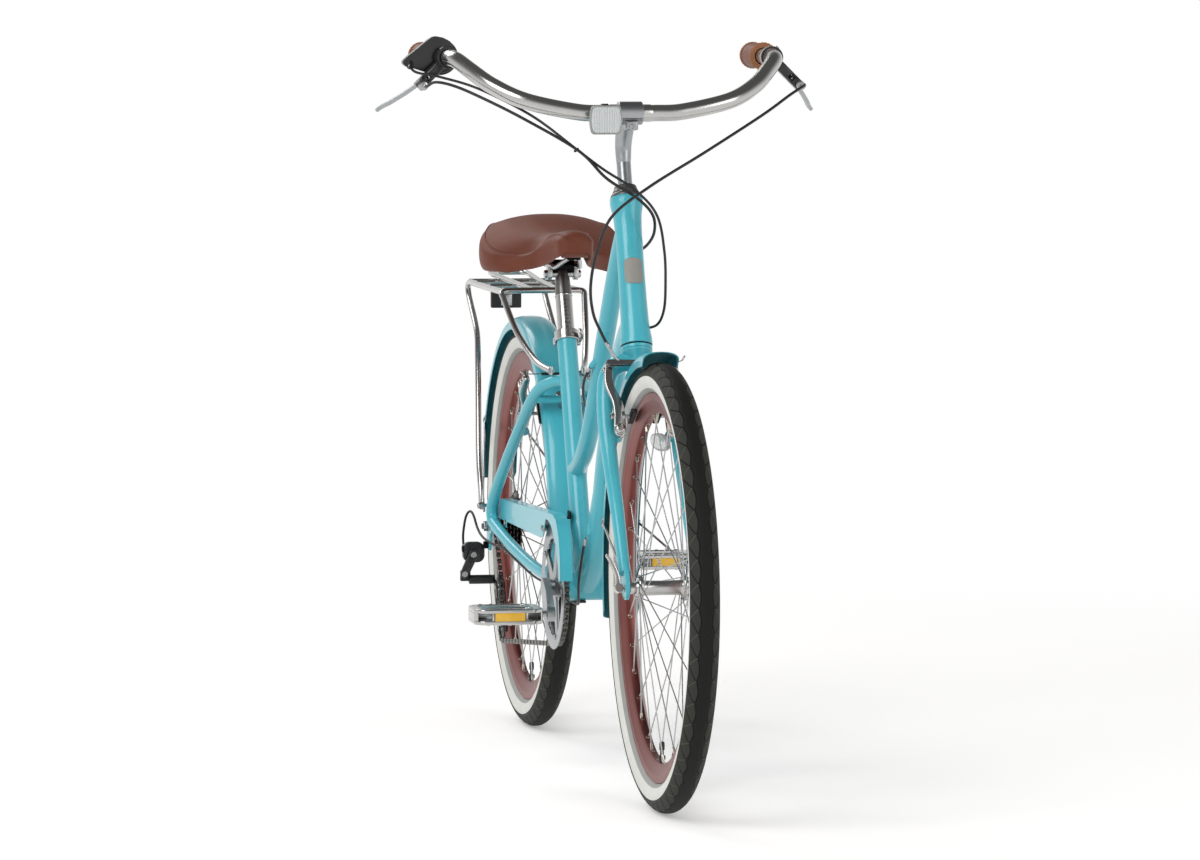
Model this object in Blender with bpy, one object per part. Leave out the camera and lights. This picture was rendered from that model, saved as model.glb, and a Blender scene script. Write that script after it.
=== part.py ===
# Step-through hybrid bicycle with 26 inch wheels, modelled as separate pieces.
# Forward is +X, the rider's left is +Y, up is +Z, and the ground is Z = 0.
# Every piece is drawn in bike coordinates, whose X = 0 is the rear axle, and is
# then shifted so that the origin lies on the ground under the bicycle's middle.
import math

import bpy
import bmesh
import numpy as np
from mathutils import Matrix, Vector

# Wheels
WHEELBASE = 1.110
AXLE_Z = 0.330
RIM_BED_R = 0.2565
RIM_HALF = 0.0125
WHEEL_SIDES = 28
SPOKE_R = 0.0010

# Fenders
FENDER_R = 0.3455
FENDER_WALL = 0.0015
FENDER_DEPTH = 0.0225
FRONT_FENDER_HALF = 0.027
REAR_FENDER_HALF = 0.029
FRONT_FENDER_ARC = (91.0, 193.0)
REAR_FENDER_ARC = (-6.0, 171.0)

# Frame and steering
HEAD_ANGLE = math.radians(69.3)
HEAD_FOOT = Vector((0.911, 0, 0.674))
HEAD_LENGTH = 0.232
BB = Vector((0.487, 0, 0.274))
BB_HALF = 0.034
SEAT_LEAN = 0.42
SEAT_TOP_Z = 0.664
SEAT_TUBE_R = 0.0157
POST_R = 0.0133
BORE_R = 0.0137
TOP_TUBE = [(0.842, 0.860), (0.775, 0.803), (0.700, 0.720), (0.630, 0.637),
            (0.580, 0.573), (0.530, 0.520), (0.480, 0.482), (0.414, 0.452)]
DOWN_TUBE = [(0.893, 0.722), (0.800, 0.665), (0.715, 0.575), (0.655, 0.490),
             (0.610, 0.400), (0.560, 0.328), (0.490, 0.276)]
STAY = [(0.487, 0.012, 0.274), (0.400, 0.031, 0.279), (0.300, 0.0465, 0.288),
        (0.170, 0.061, 0.311), (0.080, 0.0695, 0.332), (0.042, 0.0725, 0.347),
        (0.052, 0.0715, 0.380), (0.130, 0.062, 0.450), (0.220, 0.0515, 0.519),
        (0.272, 0.0455, 0.556), (0.306, 0.036, 0.577), (0.335, 0.018, 0.588),
        (0.352, 0.004, 0.590)]
STAY_R = 0.0095

# Drivetrain
PITCH = 0.0127
RING_TEETH = 44
COGS = (14, 16, 18, 20, 22, 24, 28)
COG_Y = -0.056
COG_STEP = 0.005
RING_Y = -0.0445
PULLEY_TEETH = 11
UPPER_PULLEY = (0.014, 0.230)
CAGE_LENGTH = 0.070
CAGE_PIVOT = Vector((-0.002, 0, 0.242))
CRANK_LENGTH = 0.170
CRANK_DROP = math.radians(8.4)
PEDAL_Y = 0.155

GAP = 0.0003


def unit(x, y, z):
    return Vector((x, y, z)).normalized()


HEAD_UP = Vector((-math.cos(HEAD_ANGLE), 0, math.sin(HEAD_ANGLE)))
HEAD_FRONT = Vector((math.sin(HEAD_ANGLE), 0, math.cos(HEAD_ANGLE)))
SEAT_UP = unit(-SEAT_LEAN, 0, 1)
FRONT_AXLE = Vector((WHEELBASE, 0, AXLE_Z))
REAR_AXLE = Vector((0, 0, AXLE_Z))
X_SHIFT = -0.5494


def axes(origin, x_axis, y_axis, z_axis):
    """Matrix that takes local X, Y and Z to three given directions at an origin."""
    rows = Matrix((x_axis, y_axis, z_axis)).transposed().to_4x4()
    return Matrix.Translation(origin) @ rows


HEAD = axes(HEAD_FOOT, HEAD_FRONT, Vector((0, 1, 0)), HEAD_UP)
SEAT = axes(Vector((BB.x, 0, BB.z)), Vector((SEAT_UP.z, 0, -SEAT_UP.x)), Vector((0, 1, 0)), SEAT_UP)
TO_Y = Matrix.Rotation(math.radians(-90), 4, "X")
SEAT_TOP = (SEAT_TOP_Z - BB.z) / SEAT_UP.z


def colour(hex_code):
    value = [int(hex_code[i:i + 2], 16) / 255 for i in (1, 3, 5)]
    linear = [v / 12.92 if v <= 0.04045 else ((v + 0.055) / 1.055) ** 2.4 for v in value]
    return (*linear, 1.0)


FINISHES = {
    "turquoise_paint": ("#43B6C6", 0.30, 0.0),
    "alloy": ("#C9CBCC", 0.28, 1.0),
    "dark_alloy": ("#6B6966", 0.35, 1.0),
    "stainless": ("#B9BBBD", 0.25, 1.0),
    "black_steel": ("#1B1B1C", 0.40, 0.6),
    "black_plastic": ("#17181A", 0.45, 0.0),
    "tyre_rubber": ("#2B2C2B", 0.75, 0.0),
    "rose_rim": ("#8A5350", 0.35, 0.2),
    "brown_leather": ("#7A4638", 0.55, 0.0),
    "clear_lens": ("#C9CCCB", 0.15, 0.0),
    "red_lens": ("#8E1518", 0.15, 0.0),
    "cable_housing": ("#202122", 0.50, 0.0),
}


def paint(obj, finish):
    """Give a piece its own material."""
    hex_code, roughness, metallic = FINISHES[finish]
    material = bpy.data.materials.new(f"{obj.name}_{finish}")
    material.use_nodes = True
    shader = material.node_tree.nodes["Principled BSDF"]
    shader.inputs["Base Color"].default_value = colour(hex_code)
    shader.inputs["Roughness"].default_value = roughness
    shader.inputs["Metallic"].default_value = metallic
    obj.data.materials.clear()
    obj.data.materials.append(material)


def add(mesh, name="shape"):
    obj = bpy.data.objects.new(name, mesh)
    bpy.context.collection.objects.link(obj)
    return obj


def from_bmesh(bm, clean=True):
    if clean:
        bmesh.ops.remove_doubles(bm, verts=bm.verts, dist=1e-6)
        bmesh.ops.recalc_face_normals(bm, faces=bm.faces)
    mesh = bpy.data.meshes.new("shape")
    bm.to_mesh(mesh)
    bm.free()
    return add(mesh)


def move(obj, matrix):
    obj.data.transform(matrix)
    if matrix.determinant() < 0:
        obj.data.flip_normals()
    obj.data.update()
    return obj


def mirrored(obj):
    """A copy of a shape on the other side of the bicycle."""
    other = add(obj.data.copy())
    return move(other, Matrix.Scale(-1, 4, (0, 1, 0)))


def solve(base, other, operation):
    """Apply one Boolean and drop the other shape."""
    modifier = base.modifiers.new("Boolean", "BOOLEAN")
    modifier.operation = operation
    modifier.solver = "EXACT"
    modifier.object = other
    bpy.context.view_layer.update()
    graph = bpy.context.evaluated_depsgraph_get()
    mesh = bpy.data.meshes.new_from_object(base.evaluated_get(graph))
    base.modifiers.clear()
    base.data = mesh
    bpy.data.objects.remove(other)
    return base


def union(base, *others):
    for other in others:
        solve(base, other, "UNION")
    return base


def cut(base, *others):
    for other in others:
        solve(base, other, "DIFFERENCE")
    return base


def flow(points, count, closed=False):
    """Evenly spaced points read from a Catmull-Rom curve through a route's points."""
    pts = [np.array(p, float) for p in points]
    if closed:
        pts = [pts[-1]] + pts + [pts[0], pts[1]]
    else:
        pts = [2 * pts[0] - pts[1]] + pts + [2 * pts[-1] - pts[-2]]
    fine = []
    for a, b, c, d in zip(pts, pts[1:], pts[2:], pts[3:]):
        for t in np.linspace(0, 1, 24, endpoint=False):
            fine.append(0.5 * (2 * b + (c - a) * t + (2 * a - 5 * b + 4 * c - d) * t * t
                               + (3 * b - 3 * c + d - a) * t ** 3))
    fine.append(pts[-2])
    fine = np.array(fine)
    run = np.concatenate([[0], np.cumsum(np.linalg.norm(np.diff(fine, axis=0), axis=1))])
    stops = np.linspace(0, run[-1], count)
    return [Vector([np.interp(s, run, fine[:, k]) for k in range(fine.shape[1])]) for s in stops]


def tube(points, radius, sides=8, closed=False):
    """A round bar along points; radius is one number or one for each point."""
    radii = radius if isinstance(radius, (list, tuple)) else [radius] * len(points)
    curve = bpy.data.curves.new("shape", "CURVE")
    curve.dimensions = "3D"
    curve.bevel_depth = 1.0
    curve.bevel_resolution = (sides - 4) // 2
    curve.use_fill_caps = True
    spline = curve.splines.new("POLY")
    spline.points.add(len(points) - 1)
    for point, place, size in zip(spline.points, points, radii):
        point.co = (*place, 1)
        point.radius = size
    spline.use_cyclic_u = closed
    guide = add(curve)
    bpy.context.view_layer.update()
    graph = bpy.context.evaluated_depsgraph_get()
    mesh = bpy.data.meshes.new_from_object(guide.evaluated_get(graph))
    bpy.data.objects.remove(guide)
    bm = bmesh.new()
    bm.from_mesh(mesh)
    return from_bmesh(bm)


def rod(start, end, radius, sides=8):
    return tube([Vector(start), Vector(end)], radius, sides)


def lathe(profile, steps, phase=0.0):
    """Turn a profile of (radius, height) about Z. Ends at radius 0 close the shape."""
    closed = profile[0][0] > 0 or profile[-1][0] > 0
    bm = bmesh.new()
    verts = [bm.verts.new((r * math.cos(phase), r * math.sin(phase), z)) for r, z in profile]
    pairs = list(zip(verts, verts[1:]))
    if closed:
        pairs.append((verts[-1], verts[0]))
    edges = [bm.edges.new(pair) for pair in pairs if max(v.co.xy.length for v in pair) > 0]
    bmesh.ops.spin(bm, geom=verts + edges, cent=(0, 0, 0), axis=(0, 0, 1),
                   angle=2 * math.pi, steps=steps, use_merge=True)
    return from_bmesh(bm)


def plate(loops, thickness):
    """Extrude an outline, with any holes in it, up from Z = 0."""
    bm = bmesh.new()
    edges = []
    for loop in loops:
        verts = [bm.verts.new((x, y, 0)) for x, y in loop]
        edges += [bm.edges.new(pair) for pair in zip(verts, verts[1:] + verts[:1])]
    bmesh.ops.triangle_fill(bm, edges=edges, use_beauty=True)
    grown = bmesh.ops.extrude_face_region(bm, geom=bm.faces[:])
    lifted = [v for v in grown["geom"] if isinstance(v, bmesh.types.BMVert)]
    bmesh.ops.translate(bm, verts=lifted, vec=(0, 0, thickness))
    return from_bmesh(bm)


def circle(cx, cy, radius, count, start=0.0, sweep=2 * math.pi):
    """Points round a circle, or along an arc that includes both ends."""
    whole = abs(abs(sweep) - 2 * math.pi) < 1e-9
    steps = count if whole else count - 1
    return [(cx + radius * math.cos(start + sweep * i / steps),
             cy + radius * math.sin(start + sweep * i / steps)) for i in range(count)]


def block(size, centre=(0, 0, 0), bevel=0.0):
    """A box with its edges eased."""
    bm = bmesh.new()
    bmesh.ops.create_cube(bm, size=1.0)
    bmesh.ops.scale(bm, vec=size, verts=bm.verts)
    bmesh.ops.translate(bm, vec=centre, verts=bm.verts)
    if bevel:
        bmesh.ops.bevel(bm, geom=bm.edges[:], offset=bevel, segments=1, profile=0.5,
                        affect="EDGES")
    return from_bmesh(bm)


def upright(matrix_origin, thickness):
    """Matrix that stands a plate drawn in X and Z into the bike, centred on a Y."""
    shift = Matrix.Translation((0, 0, -thickness / 2))
    stand = Matrix(((1, 0, 0, 0), (0, 0, -1, 0), (0, 1, 0, 0), (0, 0, 0, 1)))
    return Matrix.Translation(matrix_origin) @ stand @ shift



# The place of each body's joint; its pieces have their origins there.
PLACES = {
    "root": Vector((0, 0, 0)),
    "steering": HEAD_FOOT,
    "front_wheel": FRONT_AXLE,
    "rear_wheel": REAR_AXLE,
    "crank": BB,
}


def piece(name, obj, finish, holder, smooth=40):
    """Name a finished shape, give it its finish and put its origin on its joint."""
    obj.name = name
    obj.data.name = name
    place = Vector(PLACES[holder])
    obj.data.transform(Matrix.Translation(-place))
    obj.location = place + Vector((X_SHIFT, 0, 0))
    obj.data.shade_smooth()
    obj.data.set_sharp_from_angle(angle=math.radians(smooth))
    paint(obj, finish)
    return obj


def loft(rings, closed=False):
    """Skin between rings of points; the ends are filled unless it closes on itself."""
    bm = bmesh.new()
    rows = [[bm.verts.new(point) for point in ring] for ring in rings]
    pairs = list(zip(rows, rows[1:]))
    if closed:
        pairs.append((rows[-1], rows[0]))
    for first, second in pairs:
        count = len(first)
        for i in range(count):
            j = (i + 1) % count
            bm.faces.new((first[i], first[j], second[j], second[i]))
    if not closed:
        bm.faces.new(rows[0][::-1])
        bm.faces.new(rows[-1])
    return from_bmesh(bm)


def joined(shapes):
    """Several separate shapes as one mesh."""
    bm = bmesh.new()
    for shape in shapes:
        bm.from_mesh(shape.data)
        bpy.data.objects.remove(shape)
    return from_bmesh(bm, clean=False)


def side_plate(outline, thickness, y, holes=()):
    """A flat plate drawn in X and Z and centred on Y = y."""
    return move(plate([outline, *holes], thickness), upright((0, y, 0), thickness))


def bar_shape(a, b, ra, rb, count=6):
    """Outline of a bar with round ends between two points."""
    angle = math.atan2(b[1] - a[1], b[0] - a[0])
    lean = math.acos(max(-1, min(1, (ra - rb) / math.dist(a, b))))
    far = circle(b[0], b[1], rb, count, angle - lean, 2 * lean)
    near = circle(a[0], a[1], ra, count, angle + lean, 2 * math.pi - 2 * lean)
    return far + near


def wheel_lathe(profile):
    """Turn a closed wheel profile about the axle with a flat facet at the bottom."""
    half = math.pi / WHEEL_SIDES
    ring = [(r / math.cos(half), y) for r, y in profile]
    return move(lathe(ring, WHEEL_SIDES, half), TO_Y)


def arc_shell(profile, start, stop, steps):
    """Sweep a closed (radius, y) profile round the axle between two angles."""
    rings = []
    for i in range(steps + 1):
        angle = math.radians(start + (stop - start) * i / steps)
        rings.append([(r * math.cos(angle), y, r * math.sin(angle)) for r, y in profile])
    return loft(rings)


# Frame and headset

def head_solid():
    profile = [(0, 0), (0.0245, 0), (0.0242, 0.012), (0.0208, 0.045), (0.0200, 0.120),
               (0.0205, 0.190), (0.0245, 0.220), (0.0250, HEAD_LENGTH), (0, HEAD_LENGTH)]
    return move(lathe(profile, 16), HEAD)


def down_tube():
    """The oval down tube, which widens to the bottom bracket."""
    route = flow([(x, 0, z) for x, z in DOWN_TUBE], 9)
    obj = tube(route, 0.0190, 12)
    for vert in obj.data.vertices:
        share = min(1.0, max(0.0, (vert.co.z - BB.z) / 0.16))
        vert.co.y *= 1.25 - 0.58 * share
    return obj


def dropout(side):
    outline = [(0.057, 0.350), (0.030, 0.364), (0.010, 0.374), (-0.008, 0.373),
               (-0.012, 0.352), (-0.0165, 0.338)]
    if side < 0:
        outline += [(-0.0165, 0.318), (-0.012, 0.302), (-0.007, 0.290), (0.006, 0.290),
                    (0.011, 0.300), (0.014, 0.314), (0.057, 0.336)]
    else:
        outline += [(-0.0165, 0.322), (-0.008, 0.313), (0.010, 0.313), (0.057, 0.336)]
    hole = circle(0, AXLE_Z, 0.0053, 8)
    return side_plate(outline, 0.005, side * 0.070, [hole])


def brake_boss(base, direction, arm_from, arm_to):
    """A brake stud: shoulder, pin through the arm, and the bolt head that keeps it."""
    profile = [(0, 0), (0.0065, 0), (0.0065, arm_from - GAP), (0.0038, arm_from - GAP),
               (0.0038, arm_to + GAP), (0.0056, arm_to + GAP), (0.0056, arm_to + 0.004),
               (0, arm_to + 0.004)]
    turn = Vector((0, 0, 1)).rotation_difference(direction).to_matrix().to_4x4()
    return move(lathe(profile, 8), Matrix.Translation(base) @ turn)


# Both brakes: the pivot's radius from the axle, the arm's height and its plane.
ARM_PIVOT_R = 0.2545
ARM_RISE = 0.107
ARM_HALF = 0.0050
FRONT_U = unit(-0.4781, 0, 0.8783)
FRONT_T = unit(0.8783, 0, 0.4781)
FRONT_STUD_T = -0.0258
FRONT_ARM_Y = 0.040
REAR_U = unit(0.7013, 0, 0.7129)
REAR_T = unit(-0.7129, 0, 0.7013)
REAR_STUD_T = -0.0194
REAR_ARM_Y = 0.045
HUB_HALF = 0.0069
LINK_T = 0.0105


def brake_place(axle, u, t, radius, offset, y):
    return axle + u * radius + t * offset + Vector((0, y, 0))


def make_frame():
    top = tube(flow([(x, 0, z) for x, z in TOP_TUBE], 10), 0.0143, 12)
    seat_top = SEAT @ Vector((0, 0, SEAT_TOP))
    seat = rod(BB, seat_top, SEAT_TUBE_R, 16)
    shell = rod(BB - Vector((0, BB_HALF, 0)), BB + Vector((0, BB_HALF, 0)), 0.0215, 16)
    stay = tube(flow(STAY, 21), STAY_R, 8)
    bridge = rod((0.291, -0.041, 0.5565), (0.291, 0.041, 0.5565), 0.006, 8)
    low_bridge = rod((0.350, -0.038, 0.2885), (0.350, 0.038, 0.2885), 0.006, 8)
    boss = tube([Vector((0.606, -0.006, 0.385)), Vector((0.600, -0.0155, 0.366))], 0.0042, 8)
    frame = union(head_solid(), down_tube(), top, seat, shell, mirrored(stay), stay)
    union(frame, dropout(1), dropout(-1), bridge, low_bridge, boss)
    for side in (1, -1):
        base = brake_place(REAR_AXLE, REAR_U, REAR_T, ARM_PIVOT_R, REAR_STUD_T,
                           side * REAR_ARM_Y)
        union(frame, brake_boss(base, REAR_T, -REAR_STUD_T - HUB_HALF, -REAR_STUD_T + HUB_HALF))
    shell_bore = rod(BB - Vector((0, 0.05, 0)), BB + Vector((0, 0.05, 0)), 0.0177, 14)
    post_bore = rod(SEAT @ Vector((0, 0, SEAT_TOP - 0.195)),
                    SEAT @ Vector((0, 0, SEAT_TOP + 0.02)), BORE_R, 14)
    steerer_bore = rod(HEAD @ Vector((0, 0, -0.01)),
                       HEAD @ Vector((0, 0, HEAD_LENGTH + 0.01)), 0.0150, 12)
    cut(frame, shell_bore, post_bore, steerer_bore)
    piece("frame", frame, "turquoise_paint", "root")


def make_headset():
    upper = [(0.0132, HEAD_LENGTH + GAP), (0.0240, HEAD_LENGTH + GAP),
             (0.0225, HEAD_LENGTH + 0.006), (0.0132, HEAD_LENGTH + 0.006)]
    piece("headset_upper_cup", move(lathe(upper, 16), HEAD), "dark_alloy", "root")
    lower = [(0.0132, -0.0073), (0.0238, -0.0073), (0.0238, -GAP), (0.0132, -GAP)]
    piece("headset_lower_cup", move(lathe(lower, 16), HEAD), "dark_alloy", "root")
    base = HEAD_LENGTH + 0.0063
    cone = [(0.0131, base), (0.0205, base), (0.0205, base + 0.003), (0.0165, base + 0.013),
            (0.0131, base + 0.013)]
    piece("headset_top_cone", move(lathe(cone, 16), HEAD), "dark_alloy", "steering")
    cartridge = [(0.0100, -0.0362), (0.0200, -0.0362), (0.0200, -0.0345), (0.0171, -0.0345),
                 (0.0171, 0.0345), (0.0200, 0.0345), (0.0200, 0.0362), (0.0100, 0.0362)]
    unit_shape = move(lathe(cartridge, 14), Matrix.Translation(BB) @ TO_Y)
    piece("bottom_bracket", unit_shape, "black_steel", "root")


# Fork, stem and handlebar

BLADE = [(0.9165, -0.005, 0.650), (0.9175, 0.026, 0.648), (0.9230, 0.046, 0.628),
         (0.9450, 0.0535, 0.580), (0.9770, 0.0538, 0.520), (1.0375, 0.0535, 0.440),
         (1.0900, 0.0535, 0.363), (1.0985, 0.0535, 0.351)]


def make_fork():
    profile = [(0, -0.034), (0.0150, -0.034), (0.0165, -0.0235), (0.0235, -0.0100),
               (0.0235, -0.0076), (0.0127, -0.0076), (0.0127, HEAD_LENGTH + 0.0180),
               (0, HEAD_LENGTH + 0.0180)]
    fork = move(lathe(profile, 16), HEAD)
    count = 13
    radii = [0.0145 - 0.0058 * (i / (count - 1)) for i in range(count)]
    blade = tube(flow(BLADE, count), radii, 10)
    union(fork, mirrored(blade), blade)
    outline = [(1.088, 0.374), (1.103, 0.366), (1.121, 0.346), (1.125, 0.331), (1.120, 0.317),
               (1.108, 0.313), (1.090, 0.320), (1.079, 0.333), (1.081, 0.340), (1.092, 0.345)]
    hole = circle(WHEELBASE, AXLE_Z, 0.0053, 8)
    for side in (1, -1):
        union(fork, side_plate(outline, 0.006, side * 0.0531, [hole]))
        base = brake_place(FRONT_AXLE, FRONT_U, FRONT_T, ARM_PIVOT_R, FRONT_STUD_T,
                           side * FRONT_ARM_Y)
        union(fork, brake_boss(base, FRONT_T, -FRONT_STUD_T - HUB_HALF,
                               -FRONT_STUD_T + HUB_HALF))
    quill_bore = rod(HEAD @ Vector((0, 0, HEAD_LENGTH - 0.060)),
                     HEAD @ Vector((0, 0, HEAD_LENGTH + 0.03)), 0.0113, 12)
    cut(fork, quill_bore)
    piece("fork", fork, "turquoise_paint", "steering")


BAR = [(0.859, 0.035, 1.020), (0.858, 0.080, 1.022), (0.845, 0.155, 1.038),
       (0.815, 0.200, 1.060), (0.779, 0.2275, 1.0825), (0.750, 0.2440, 1.0980),
       (0.720, 0.2499, 1.1023)]
BAR_R = 0.0125
BAR_END_X = 0.5125


def make_stem_and_bar():
    quill_top = HEAD @ Vector((0, 0, 0.300))
    quill = rod(HEAD @ Vector((0, 0, HEAD_LENGTH - 0.055)), quill_top, 0.0108, 12)
    riser = tube([quill_top - HEAD_UP * 0.006, Vector((0.806, 0, 0.972)),
                  Vector((0.824, 0, 1.000)), Vector((0.846, 0, 1.022))],
                 [0.0112, 0.0125, 0.0140, 0.0150], 12)
    cap = rod((0.842, 0, 1.016), (0.842, 0, 1.037), 0.0165, 14)
    clamp = rod((0.859, -0.018, 1.020), (0.859, 0.018, 1.020), 0.0175, 16)
    bolt = rod((0.858, 0, 0.999), (0.876, 0, 0.999), 0.0050, 6)
    stem = union(quill, riser, cap, clamp, bolt)
    cut(stem, rod((0.859, -0.04, 1.020), (0.859, 0.04, 1.020), BAR_R + 3 * GAP, 14))
    piece("stem", stem, "alloy", "steering")
    half = flow(BAR, 13) + [bar_point(1, BAR_END_X)]
    route = [Vector((place.x, -place.y, place.z)) for place in reversed(half)] + half
    piece("handlebar", tube(route, BAR_R, 10), "alloy", "steering")


def bar_point(side, x):
    """The bar's centre at X on its straight end stretch."""
    return Vector((x, side * (0.2485 + (0.745 - x) * 0.0574), 1.1020 + (0.745 - x) * 0.0128))


def bar_axes(side, x):
    """Frame on the bar: Z runs back along the grip, X points outward and down."""
    back = unit(-0.9983, side * 0.0573, 0.0128)
    out = Vector((0, side, -1))
    out = (out - back * out.dot(back)).normalized()
    return axes(bar_point(side, x), out, back.cross(out), back)


def make_grips():
    profile = [(0.0132, 0), (0.0215, 0), (0.0215, 0.004), (0.0188, 0.007), (0.0195, 0.055),
               (0.0188, 0.101), (0.0206, 0.106), (0.0206, 0.112), (0, 0.112), (0, 0.1095),
               (0.0132, 0.1095)]
    piece("left_grip", move(lathe(profile, 14), bar_axes(1, 0.620)), "brown_leather",
          "steering")
    short = [(r, h - 0.024 if h > 0.05 else h) for r, h in profile]
    piece("right_grip", move(lathe(short, 14), bar_axes(-1, 0.596)), "brown_leather",
          "steering")


# Brake levers and twist shifter. Local Z runs along the bar, X outward.
PIVOT_OUT = 0.046
PIVOT_BACK = 0.008
BARREL_OUT = 0.060


def make_levers():
    for name, side in (("left", 1), ("right", -1)):
        place = bar_axes(side, 0.700)
        ring = lathe([(0.0133, -0.007), (0.0172, -0.007), (0.0172, 0.007), (0.0133, 0.007)], 14)
        body = block((0.050, 0.015, 0.022), (0.0400, 0, 0.004))
        barrel = rod((BARREL_OUT, 0, -0.006), (BARREL_OUT, 0, -0.030), 0.0068, 8)
        bracket = union(ring, body, barrel)
        cut(bracket, block((0.040, 0.0066, 0.030), (0.0500, 0, 0.0140)))
        pin = rod((PIVOT_OUT, -0.0078, PIVOT_BACK), (PIVOT_OUT, 0.0078, PIVOT_BACK), 0.0022, 6)
        union(bracket, pin)
        piece(f"{name}_lever_bracket", move(bracket, place), "black_steel", "steering")
        outline = [(0.008, 0.040), (0.022, 0.048), (0.050, 0.071), (0.090, 0.093),
                   (0.118, 0.1035), (0.128, 0.1105), (0.131, 0.117), (0.126, 0.1185),
                   (0.112, 0.1105), (0.086, 0.1015), (0.046, 0.0800), (0.022, 0.0620),
                   (0.010, 0.0535), (0.0025, 0.0500), (0.0020, 0.0430)]
        hole = circle(PIVOT_BACK, PIVOT_OUT, 0.0027, 6)
        blade = plate([outline, hole], 0.0058)
        turn = Matrix(((0, 1, 0, 0), (0, 0, 1, -0.0029), (1, 0, 0, 0), (0, 0, 0, 1)))
        PLACES[f"{name}_lever"] = place @ Vector((PIVOT_OUT, 0, PIVOT_BACK))
        piece(f"{name}_brake_lever", move(blade, place @ turn), "alloy", f"{name}_lever")


def make_shifter():
    place = bar_axes(-1, 0.672)
    ring = lathe([(0.0132, 0), (0.0215, 0), (0.0235, 0.004), (0.0235, 0.0165),
                  (0.0132, 0.0165)], 14)
    housing = move(ring, place)
    wedge = [(-0.3144, 1.0980), (-0.3105, 1.0892), (-0.2800, 1.0803), (-0.2620, 1.0784),
             (-0.2430, 1.0850), (-0.2400, 1.1235), (-0.2577, 1.1335), (-0.2702, 1.1335)]
    stand = Matrix(((0, 0, 1, 0.6570), (1, 0, 0, 0), (0, 1, 0, 0), (0, 0, 0, 1)))
    union(housing, move(plate([wedge], 0.0175), stand))
    cut(housing, rod(bar_point(-1, 0.69), bar_point(-1, 0.63), 0.0132, 14))
    piece("shifter_housing", housing, "black_plastic", "steering")
    count = 18
    rings = []
    for height, radius in ((0.0173, 0.0270), (0.0230, 0.0280), (0.0560, 0.0262),
                           (0.0752, 0.0205)):
        ridge = [radius - (0.0012 if i % 2 else 0) for i in range(count)]
        rings.append([(r * math.cos(i * 2 * math.pi / count),
                       r * math.sin(i * 2 * math.pi / count), height)
                      for i, r in enumerate(ridge)])
    inner = [[(0.0130 * math.cos(i * 2 * math.pi / count),
               0.0130 * math.sin(i * 2 * math.pi / count), h) for i in range(count)]
             for h in (0.0752, 0.0173)]
    grip = loft(rings + inner, closed=True)
    PLACES["shifter"] = bar_point(-1, 0.640)
    piece("shifter_grip", move(grip, place), "black_plastic", "shifter", 20)


def make_front_reflector():
    lens = block((0.008, 0.050, 0.044), (0.902, -0.0445, 1.0105), 0.004)
    arm = rod((0.876, -0.030, 1.020), (0.901, -0.036, 1.015), 0.003, 6)
    ring = rod((0.859, -0.024, 1.020), (0.859, -0.036, 1.020), 0.0168, 12)
    reflector = union(ring, arm, lens)
    cut(reflector, rod((0.859, -0.05, 1.020), (0.859, 0, 1.020), BAR_R + 3 * GAP, 12))
    piece("front_reflector", reflector, "clear_lens", "steering")


# Wheels

def make_tyre(name, axle, holder):
    half = [(0.3300, 0.0060), (0.3235, 0.0170), (0.3115, 0.0215), (0.2872, 0.0092),
            (0.2858, 0.0092), (0.2770, 0.0092)]
    profile = half + [(r, -y) for r, y in reversed(half)]
    shape = move(wheel_lathe(profile), Matrix.Translation(axle))
    piece(name, shape, "tyre_rubber", holder)


def make_rim(name, axle, holder):
    half = [(0.2766, 0.0110), (0.2855, 0.0110), (0.2855, RIM_HALF), (0.2742, RIM_HALF),
            (RIM_BED_R, 0.0055)]
    profile = half + [(r, -y) for r, y in reversed(half)]
    shape = move(wheel_lathe(profile), Matrix.Translation(axle))
    valve = rod(axle - Vector((0, 0, 0.226)), axle - Vector((0, 0, 0.262)), 0.0040, 8)
    piece(name, union(shape, valve), "rose_rim", holder)


def three_sided(start, stop, radius):
    """A thin rod with three faces."""
    ahead = (stop - start).normalized()
    across = ahead.cross(Vector((0, 1, 0))).normalized()
    lift = across.cross(ahead)
    rings = []
    for place in (start, stop):
        rings.append([place + (across * math.cos(a) + lift * math.sin(a)) * radius
                      for a in (0, 2 * math.pi / 3, 4 * math.pi / 3)])
    return loft(rings)


def spoke_group(side, flange_y, crossing, first):
    """Nine spokes of one flange that lean the same way."""
    spokes = []
    for i in range(9):
        rim_angle = math.radians(first + 40 * i)
        hub_angle = rim_angle + crossing * math.radians(60)
        start = Vector((0.0168 * math.cos(hub_angle), side * flange_y,
                        0.0168 * math.sin(hub_angle)))
        stop = Vector((0.2560 * math.cos(rim_angle), side * 0.0022,
                       0.2560 * math.sin(rim_angle)))
        spokes.append(three_sided(start, stop, SPOKE_R))
    return joined(spokes)


def make_hub(name, axle, holder, ends, flanges):
    """A hub shell with 36 spokes laced three-cross; flanges are given as y ranges."""
    right, left = flanges
    profile = [(0.0054, ends[0]), (0.0085, ends[0]), (0.0085, ends[1]), (0.0115, ends[1])]
    profile += [(0.0115, -right[1]), (0.0195, -right[1]), (0.0195, -right[0]),
                (0.0120, -right[0]), (0.0120, left[0]), (0.0195, left[0]),
                (0.0195, left[1]), (0.0115, left[1])]
    profile += [(0.0085, ends[2]), (0.0085, ends[3]), (0.0054, ends[3])]
    hub = move(lathe(profile, 12), TO_Y)
    for side, span in ((-1, right), (1, left)):
        start = 5 if side > 0 else 15
        union(hub, spoke_group(side, span[1] - 0.001, 1, start),
              spoke_group(side, span[0] + 0.001, -1, start + 20))
    piece(name, move(hub, Matrix.Translation(axle)), "stainless", holder, 50)


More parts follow.
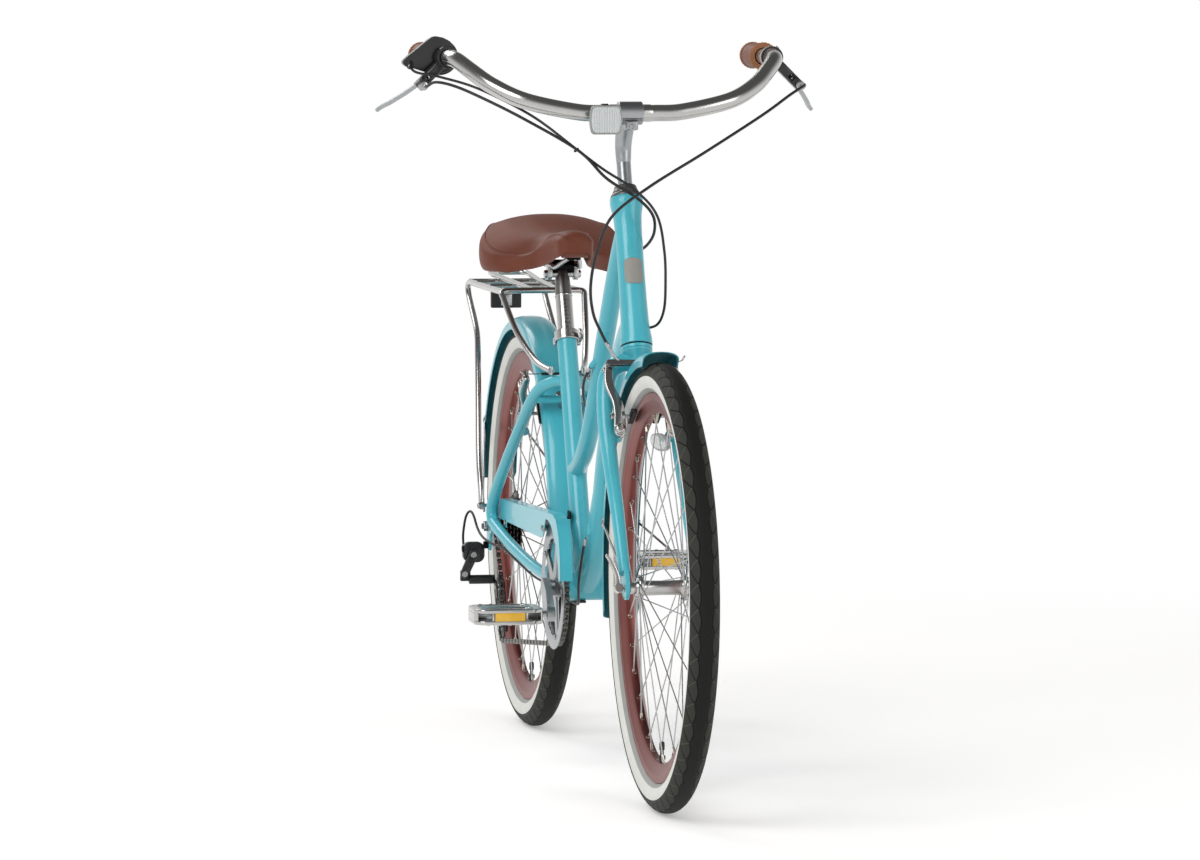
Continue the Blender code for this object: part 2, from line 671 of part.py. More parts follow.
def make_wheels():
    make_tyre("front_tyre", FRONT_AXLE, "front_wheel")
    make_rim("front_rim", FRONT_AXLE, "front_wheel")
    make_hub("front_hub_and_spokes", FRONT_AXLE, "front_wheel",
             (-0.0497, -0.0400, 0.0400, 0.0497), ((0.0305, 0.0365), (0.0305, 0.0365)))
    make_tyre("rear_tyre", REAR_AXLE, "rear_wheel")
    make_rim("rear_rim", REAR_AXLE, "rear_wheel")
    make_hub("rear_hub_and_spokes", REAR_AXLE, "rear_wheel",
             (-0.0672, -0.0620, 0.0450, 0.0672), ((0.0177, 0.0237), (0.0315, 0.0375)))
    # it stands between the left and right spokes
    oval = [(1.0950 + 0.0610 * math.cos(a), 0.5425 + 0.0125 * math.sin(a))
            for a in (i * math.pi / 8 for i in range(16))]
    piece("wheel_reflector", side_plate(oval, 0.0070, 0), "clear_lens", "front_wheel")


def make_axles():
    rear = [(0, -0.0830), (0.0048, -0.0830), (0.0048, -0.0805), (0.0088, -0.0805),
            (0.0088, -0.0729), (0.0048, -0.0729), (0.0048, 0.0729), (0.0088, 0.0729),
            (0.0088, 0.0805), (0.0048, 0.0805), (0.0048, 0.0830), (0, 0.0830)]
    piece("rear_axle", move(lathe(rear, 8), Matrix.Translation(REAR_AXLE) @ TO_Y),
          "alloy", "root")
    front = [(0, -0.0568), (0.0048, -0.0568), (0.0048, 0.0568), (0.0090, 0.0568),
             (0.0090, 0.0620), (0.0060, 0.0665), (0, 0.0665)]
    piece("front_axle", move(lathe(front, 8), Matrix.Translation(FRONT_AXLE) @ TO_Y),
          "alloy", "steering")
    pivot = FRONT_AXLE + Vector((0, -0.0645, 0))
    blade_up = unit(-0.25, 0, 1)
    place = axes(pivot, blade_up, Vector((0, 1, 0)), blade_up.cross(Vector((0, 1, 0))))
    cam = rod((0, 0, -0.0065), (0, 0, 0.0065), 0.0068, 12)
    outline = [(0.000, 0.0050), (0.020, 0.0010), (0.044, -0.0090), (0.052, -0.0150),
               (0.049, -0.0180), (0.040, -0.0125), (0.018, -0.0045), (0.000, -0.0050)]
    blade = move(plate([outline], 0.009), Matrix.Translation((0, 0, -0.0045)))
    PLACES["front_quick_release"] = pivot
    piece("front_quick_release_lever", move(union(cam, blade), place), "alloy",
          "front_quick_release")


# Fenders with their wire stays

def fender_profile(half):
    """Closed section of the shell as (radius, y): crown outside, lips inward."""
    shape = [(FENDER_R - FENDER_DEPTH, half), (FENDER_R - 0.0130, half),
             (FENDER_R - 0.0055, half * 0.84), (FENDER_R, half * 0.30)]
    outer = shape + [(r, -y) for r, y in reversed(shape)]
    inner = [(r - (FENDER_WALL if abs(y) < half else 0), y - math.copysign(FENDER_WALL, y))
             for r, y in outer]
    return outer + inner[::-1]


def make_fenders():
    shell = arc_shell(fender_profile(FRONT_FENDER_HALF), *FRONT_FENDER_ARC, 11)
    move(shell, Matrix.Translation(FRONT_AXLE))
    for side in (1, -1):
        angle = math.radians(168)
        lip = FRONT_AXLE + Vector((0.330 * math.cos(angle), side * 0.0275,
                                   0.330 * math.sin(angle)))
        wire = tube([lip, Vector((1.0620, side * 0.0525, 0.3540)),
                     Vector((1.0735, side * 0.0535, 0.3440))], 0.0018, 6)
        union(shell, wire)
    mount = rod(HEAD_FOOT - HEAD_UP * 0.0395, HEAD_FOOT - HEAD_UP * 0.0545, 0.0050, 8)
    piece("front_fender", union(shell, mount), "turquoise_paint", "steering")
    shell = arc_shell(fender_profile(REAR_FENDER_HALF), *REAR_FENDER_ARC, 17)
    move(shell, Matrix.Translation(REAR_AXLE))
    for side in (1, -1):
        angle = math.radians(152)
        lip = REAR_AXLE + Vector((0.330 * math.cos(angle), side * 0.0295,
                                  0.330 * math.sin(angle)))
        wire = tube([lip, Vector((-0.040, side * 0.0740, 0.3800)),
                     Vector((-0.0170, side * 0.0760, 0.3560))], 0.0018, 6)
        union(shell, wire)
    out = unit(0.787, 0, 0.617)
    union(shell, rod(REAR_AXLE + out * 0.3435, REAR_AXLE + out * 0.3615, 0.0045, 8))
    piece("rear_fender", shell, "turquoise_paint", "root")


# Rack and rear reflector

def make_rack():
    shapes = []
    for side in (1, -1):
        rail = [(0.108, 0.067, 0.720), (0.000, 0.0665, 0.7205), (-0.140, 0.066, 0.7215),
                (-0.225, 0.065, 0.722), (-0.246, 0.065, 0.714), (-0.238, 0.065, 0.700),
                (-0.205, 0.0652, 0.678), (-0.148, 0.066, 0.640), (-0.116, 0.070, 0.600),
                (-0.075, 0.076, 0.525), (-0.034, 0.082, 0.440), (-0.008, 0.083, 0.392),
                (0.000, 0.083, 0.363)]
        shapes.append(tube(flow([(x, side * y, z) for x, y, z in rail], 15), 0.005, 6))
        shapes.append(rod((0, side * 0.0830, 0.3640), (0, side * 0.0731, 0.3640), 0.0034, 6))
    hoop = [(0.338, 0.0265, 0.6045), (0.328, 0.0270, 0.6045), (0.270, 0.040, 0.6170),
            (0.190, 0.056, 0.657), (0.124, 0.0662, 0.7075), (0.108, 0.0670, 0.7190)]
    half = [(x, y, z) for x, y, z in hoop]
    route = half + [(0.108, 0.050, 0.722), (0.108, -0.050, 0.722)]
    route += [(x, -y, z) for x, y, z in reversed(half)]
    shapes.append(tube(flow(route, 22), 0.005, 6))
    loop = [(0.110, 0.021, 0.7245), (-0.050, 0.0245, 0.730), (-0.200, 0.031, 0.7365),
            (-0.224, 0.027, 0.738), (-0.228, 0.012, 0.738)]
    route = loop + [(x, -y, z) for x, y, z in reversed(loop)]
    shapes.append(tube(flow(route, 13), 0.0045, 6))
    for x, z, reach in ((-0.232, 0.7235, 0.066), (-0.150, 0.7245, 0.066),
                        (-0.020, 0.7240, 0.066)):
        shapes.append(rod((x, -reach, z), (x, reach, z), 0.0040, 6))
    rack = shapes[0]
    for shape in shapes[1:]:
        union(rack, shape)
    piece("rear_rack", rack, "alloy", "root")
    lens = block((0.010, 0.052, 0.030), (-0.2490, 0, 0.6920), 0.003)
    arm = block((0.010, 0.022, 0.0175), (-0.2400, 0, 0.7095), 0.002)
    piece("rear_reflector", union(lens, arm), "red_lens", "root")


# Seat tube collar, post, clamp and saddle

# Saddle sections from back to front: X, half width, height of the crown, the seam where
# the top meets the skirt (distance out and height) and the skirt's lower edge.
SADDLE = [
    (0.132, 0.062, 0.838, 0.050, 0.8310, 0.796), (0.140, 0.090, 0.845, 0.078, 0.8330, 0.780),
    (0.155, 0.108, 0.848, 0.095, 0.8300, 0.768), (0.180, 0.117, 0.845, 0.107, 0.8160, 0.760),
    (0.210, 0.116, 0.838, 0.106, 0.8010, 0.758), (0.235, 0.106, 0.831, 0.095, 0.7930, 0.758),
    (0.255, 0.090, 0.826, 0.078, 0.7895, 0.760), (0.272, 0.070, 0.823, 0.058, 0.7905, 0.764),
    (0.288, 0.054, 0.822, 0.042, 0.7975, 0.767), (0.305, 0.042, 0.8225, 0.034, 0.8090, 0.773),
    (0.330, 0.035, 0.825, 0.030, 0.8160, 0.780), (0.360, 0.032, 0.8275, 0.0285, 0.8200, 0.785),
    (0.385, 0.031, 0.8285, 0.0280, 0.8215, 0.7885), (0.400, 0.029, 0.827, 0.0260, 0.8200, 0.789),
    (0.4115, 0.021, 0.8205, 0.0185, 0.8150, 0.792),
]


def make_saddle():
    rings = []
    for x, half, top, seam_y, seam_z, low in SADDLE:
        base = min(0.8005, low + 0.045) if half > 0.03 else low
        fall = top - seam_z
        skirt = seam_z - low
        right = [(0.30 * seam_y, top - 0.06 * fall), (0.62 * seam_y, top - 0.34 * fall),
                 (0.86 * seam_y, top - 0.76 * fall), (seam_y, seam_z),
                 (0.985 * half, seam_z - 0.24 * skirt), (half, seam_z - 0.52 * skirt),
                 (0.95 * half, low), (0.84 * half, low + 0.004),
                 (0.70 * half, low + 0.45 * (base - low)),
                 (0.52 * half, base)]
        ring = [(x, 0, top)] + [(x, y, z) for y, z in right] + [(x, 0, base)]
        ring += [(x, -y, z) for y, z in reversed(right)]
        rings.append(ring)
    piece("saddle", loft(rings), "brown_leather", "seat_height", 60)


def make_seat():
    low = SEAT_TOP - 0.125
    PLACES["seat_height"] = SEAT @ Vector((0, 0, SEAT_TOP))
    top = 0.517
    profile = [(0, low), (POST_R, low), (POST_R, top - 0.016), (0.0150, top - 0.014),
               (0.0150, top), (0, top)]
    piece("seatpost", move(lathe(profile, 18), SEAT), "alloy", "seat_height")
    head = SEAT @ Vector((0, 0, top))
    barrel = rod((head.x, -0.0265, head.z + 0.0190), (head.x, 0.0265, head.z + 0.0190),
                 0.0115, 12)
    clamp = [barrel]
    for side in (1, -1):
        rail = [(0.388, 0.008, 0.7850), (0.372, 0.012, 0.7800), (0.335, 0.0200, 0.7690),
                (0.310, 0.0215, head.z + 0.0195), (0.250, 0.0220, head.z + 0.0195),
                (0.225, 0.0270, 0.7760), (0.205, 0.034, 0.7890), (0.192, 0.036, 0.7955)]
        clamp.append(tube(flow([(x, side * y, z) for x, y, z in rail], 10), 0.0035, 6))
    clamp.append(block((0.012, 0.020, 0.005), (0.3870, 0, 0.7845)))
    clamp.append(block((0.012, 0.084, 0.004), (0.196, 0, 0.7940)))
    rails = clamp[0]
    for shape in clamp[1:]:
        union(rails, shape)
    piece("saddle_rails", rails, "black_steel", "seat_height")
    ring = lathe([(SEAT_TUBE_R + GAP, SEAT_TOP - 0.014), (0.0192, SEAT_TOP - 0.014),
                  (0.0192, SEAT_TOP + 0.002), (SEAT_TUBE_R + GAP, SEAT_TOP + 0.002)], 18)
    mid = SEAT_TOP - 0.006
    ears = block((0.014, 0.022, 0.012), (-0.0230, 0, mid))
    bolt = rod((-0.0240, -0.0150, mid), (-0.0240, 0.0128, mid), 0.0035, 8)
    nut = rod((-0.0240, -0.0170, mid), (-0.0240, -0.0110, mid), 0.0062, 8)
    collar = union(ring, ears)
    cut(collar, block((0.020, 0.0020, 0.020), (-0.0265, 0, mid)))
    union(collar, bolt, nut)
    piece("seat_collar", move(collar, SEAT), "alloy", "root")
    pivot = Vector((-0.0240, 0.0200, mid))
    cam = move(rod((0, 0, -0.006), (0, 0, 0.006), 0.0066, 12), Matrix.Translation(pivot))
    outline = [(-0.0240, 0.0160), (-0.0100, 0.0205), (0.0100, 0.0215), (0.0240, 0.0150),
               (0.0270, 0.0165), (0.0230, 0.0215), (0.0100, 0.0265), (-0.0100, 0.0265),
               (-0.0240, 0.0250)]
    blade = move(plate([outline], 0.008), Matrix.Translation((0, 0, mid - 0.004)))
    PLACES["seat_lever"] = SEAT @ pivot
    piece("seat_quick_release_lever", move(union(cam, blade), SEAT), "alloy", "seat_lever")


# Chain guard, cranks and pedals

GUARD_Y = -0.0605


def make_guard():
    arc = circle(BB.x, BB.z, 0.106, 8, math.radians(10), math.radians(86))
    outline = [(0.014, 0.346), (0.014, 0.372), (0.050, 0.379), (0.300, 0.386), (0.500, 0.392),
               (0.545, 0.391), (0.575, 0.380), (0.594, 0.358), (0.605, 0.325), (0.607, 0.293)]
    outline += arc + [(0.455, 0.352), (0.430, 0.347)]
    guard = side_plate(outline, 0.0014, GUARD_Y)
    path = flow([(0.020, 0.3737), (0.050, 0.379), (0.300, 0.386), (0.500, 0.392),
                 (0.545, 0.391), (0.575, 0.380), (0.594, 0.358), (0.605, 0.325),
                 (0.607, 0.294)], 14)
    rings = []
    for i, point in enumerate(path):
        ahead = path[min(i + 1, len(path) - 1)] - path[max(i - 1, 0)]
        across = Vector((ahead.y, -ahead.x)).normalized() * 0.0014
        near = (point.x, point.y)
        far = (point.x + across.x, point.y + across.y)
        rings.append([(near[0], GUARD_Y, near[1]), (near[0], GUARD_Y + 0.019, near[1]),
                      (far[0], GUARD_Y + 0.019, far[1]), (far[0], GUARD_Y, far[1])])
    tab = block((0.016, 0.0012, 0.014), (0.104, GUARD_Y, 0.3430))
    arm = block((0.022, 0.0430, 0.002), (0.452, -0.0392, 0.3795))
    post = block((0.022, 0.002, 0.012), (0.452, -0.0190, 0.3850))
    guard = union(guard, loft(rings), tab, arm, post)
    piece("chain_guard", guard, "turquoise_paint", "root")


def toothed(teeth, phase, root_drop=0.0047, tip_rise=0.0030):
    """Outline of a sprocket whose first roller sits at the phase angle."""
    pitch_r = PITCH / (2 * math.sin(math.pi / teeth))
    low = pitch_r - root_drop
    points = []
    for i in range(teeth):
        middle = phase + (i + 0.5) * 2 * math.pi / teeth
        lean = 0.0017 / low
        points += [(low * math.cos(middle - lean), low * math.sin(middle - lean)),
                   ((pitch_r + tip_rise) * math.cos(middle),
                    (pitch_r + tip_rise) * math.sin(middle)),
                   (low * math.cos(middle + lean), low * math.sin(middle + lean))]
    return points


def shift_outline(outline, x, z):
    return [(px + x, pz + z) for px, pz in outline]


def pitch_radius(teeth):
    return PITCH / (2 * math.sin(math.pi / teeth))


def chain_route(cage_angle):
    """Arcs and runs of the chain: count of pitches, and the place at each pitch."""
    lower = (UPPER_PULLEY[0] + CAGE_LENGTH * math.sin(cage_angle),
             UPPER_PULLEY[1] - CAGE_LENGTH * math.cos(cage_angle))
    wheels = [((0.0, AXLE_Z), COGS[0], -1, COG_Y), ((BB.x, BB.z), RING_TEETH, -1, RING_Y),
              (lower, PULLEY_TEETH, -1, COG_Y), (UPPER_PULLEY, PULLEY_TEETH, 1, COG_Y)]
    runs = []
    for i, (centre, teeth, turn, _) in enumerate(wheels):
        other, other_teeth, other_turn, _ = wheels[(i + 1) % 4]
        dx, dz = other[0] - centre[0], other[1] - centre[1]
        length = math.hypot(dx, dz)
        offset = other_turn * pitch_radius(other_teeth) - turn * pitch_radius(teeth)
        heading = math.atan2(dz, dx) - math.asin(offset / length)
        runs.append((heading, math.sqrt(length * length - offset * offset)))
    steps = []
    total = 0.0
    for i, (centre, teeth, turn, y) in enumerate(wheels):
        arrive, leave = runs[i - 1][0], runs[i][0]
        sweep = (leave - arrive) * turn % (2 * math.pi)
        share = sweep * teeth / (2 * math.pi)
        start = arrive - turn * math.pi / 2
        steps.append(("arc", total, share, centre, teeth, turn, y, start))
        total += share
        radius = pitch_radius(teeth)
        angle = leave - turn * math.pi / 2
        place = (centre[0] + radius * math.cos(angle), centre[1] + radius * math.sin(angle))
        steps.append(("run", total, runs[i][1] / PITCH, place, leave, y, wheels[(i + 1) % 4][3]))
        total += runs[i][1] / PITCH
    return steps, total, lower


def chain_point(steps, at):
    """Place on the chain's centre line after a number of pitches."""
    for step in steps:
        if at <= step[1] + step[2] + 1e-9:
            gone = at - step[1]
            if step[0] == "arc":
                centre, teeth, turn, y, start = step[3:]
                angle = start + turn * gone * 2 * math.pi / teeth
                radius = pitch_radius(teeth)
                return Vector((centre[0] + radius * math.cos(angle), y,
                               centre[1] + radius * math.sin(angle)))
            place, heading, y_from, y_to = step[3:]
            share = gone / step[2]
            return Vector((place[0] + gone * PITCH * math.cos(heading),
                           y_from + (y_to - y_from) * share,
                           place[1] + gone * PITCH * math.sin(heading)))
    return chain_point(steps, 0.0)


def fit_chain():
    """Cage angle at which the chain closes on a whole, even count of links."""
    low, high = math.radians(-5), math.radians(60)
    goal = 2 * round(chain_route(math.radians(22))[1] / 2)
    for _ in range(60):
        middle = (low + high) / 2
        if (chain_route(middle)[1] - goal) * (chain_route(low)[1] - goal) > 0:
            low = middle
        else:
            high = middle
    steps, _, lower = chain_route(low)
    return steps, goal, lower


CHAIN, LINKS, LOWER_PULLEY = fit_chain()


def first_roller(index):
    """Angle of a roller on the arc of one wheel, counted in the order of the route."""
    step = CHAIN[2 * index]
    centre = step[3]
    pin = chain_point(CHAIN, math.ceil(step[1] + 1e-6))
    return math.atan2(pin.z - centre[1], pin.x - centre[0])


def make_chain():
    """Links: open round the pins where a sprocket engages, plain boxes on the runs."""
    bm = bmesh.new()
    half_block, high, inner, outer = 0.0030, 0.0040, 0.0017, 0.0034
    pins = [chain_point(CHAIN, i) for i in range(LINKS)]
    arcs = [step for step in CHAIN if step[0] == "arc"]
    rim = [0, 1, 3, 5, 7, 6, 4, 2]
    rows = []
    for i, pin in enumerate(pins):
        near = any(arc[1] - reach < at < arc[1] + arc[2] + reach
                   for arc, reach in zip(arcs, (2.3, 3.4, 2.3, 2.3))
                   for at in (i - LINKS, i, i + LINKS))
        ahead = pins[(i + 1) % LINKS] - pins[i - 1]
        ahead = Vector((ahead.x, 0, ahead.z)).normalized()
        normal = Vector((-ahead.z, 0, ahead.x))
        if near:
            rows.append([[bm.verts.new(pin + ahead * along + normal * up + Vector((0, y, 0)))
                          for y in (-outer, -inner, inner, outer) for up in (-high, high)]
                         for along in (-half_block, half_block)])
        else:
            wide = outer if i % 2 else 0.0028
            rows.append([[bm.verts.new(pin + normal * up + Vector((0, y, 0)))
                          for y, up in ((-wide, -high), (-wide, high), (wide, high),
                                        (wide, -high))]])
    for i in range(LINKS):
        back, front = rows[i][0], rows[i][-1]
        ahead = rows[(i + 1) % LINKS][0]
        if len(back) == 8:
            for k in range(8):
                a, b = rim[k], rim[(k + 1) % 8]
                bm.faces.new((back[a], back[b], front[b], front[a]))
        if len(front) == 8 and len(ahead) == 8:
            for a, b, c, d in ((0, 1, 3, 2), (4, 5, 7, 6)):
                for p, q in ((a, b), (b, c), (c, d), (d, a)):
                    bm.faces.new((front[p], front[q], ahead[q], ahead[p]))
            bm.faces.new((front[2], front[3], front[5], front[4]))
            bm.faces.new((ahead[2], ahead[3], ahead[5], ahead[4]))
            continue
        one = [[front[k]] for k in range(4)]
        two = [[ahead[k]] for k in range(4)]
        if len(front) == 8:
            one = [[front[0]], [front[1], front[3], front[5]], [front[7]],
                   [front[6], front[4], front[2]]]
        if len(ahead) == 8:
            two = [[ahead[0]], [ahead[1], ahead[3], ahead[5]], [ahead[7]],
                   [ahead[6], ahead[4], ahead[2]]]
        for k in range(4):
            after = (k + 1) % 4
            bm.faces.new([*one[k], one[after][0], two[after][0], *reversed(two[k])])
    piece("chain", from_bmesh(bm), "black_steel", "root", 30)


def make_freewheel():
    """Seven cogs on a body that turns round the hub's right end."""
    profile = [(0.0128, COG_Y - 0.0022), (0.0185, COG_Y - 0.0022)]
    body_r = [0.0215, 0.0245, 0.028, 0.032, 0.036, 0.040, 0.046]
    profile.append((0.0185, COG_Y + COG_STEP * 0.5))
    for i, teeth in enumerate(COGS[1:], 1):
        y = COG_Y + COG_STEP * i
        tip = pitch_radius(teeth) + 0.0022
        profile += [(body_r[i - 1], y - 0.0012), (tip, y - 0.0009), (tip, y + 0.0009)]
    profile.append((0.0128, COG_Y + COG_STEP * 6 + 0.0009))
    cogs = move(lathe(profile, 14), Matrix.Translation(REAR_AXLE) @ TO_Y)
    tooth = toothed(COGS[0], first_roller(0))
    first = side_plate(shift_outline(tooth, 0, AXLE_Z), 0.0018, COG_Y,
                       [circle(0, AXLE_Z, 0.0150, 12)])
    PLACES["freewheel"] = REAR_AXLE
    piece("freewheel", union(cogs, first), "dark_alloy", "freewheel", 30)


def make_cranks():
    ring = toothed(RING_TEETH, first_roller(1))
    holes = []
    for i in range(5):
        middle = math.radians(36 + 72 * i)
        outer_arc = circle(0, 0, 0.0745, 4, middle - 0.50, 1.00)
        inner_arc = circle(0, 0, 0.0260, 2, middle + 0.30, -0.60)
        holes.append(shift_outline(outer_arc + inner_arc, BB.x, BB.z))
    centre = circle(BB.x, BB.z, 0.0125, 14)
    plate_shape = side_plate(shift_outline(ring, BB.x, BB.z), 0.0013, RING_Y, [*holes, centre])
    guard = move(lathe([(0.0760, -0.0009), (0.0975, -0.0009), (0.0975, 0.0009),
                        (0.0760, 0.0009)], 26),
                 Matrix.Translation((BB.x, -0.0515, BB.z)) @ TO_Y)
    for i in range(5):
        angle = math.radians(72 * i)
        x = BB.x + 0.0790 * math.cos(angle)
        z = BB.z + 0.0790 * math.sin(angle)
        union(plate_shape, rod((x, -0.0442, z), (x, -0.0530, z), 0.0035, 6))
    union(plate_shape, guard)
    piece("chainring", plate_shape, "alloy", "crank", 30)
    for name, side, turn in (("right", -1, -CRANK_DROP), ("left", 1, math.pi - CRANK_DROP)):
        eye = (BB.x + CRANK_LENGTH * math.cos(turn), BB.z + CRANK_LENGTH * math.sin(turn))
        outline = bar_shape((BB.x, BB.z), eye, 0.0150, 0.0120, 8)
        arm = side_plate(outline, 0.0120, 0)
        for vert in arm.data.vertices:
            away = math.hypot(vert.co.x - BB.x, vert.co.z - BB.z) / CRANK_LENGTH
            vert.co.y = side * (0.0600 + 0.0250 * min(1.0, away)) + vert.co.y
        if side > 0:
            boss = rod((BB.x, 0.0380, BB.z), (BB.x, 0.0640, BB.z), 0.0130, 14)
            spindle = rod((BB.x, -0.0580, BB.z), (BB.x, 0.0500, BB.z), 0.0085, 12)
            union(arm, boss, spindle)
        else:
            union(arm, rod((BB.x, -0.0380, BB.z), (BB.x, -0.0640, BB.z), 0.0120, 14))
            cut(arm, rod((BB.x, -0.0300, BB.z), (BB.x, -0.0585, BB.z), 0.0088, 12))
        piece(f"{name}_crank", arm, "alloy", "crank", 50)
        make_pedal(name, side, eye)


def rounded(half_x, half_y, corner, count=3):
    """Outline of a rectangle with rounded corners."""
    points = []
    for cx, cy, start in ((1, 1, 0), (-1, 1, 90), (-1, -1, 180), (1, -1, 270)):
        points += circle(cx * (half_x - corner), cy * (half_y - corner), corner, count,
                         math.radians(start), math.radians(90))
    return points


def make_pedal(name, side, eye):
    middle = Vector((eye[0], side * PEDAL_Y, eye[1]))
    windows = [[(x + shift, y) for x, y in rounded(0.0130, 0.0330, 0.006, 2)]
               for shift in (-0.0245, 0.0245)]
    frame = plate([rounded(0.0450, 0.0535, 0.020, 4), *windows], 0.0240)
    move(frame, Matrix.Translation((0, 0, -0.0120)))
    barrel = rod((0, -0.0500, 0), (0, 0.0500, 0), 0.0115, 12)
    spindle = rod((0, -side * 0.0636, 0), (0, -side * 0.0400, 0), 0.0045, 8)
    washer = rod((0, -side * 0.0580, 0), (0, -side * 0.0520, 0), 0.0080, 12)
    pedal = union(frame, barrel, washer, spindle)
    PLACES[f"{name}_pedal"] = middle
    piece(f"{name}_pedal", move(pedal, Matrix.Translation(middle)), "alloy",
          f"{name}_pedal")


# Rim brakes

def make_arm(name, axle, u, t, pivot_y, side, holder_name):
    """One long brake arm with its pad; local X is outward, Y up the arm, Z the axis."""
    pivot = brake_place(axle, u, t, ARM_PIVOT_R, 0, side * pivot_y)
    place = axes(pivot, Vector((0, side, 0)), u, t)
    top_out = 0.0070
    outline = [(-0.0080, -0.0020), (-0.0055, -0.0075), (0.0040, -0.0085), (0.0085, -0.0020),
               (0.0080, 0.0200), (0.0095, 0.0600), (top_out + 0.0055, 0.1000),
               (top_out + 0.0050, ARM_RISE + 0.0040), (top_out - 0.0050, ARM_RISE + 0.0040),
               (top_out - 0.0055, 0.0980), (0.0000, 0.0600), (-0.0040, 0.0300)]
    arm = plate([outline], 2 * ARM_HALF)
    move(arm, Matrix.Translation((0, 0, -ARM_HALF)))
    hub = rod((0, 0, -HUB_HALF), (0, 0, HUB_HALF), 0.0085, 8)
    pad_in = pivot_y - 0.0140
    pad = block((0.0085, 0.0070, 0.0420), (-pad_in + 0.00425, 0.0225, 0))
    stud = rod((-pad_in + 0.004, 0.0225, 0), (0.0100, 0.0225, 0), 0.0032, 6)
    anchor = rod((top_out, ARM_RISE - 0.0065, 0.0), (top_out + 0.0095, ARM_RISE - 0.0065, 0.0),
                 0.0036, 6)
    union(arm, hub, stud, pad, anchor)
    cut(arm, rod((0, 0, -0.02), (0, 0, 0.02), 0.0045, 8))
    PLACES[holder_name] = pivot
    piece(name, move(arm, place), "black_steel", holder_name)


def make_brakes():
    for side, name in ((1, "left"), (-1, "right")):
        make_arm(f"front_{name}_brake_arm", FRONT_AXLE, FRONT_U, FRONT_T, FRONT_ARM_Y,
                 side, f"front_{name}_arm")
        make_arm(f"rear_{name}_brake_arm", REAR_AXLE, REAR_U, REAR_T, REAR_ARM_Y,
                 side, f"rear_{name}_arm")


# Rear derailleur

LINK_TOP = Vector((0.004, -0.098, 0.284))
LINK_LENGTH = 0.035
LINK_LEAN = math.radians(25)
LINK_END = LINK_TOP + Vector((0, -LINK_LENGTH * math.sin(LINK_LEAN),
                              -LINK_LENGTH * math.cos(LINK_LEAN)))


def make_derailleur():
    body = block((0.013, 0.036, 0.034), (-0.0075, -0.0960, 0.2870), 0.003)
    bolt = rod((0.0, -0.0790, 0.2990), (0.0, -0.0730, 0.2990), 0.0062, 10)
    pin = rod((-0.0050, LINK_TOP.y, LINK_TOP.z), (0.0100, LINK_TOP.y, LINK_TOP.z), 0.0030, 10)
    head = rod((0.0094, LINK_TOP.y, LINK_TOP.z), (0.0115, LINK_TOP.y, LINK_TOP.z), 0.0050, 10)
    piece("derailleur_knuckle", union(body, bolt, pin, head), "black_plastic", "root")
    outline = bar_shape((LINK_TOP.y, LINK_TOP.z), (LINK_END.y, LINK_END.z), 0.0080, 0.0070, 6)
    holes = [circle(LINK_TOP.y, LINK_TOP.z, 0.0034, 10), circle(LINK_END.y, LINK_END.z, 0.0034, 10)]
    link = plate([outline, *holes], 0.0076)
    stand = Matrix(((0, 0, 1, 0.0013), (1, 0, 0, 0), (0, 1, 0, 0), (0, 0, 0, 1)))
    PLACES["derailleur_link"] = LINK_TOP
    piece("derailleur_link", move(link, stand), "black_steel", "derailleur_link")
    x = CAGE_PIVOT.x
    barrel = rod((x, -0.1040, CAGE_PIVOT.z), (x, -0.0640, CAGE_PIVOT.z), 0.0075, 14)
    ear = block((0.0075, 0.0170, 0.0180), (-0.0048, LINK_END.y + 0.0030, LINK_END.z - 0.0040),
                0.002)
    pin = rod((-0.0050, LINK_END.y, LINK_END.z), (0.0100, LINK_END.y, LINK_END.z), 0.0030, 10)
    head = rod((0.0094, LINK_END.y, LINK_END.z), (0.0115, LINK_END.y, LINK_END.z), 0.0048, 10)
    PLACES["derailleur_lower"] = LINK_END
    piece("derailleur_lower_knuckle", union(barrel, ear, pin, head), "black_plastic",
          "derailleur_lower")
    upper = UPPER_PULLEY
    lower = LOWER_PULLEY
    outline = bar_shape(upper, lower, 0.0130, 0.0090, 7)
    cage = side_plate(outline, 0.0016, COG_Y - 0.0064)
    inner = side_plate(outline, 0.0016, COG_Y + 0.0064)
    union(cage, inner)
    hub = rod((x, COG_Y - 0.0058, CAGE_PIVOT.z), (x, COG_Y - 0.0072, CAGE_PIVOT.z), 0.0080, 10)
    union(cage, hub)
    for centre in (upper, lower):
        union(cage, rod((centre[0], COG_Y - 0.0082, centre[1]),
                        (centre[0], COG_Y + 0.0082, centre[1]), 0.0026, 8))
    PLACES["cage"] = Vector((x, COG_Y, CAGE_PIVOT.z))
    piece("derailleur_cage", cage, "black_steel", "cage")
    for name, index, centre in (("lower", 2, lower), ("upper", 3, upper)):
        tooth = toothed(PULLEY_TEETH, first_roller(index))
        pulley = side_plate(shift_outline(tooth, *centre), 0.0018, COG_Y,
                            [circle(*centre, 0.0032, 8)])
        place = Vector((centre[0], COG_Y, centre[1]))
        PLACES[f"{name}_pulley"] = place
        piece(f"{name}_pulley", pulley, "black_plastic", f"{name}_pulley", 30)


# Cables, each whole along its route

def cable(name, route, count, holder, radius=0.00225):
    piece(name, tube(flow(route, count), radius, 8), "cable_housing", holder, 60)


def barrel_end(side):
    """The first two places of a cable that leaves a lever's barrel."""
    place = bar_axes(side, 0.700)
    return [place @ Vector((BARREL_OUT, 0, -0.0312)), place @ Vector((BARREL_OUT, 0, -0.0500))]


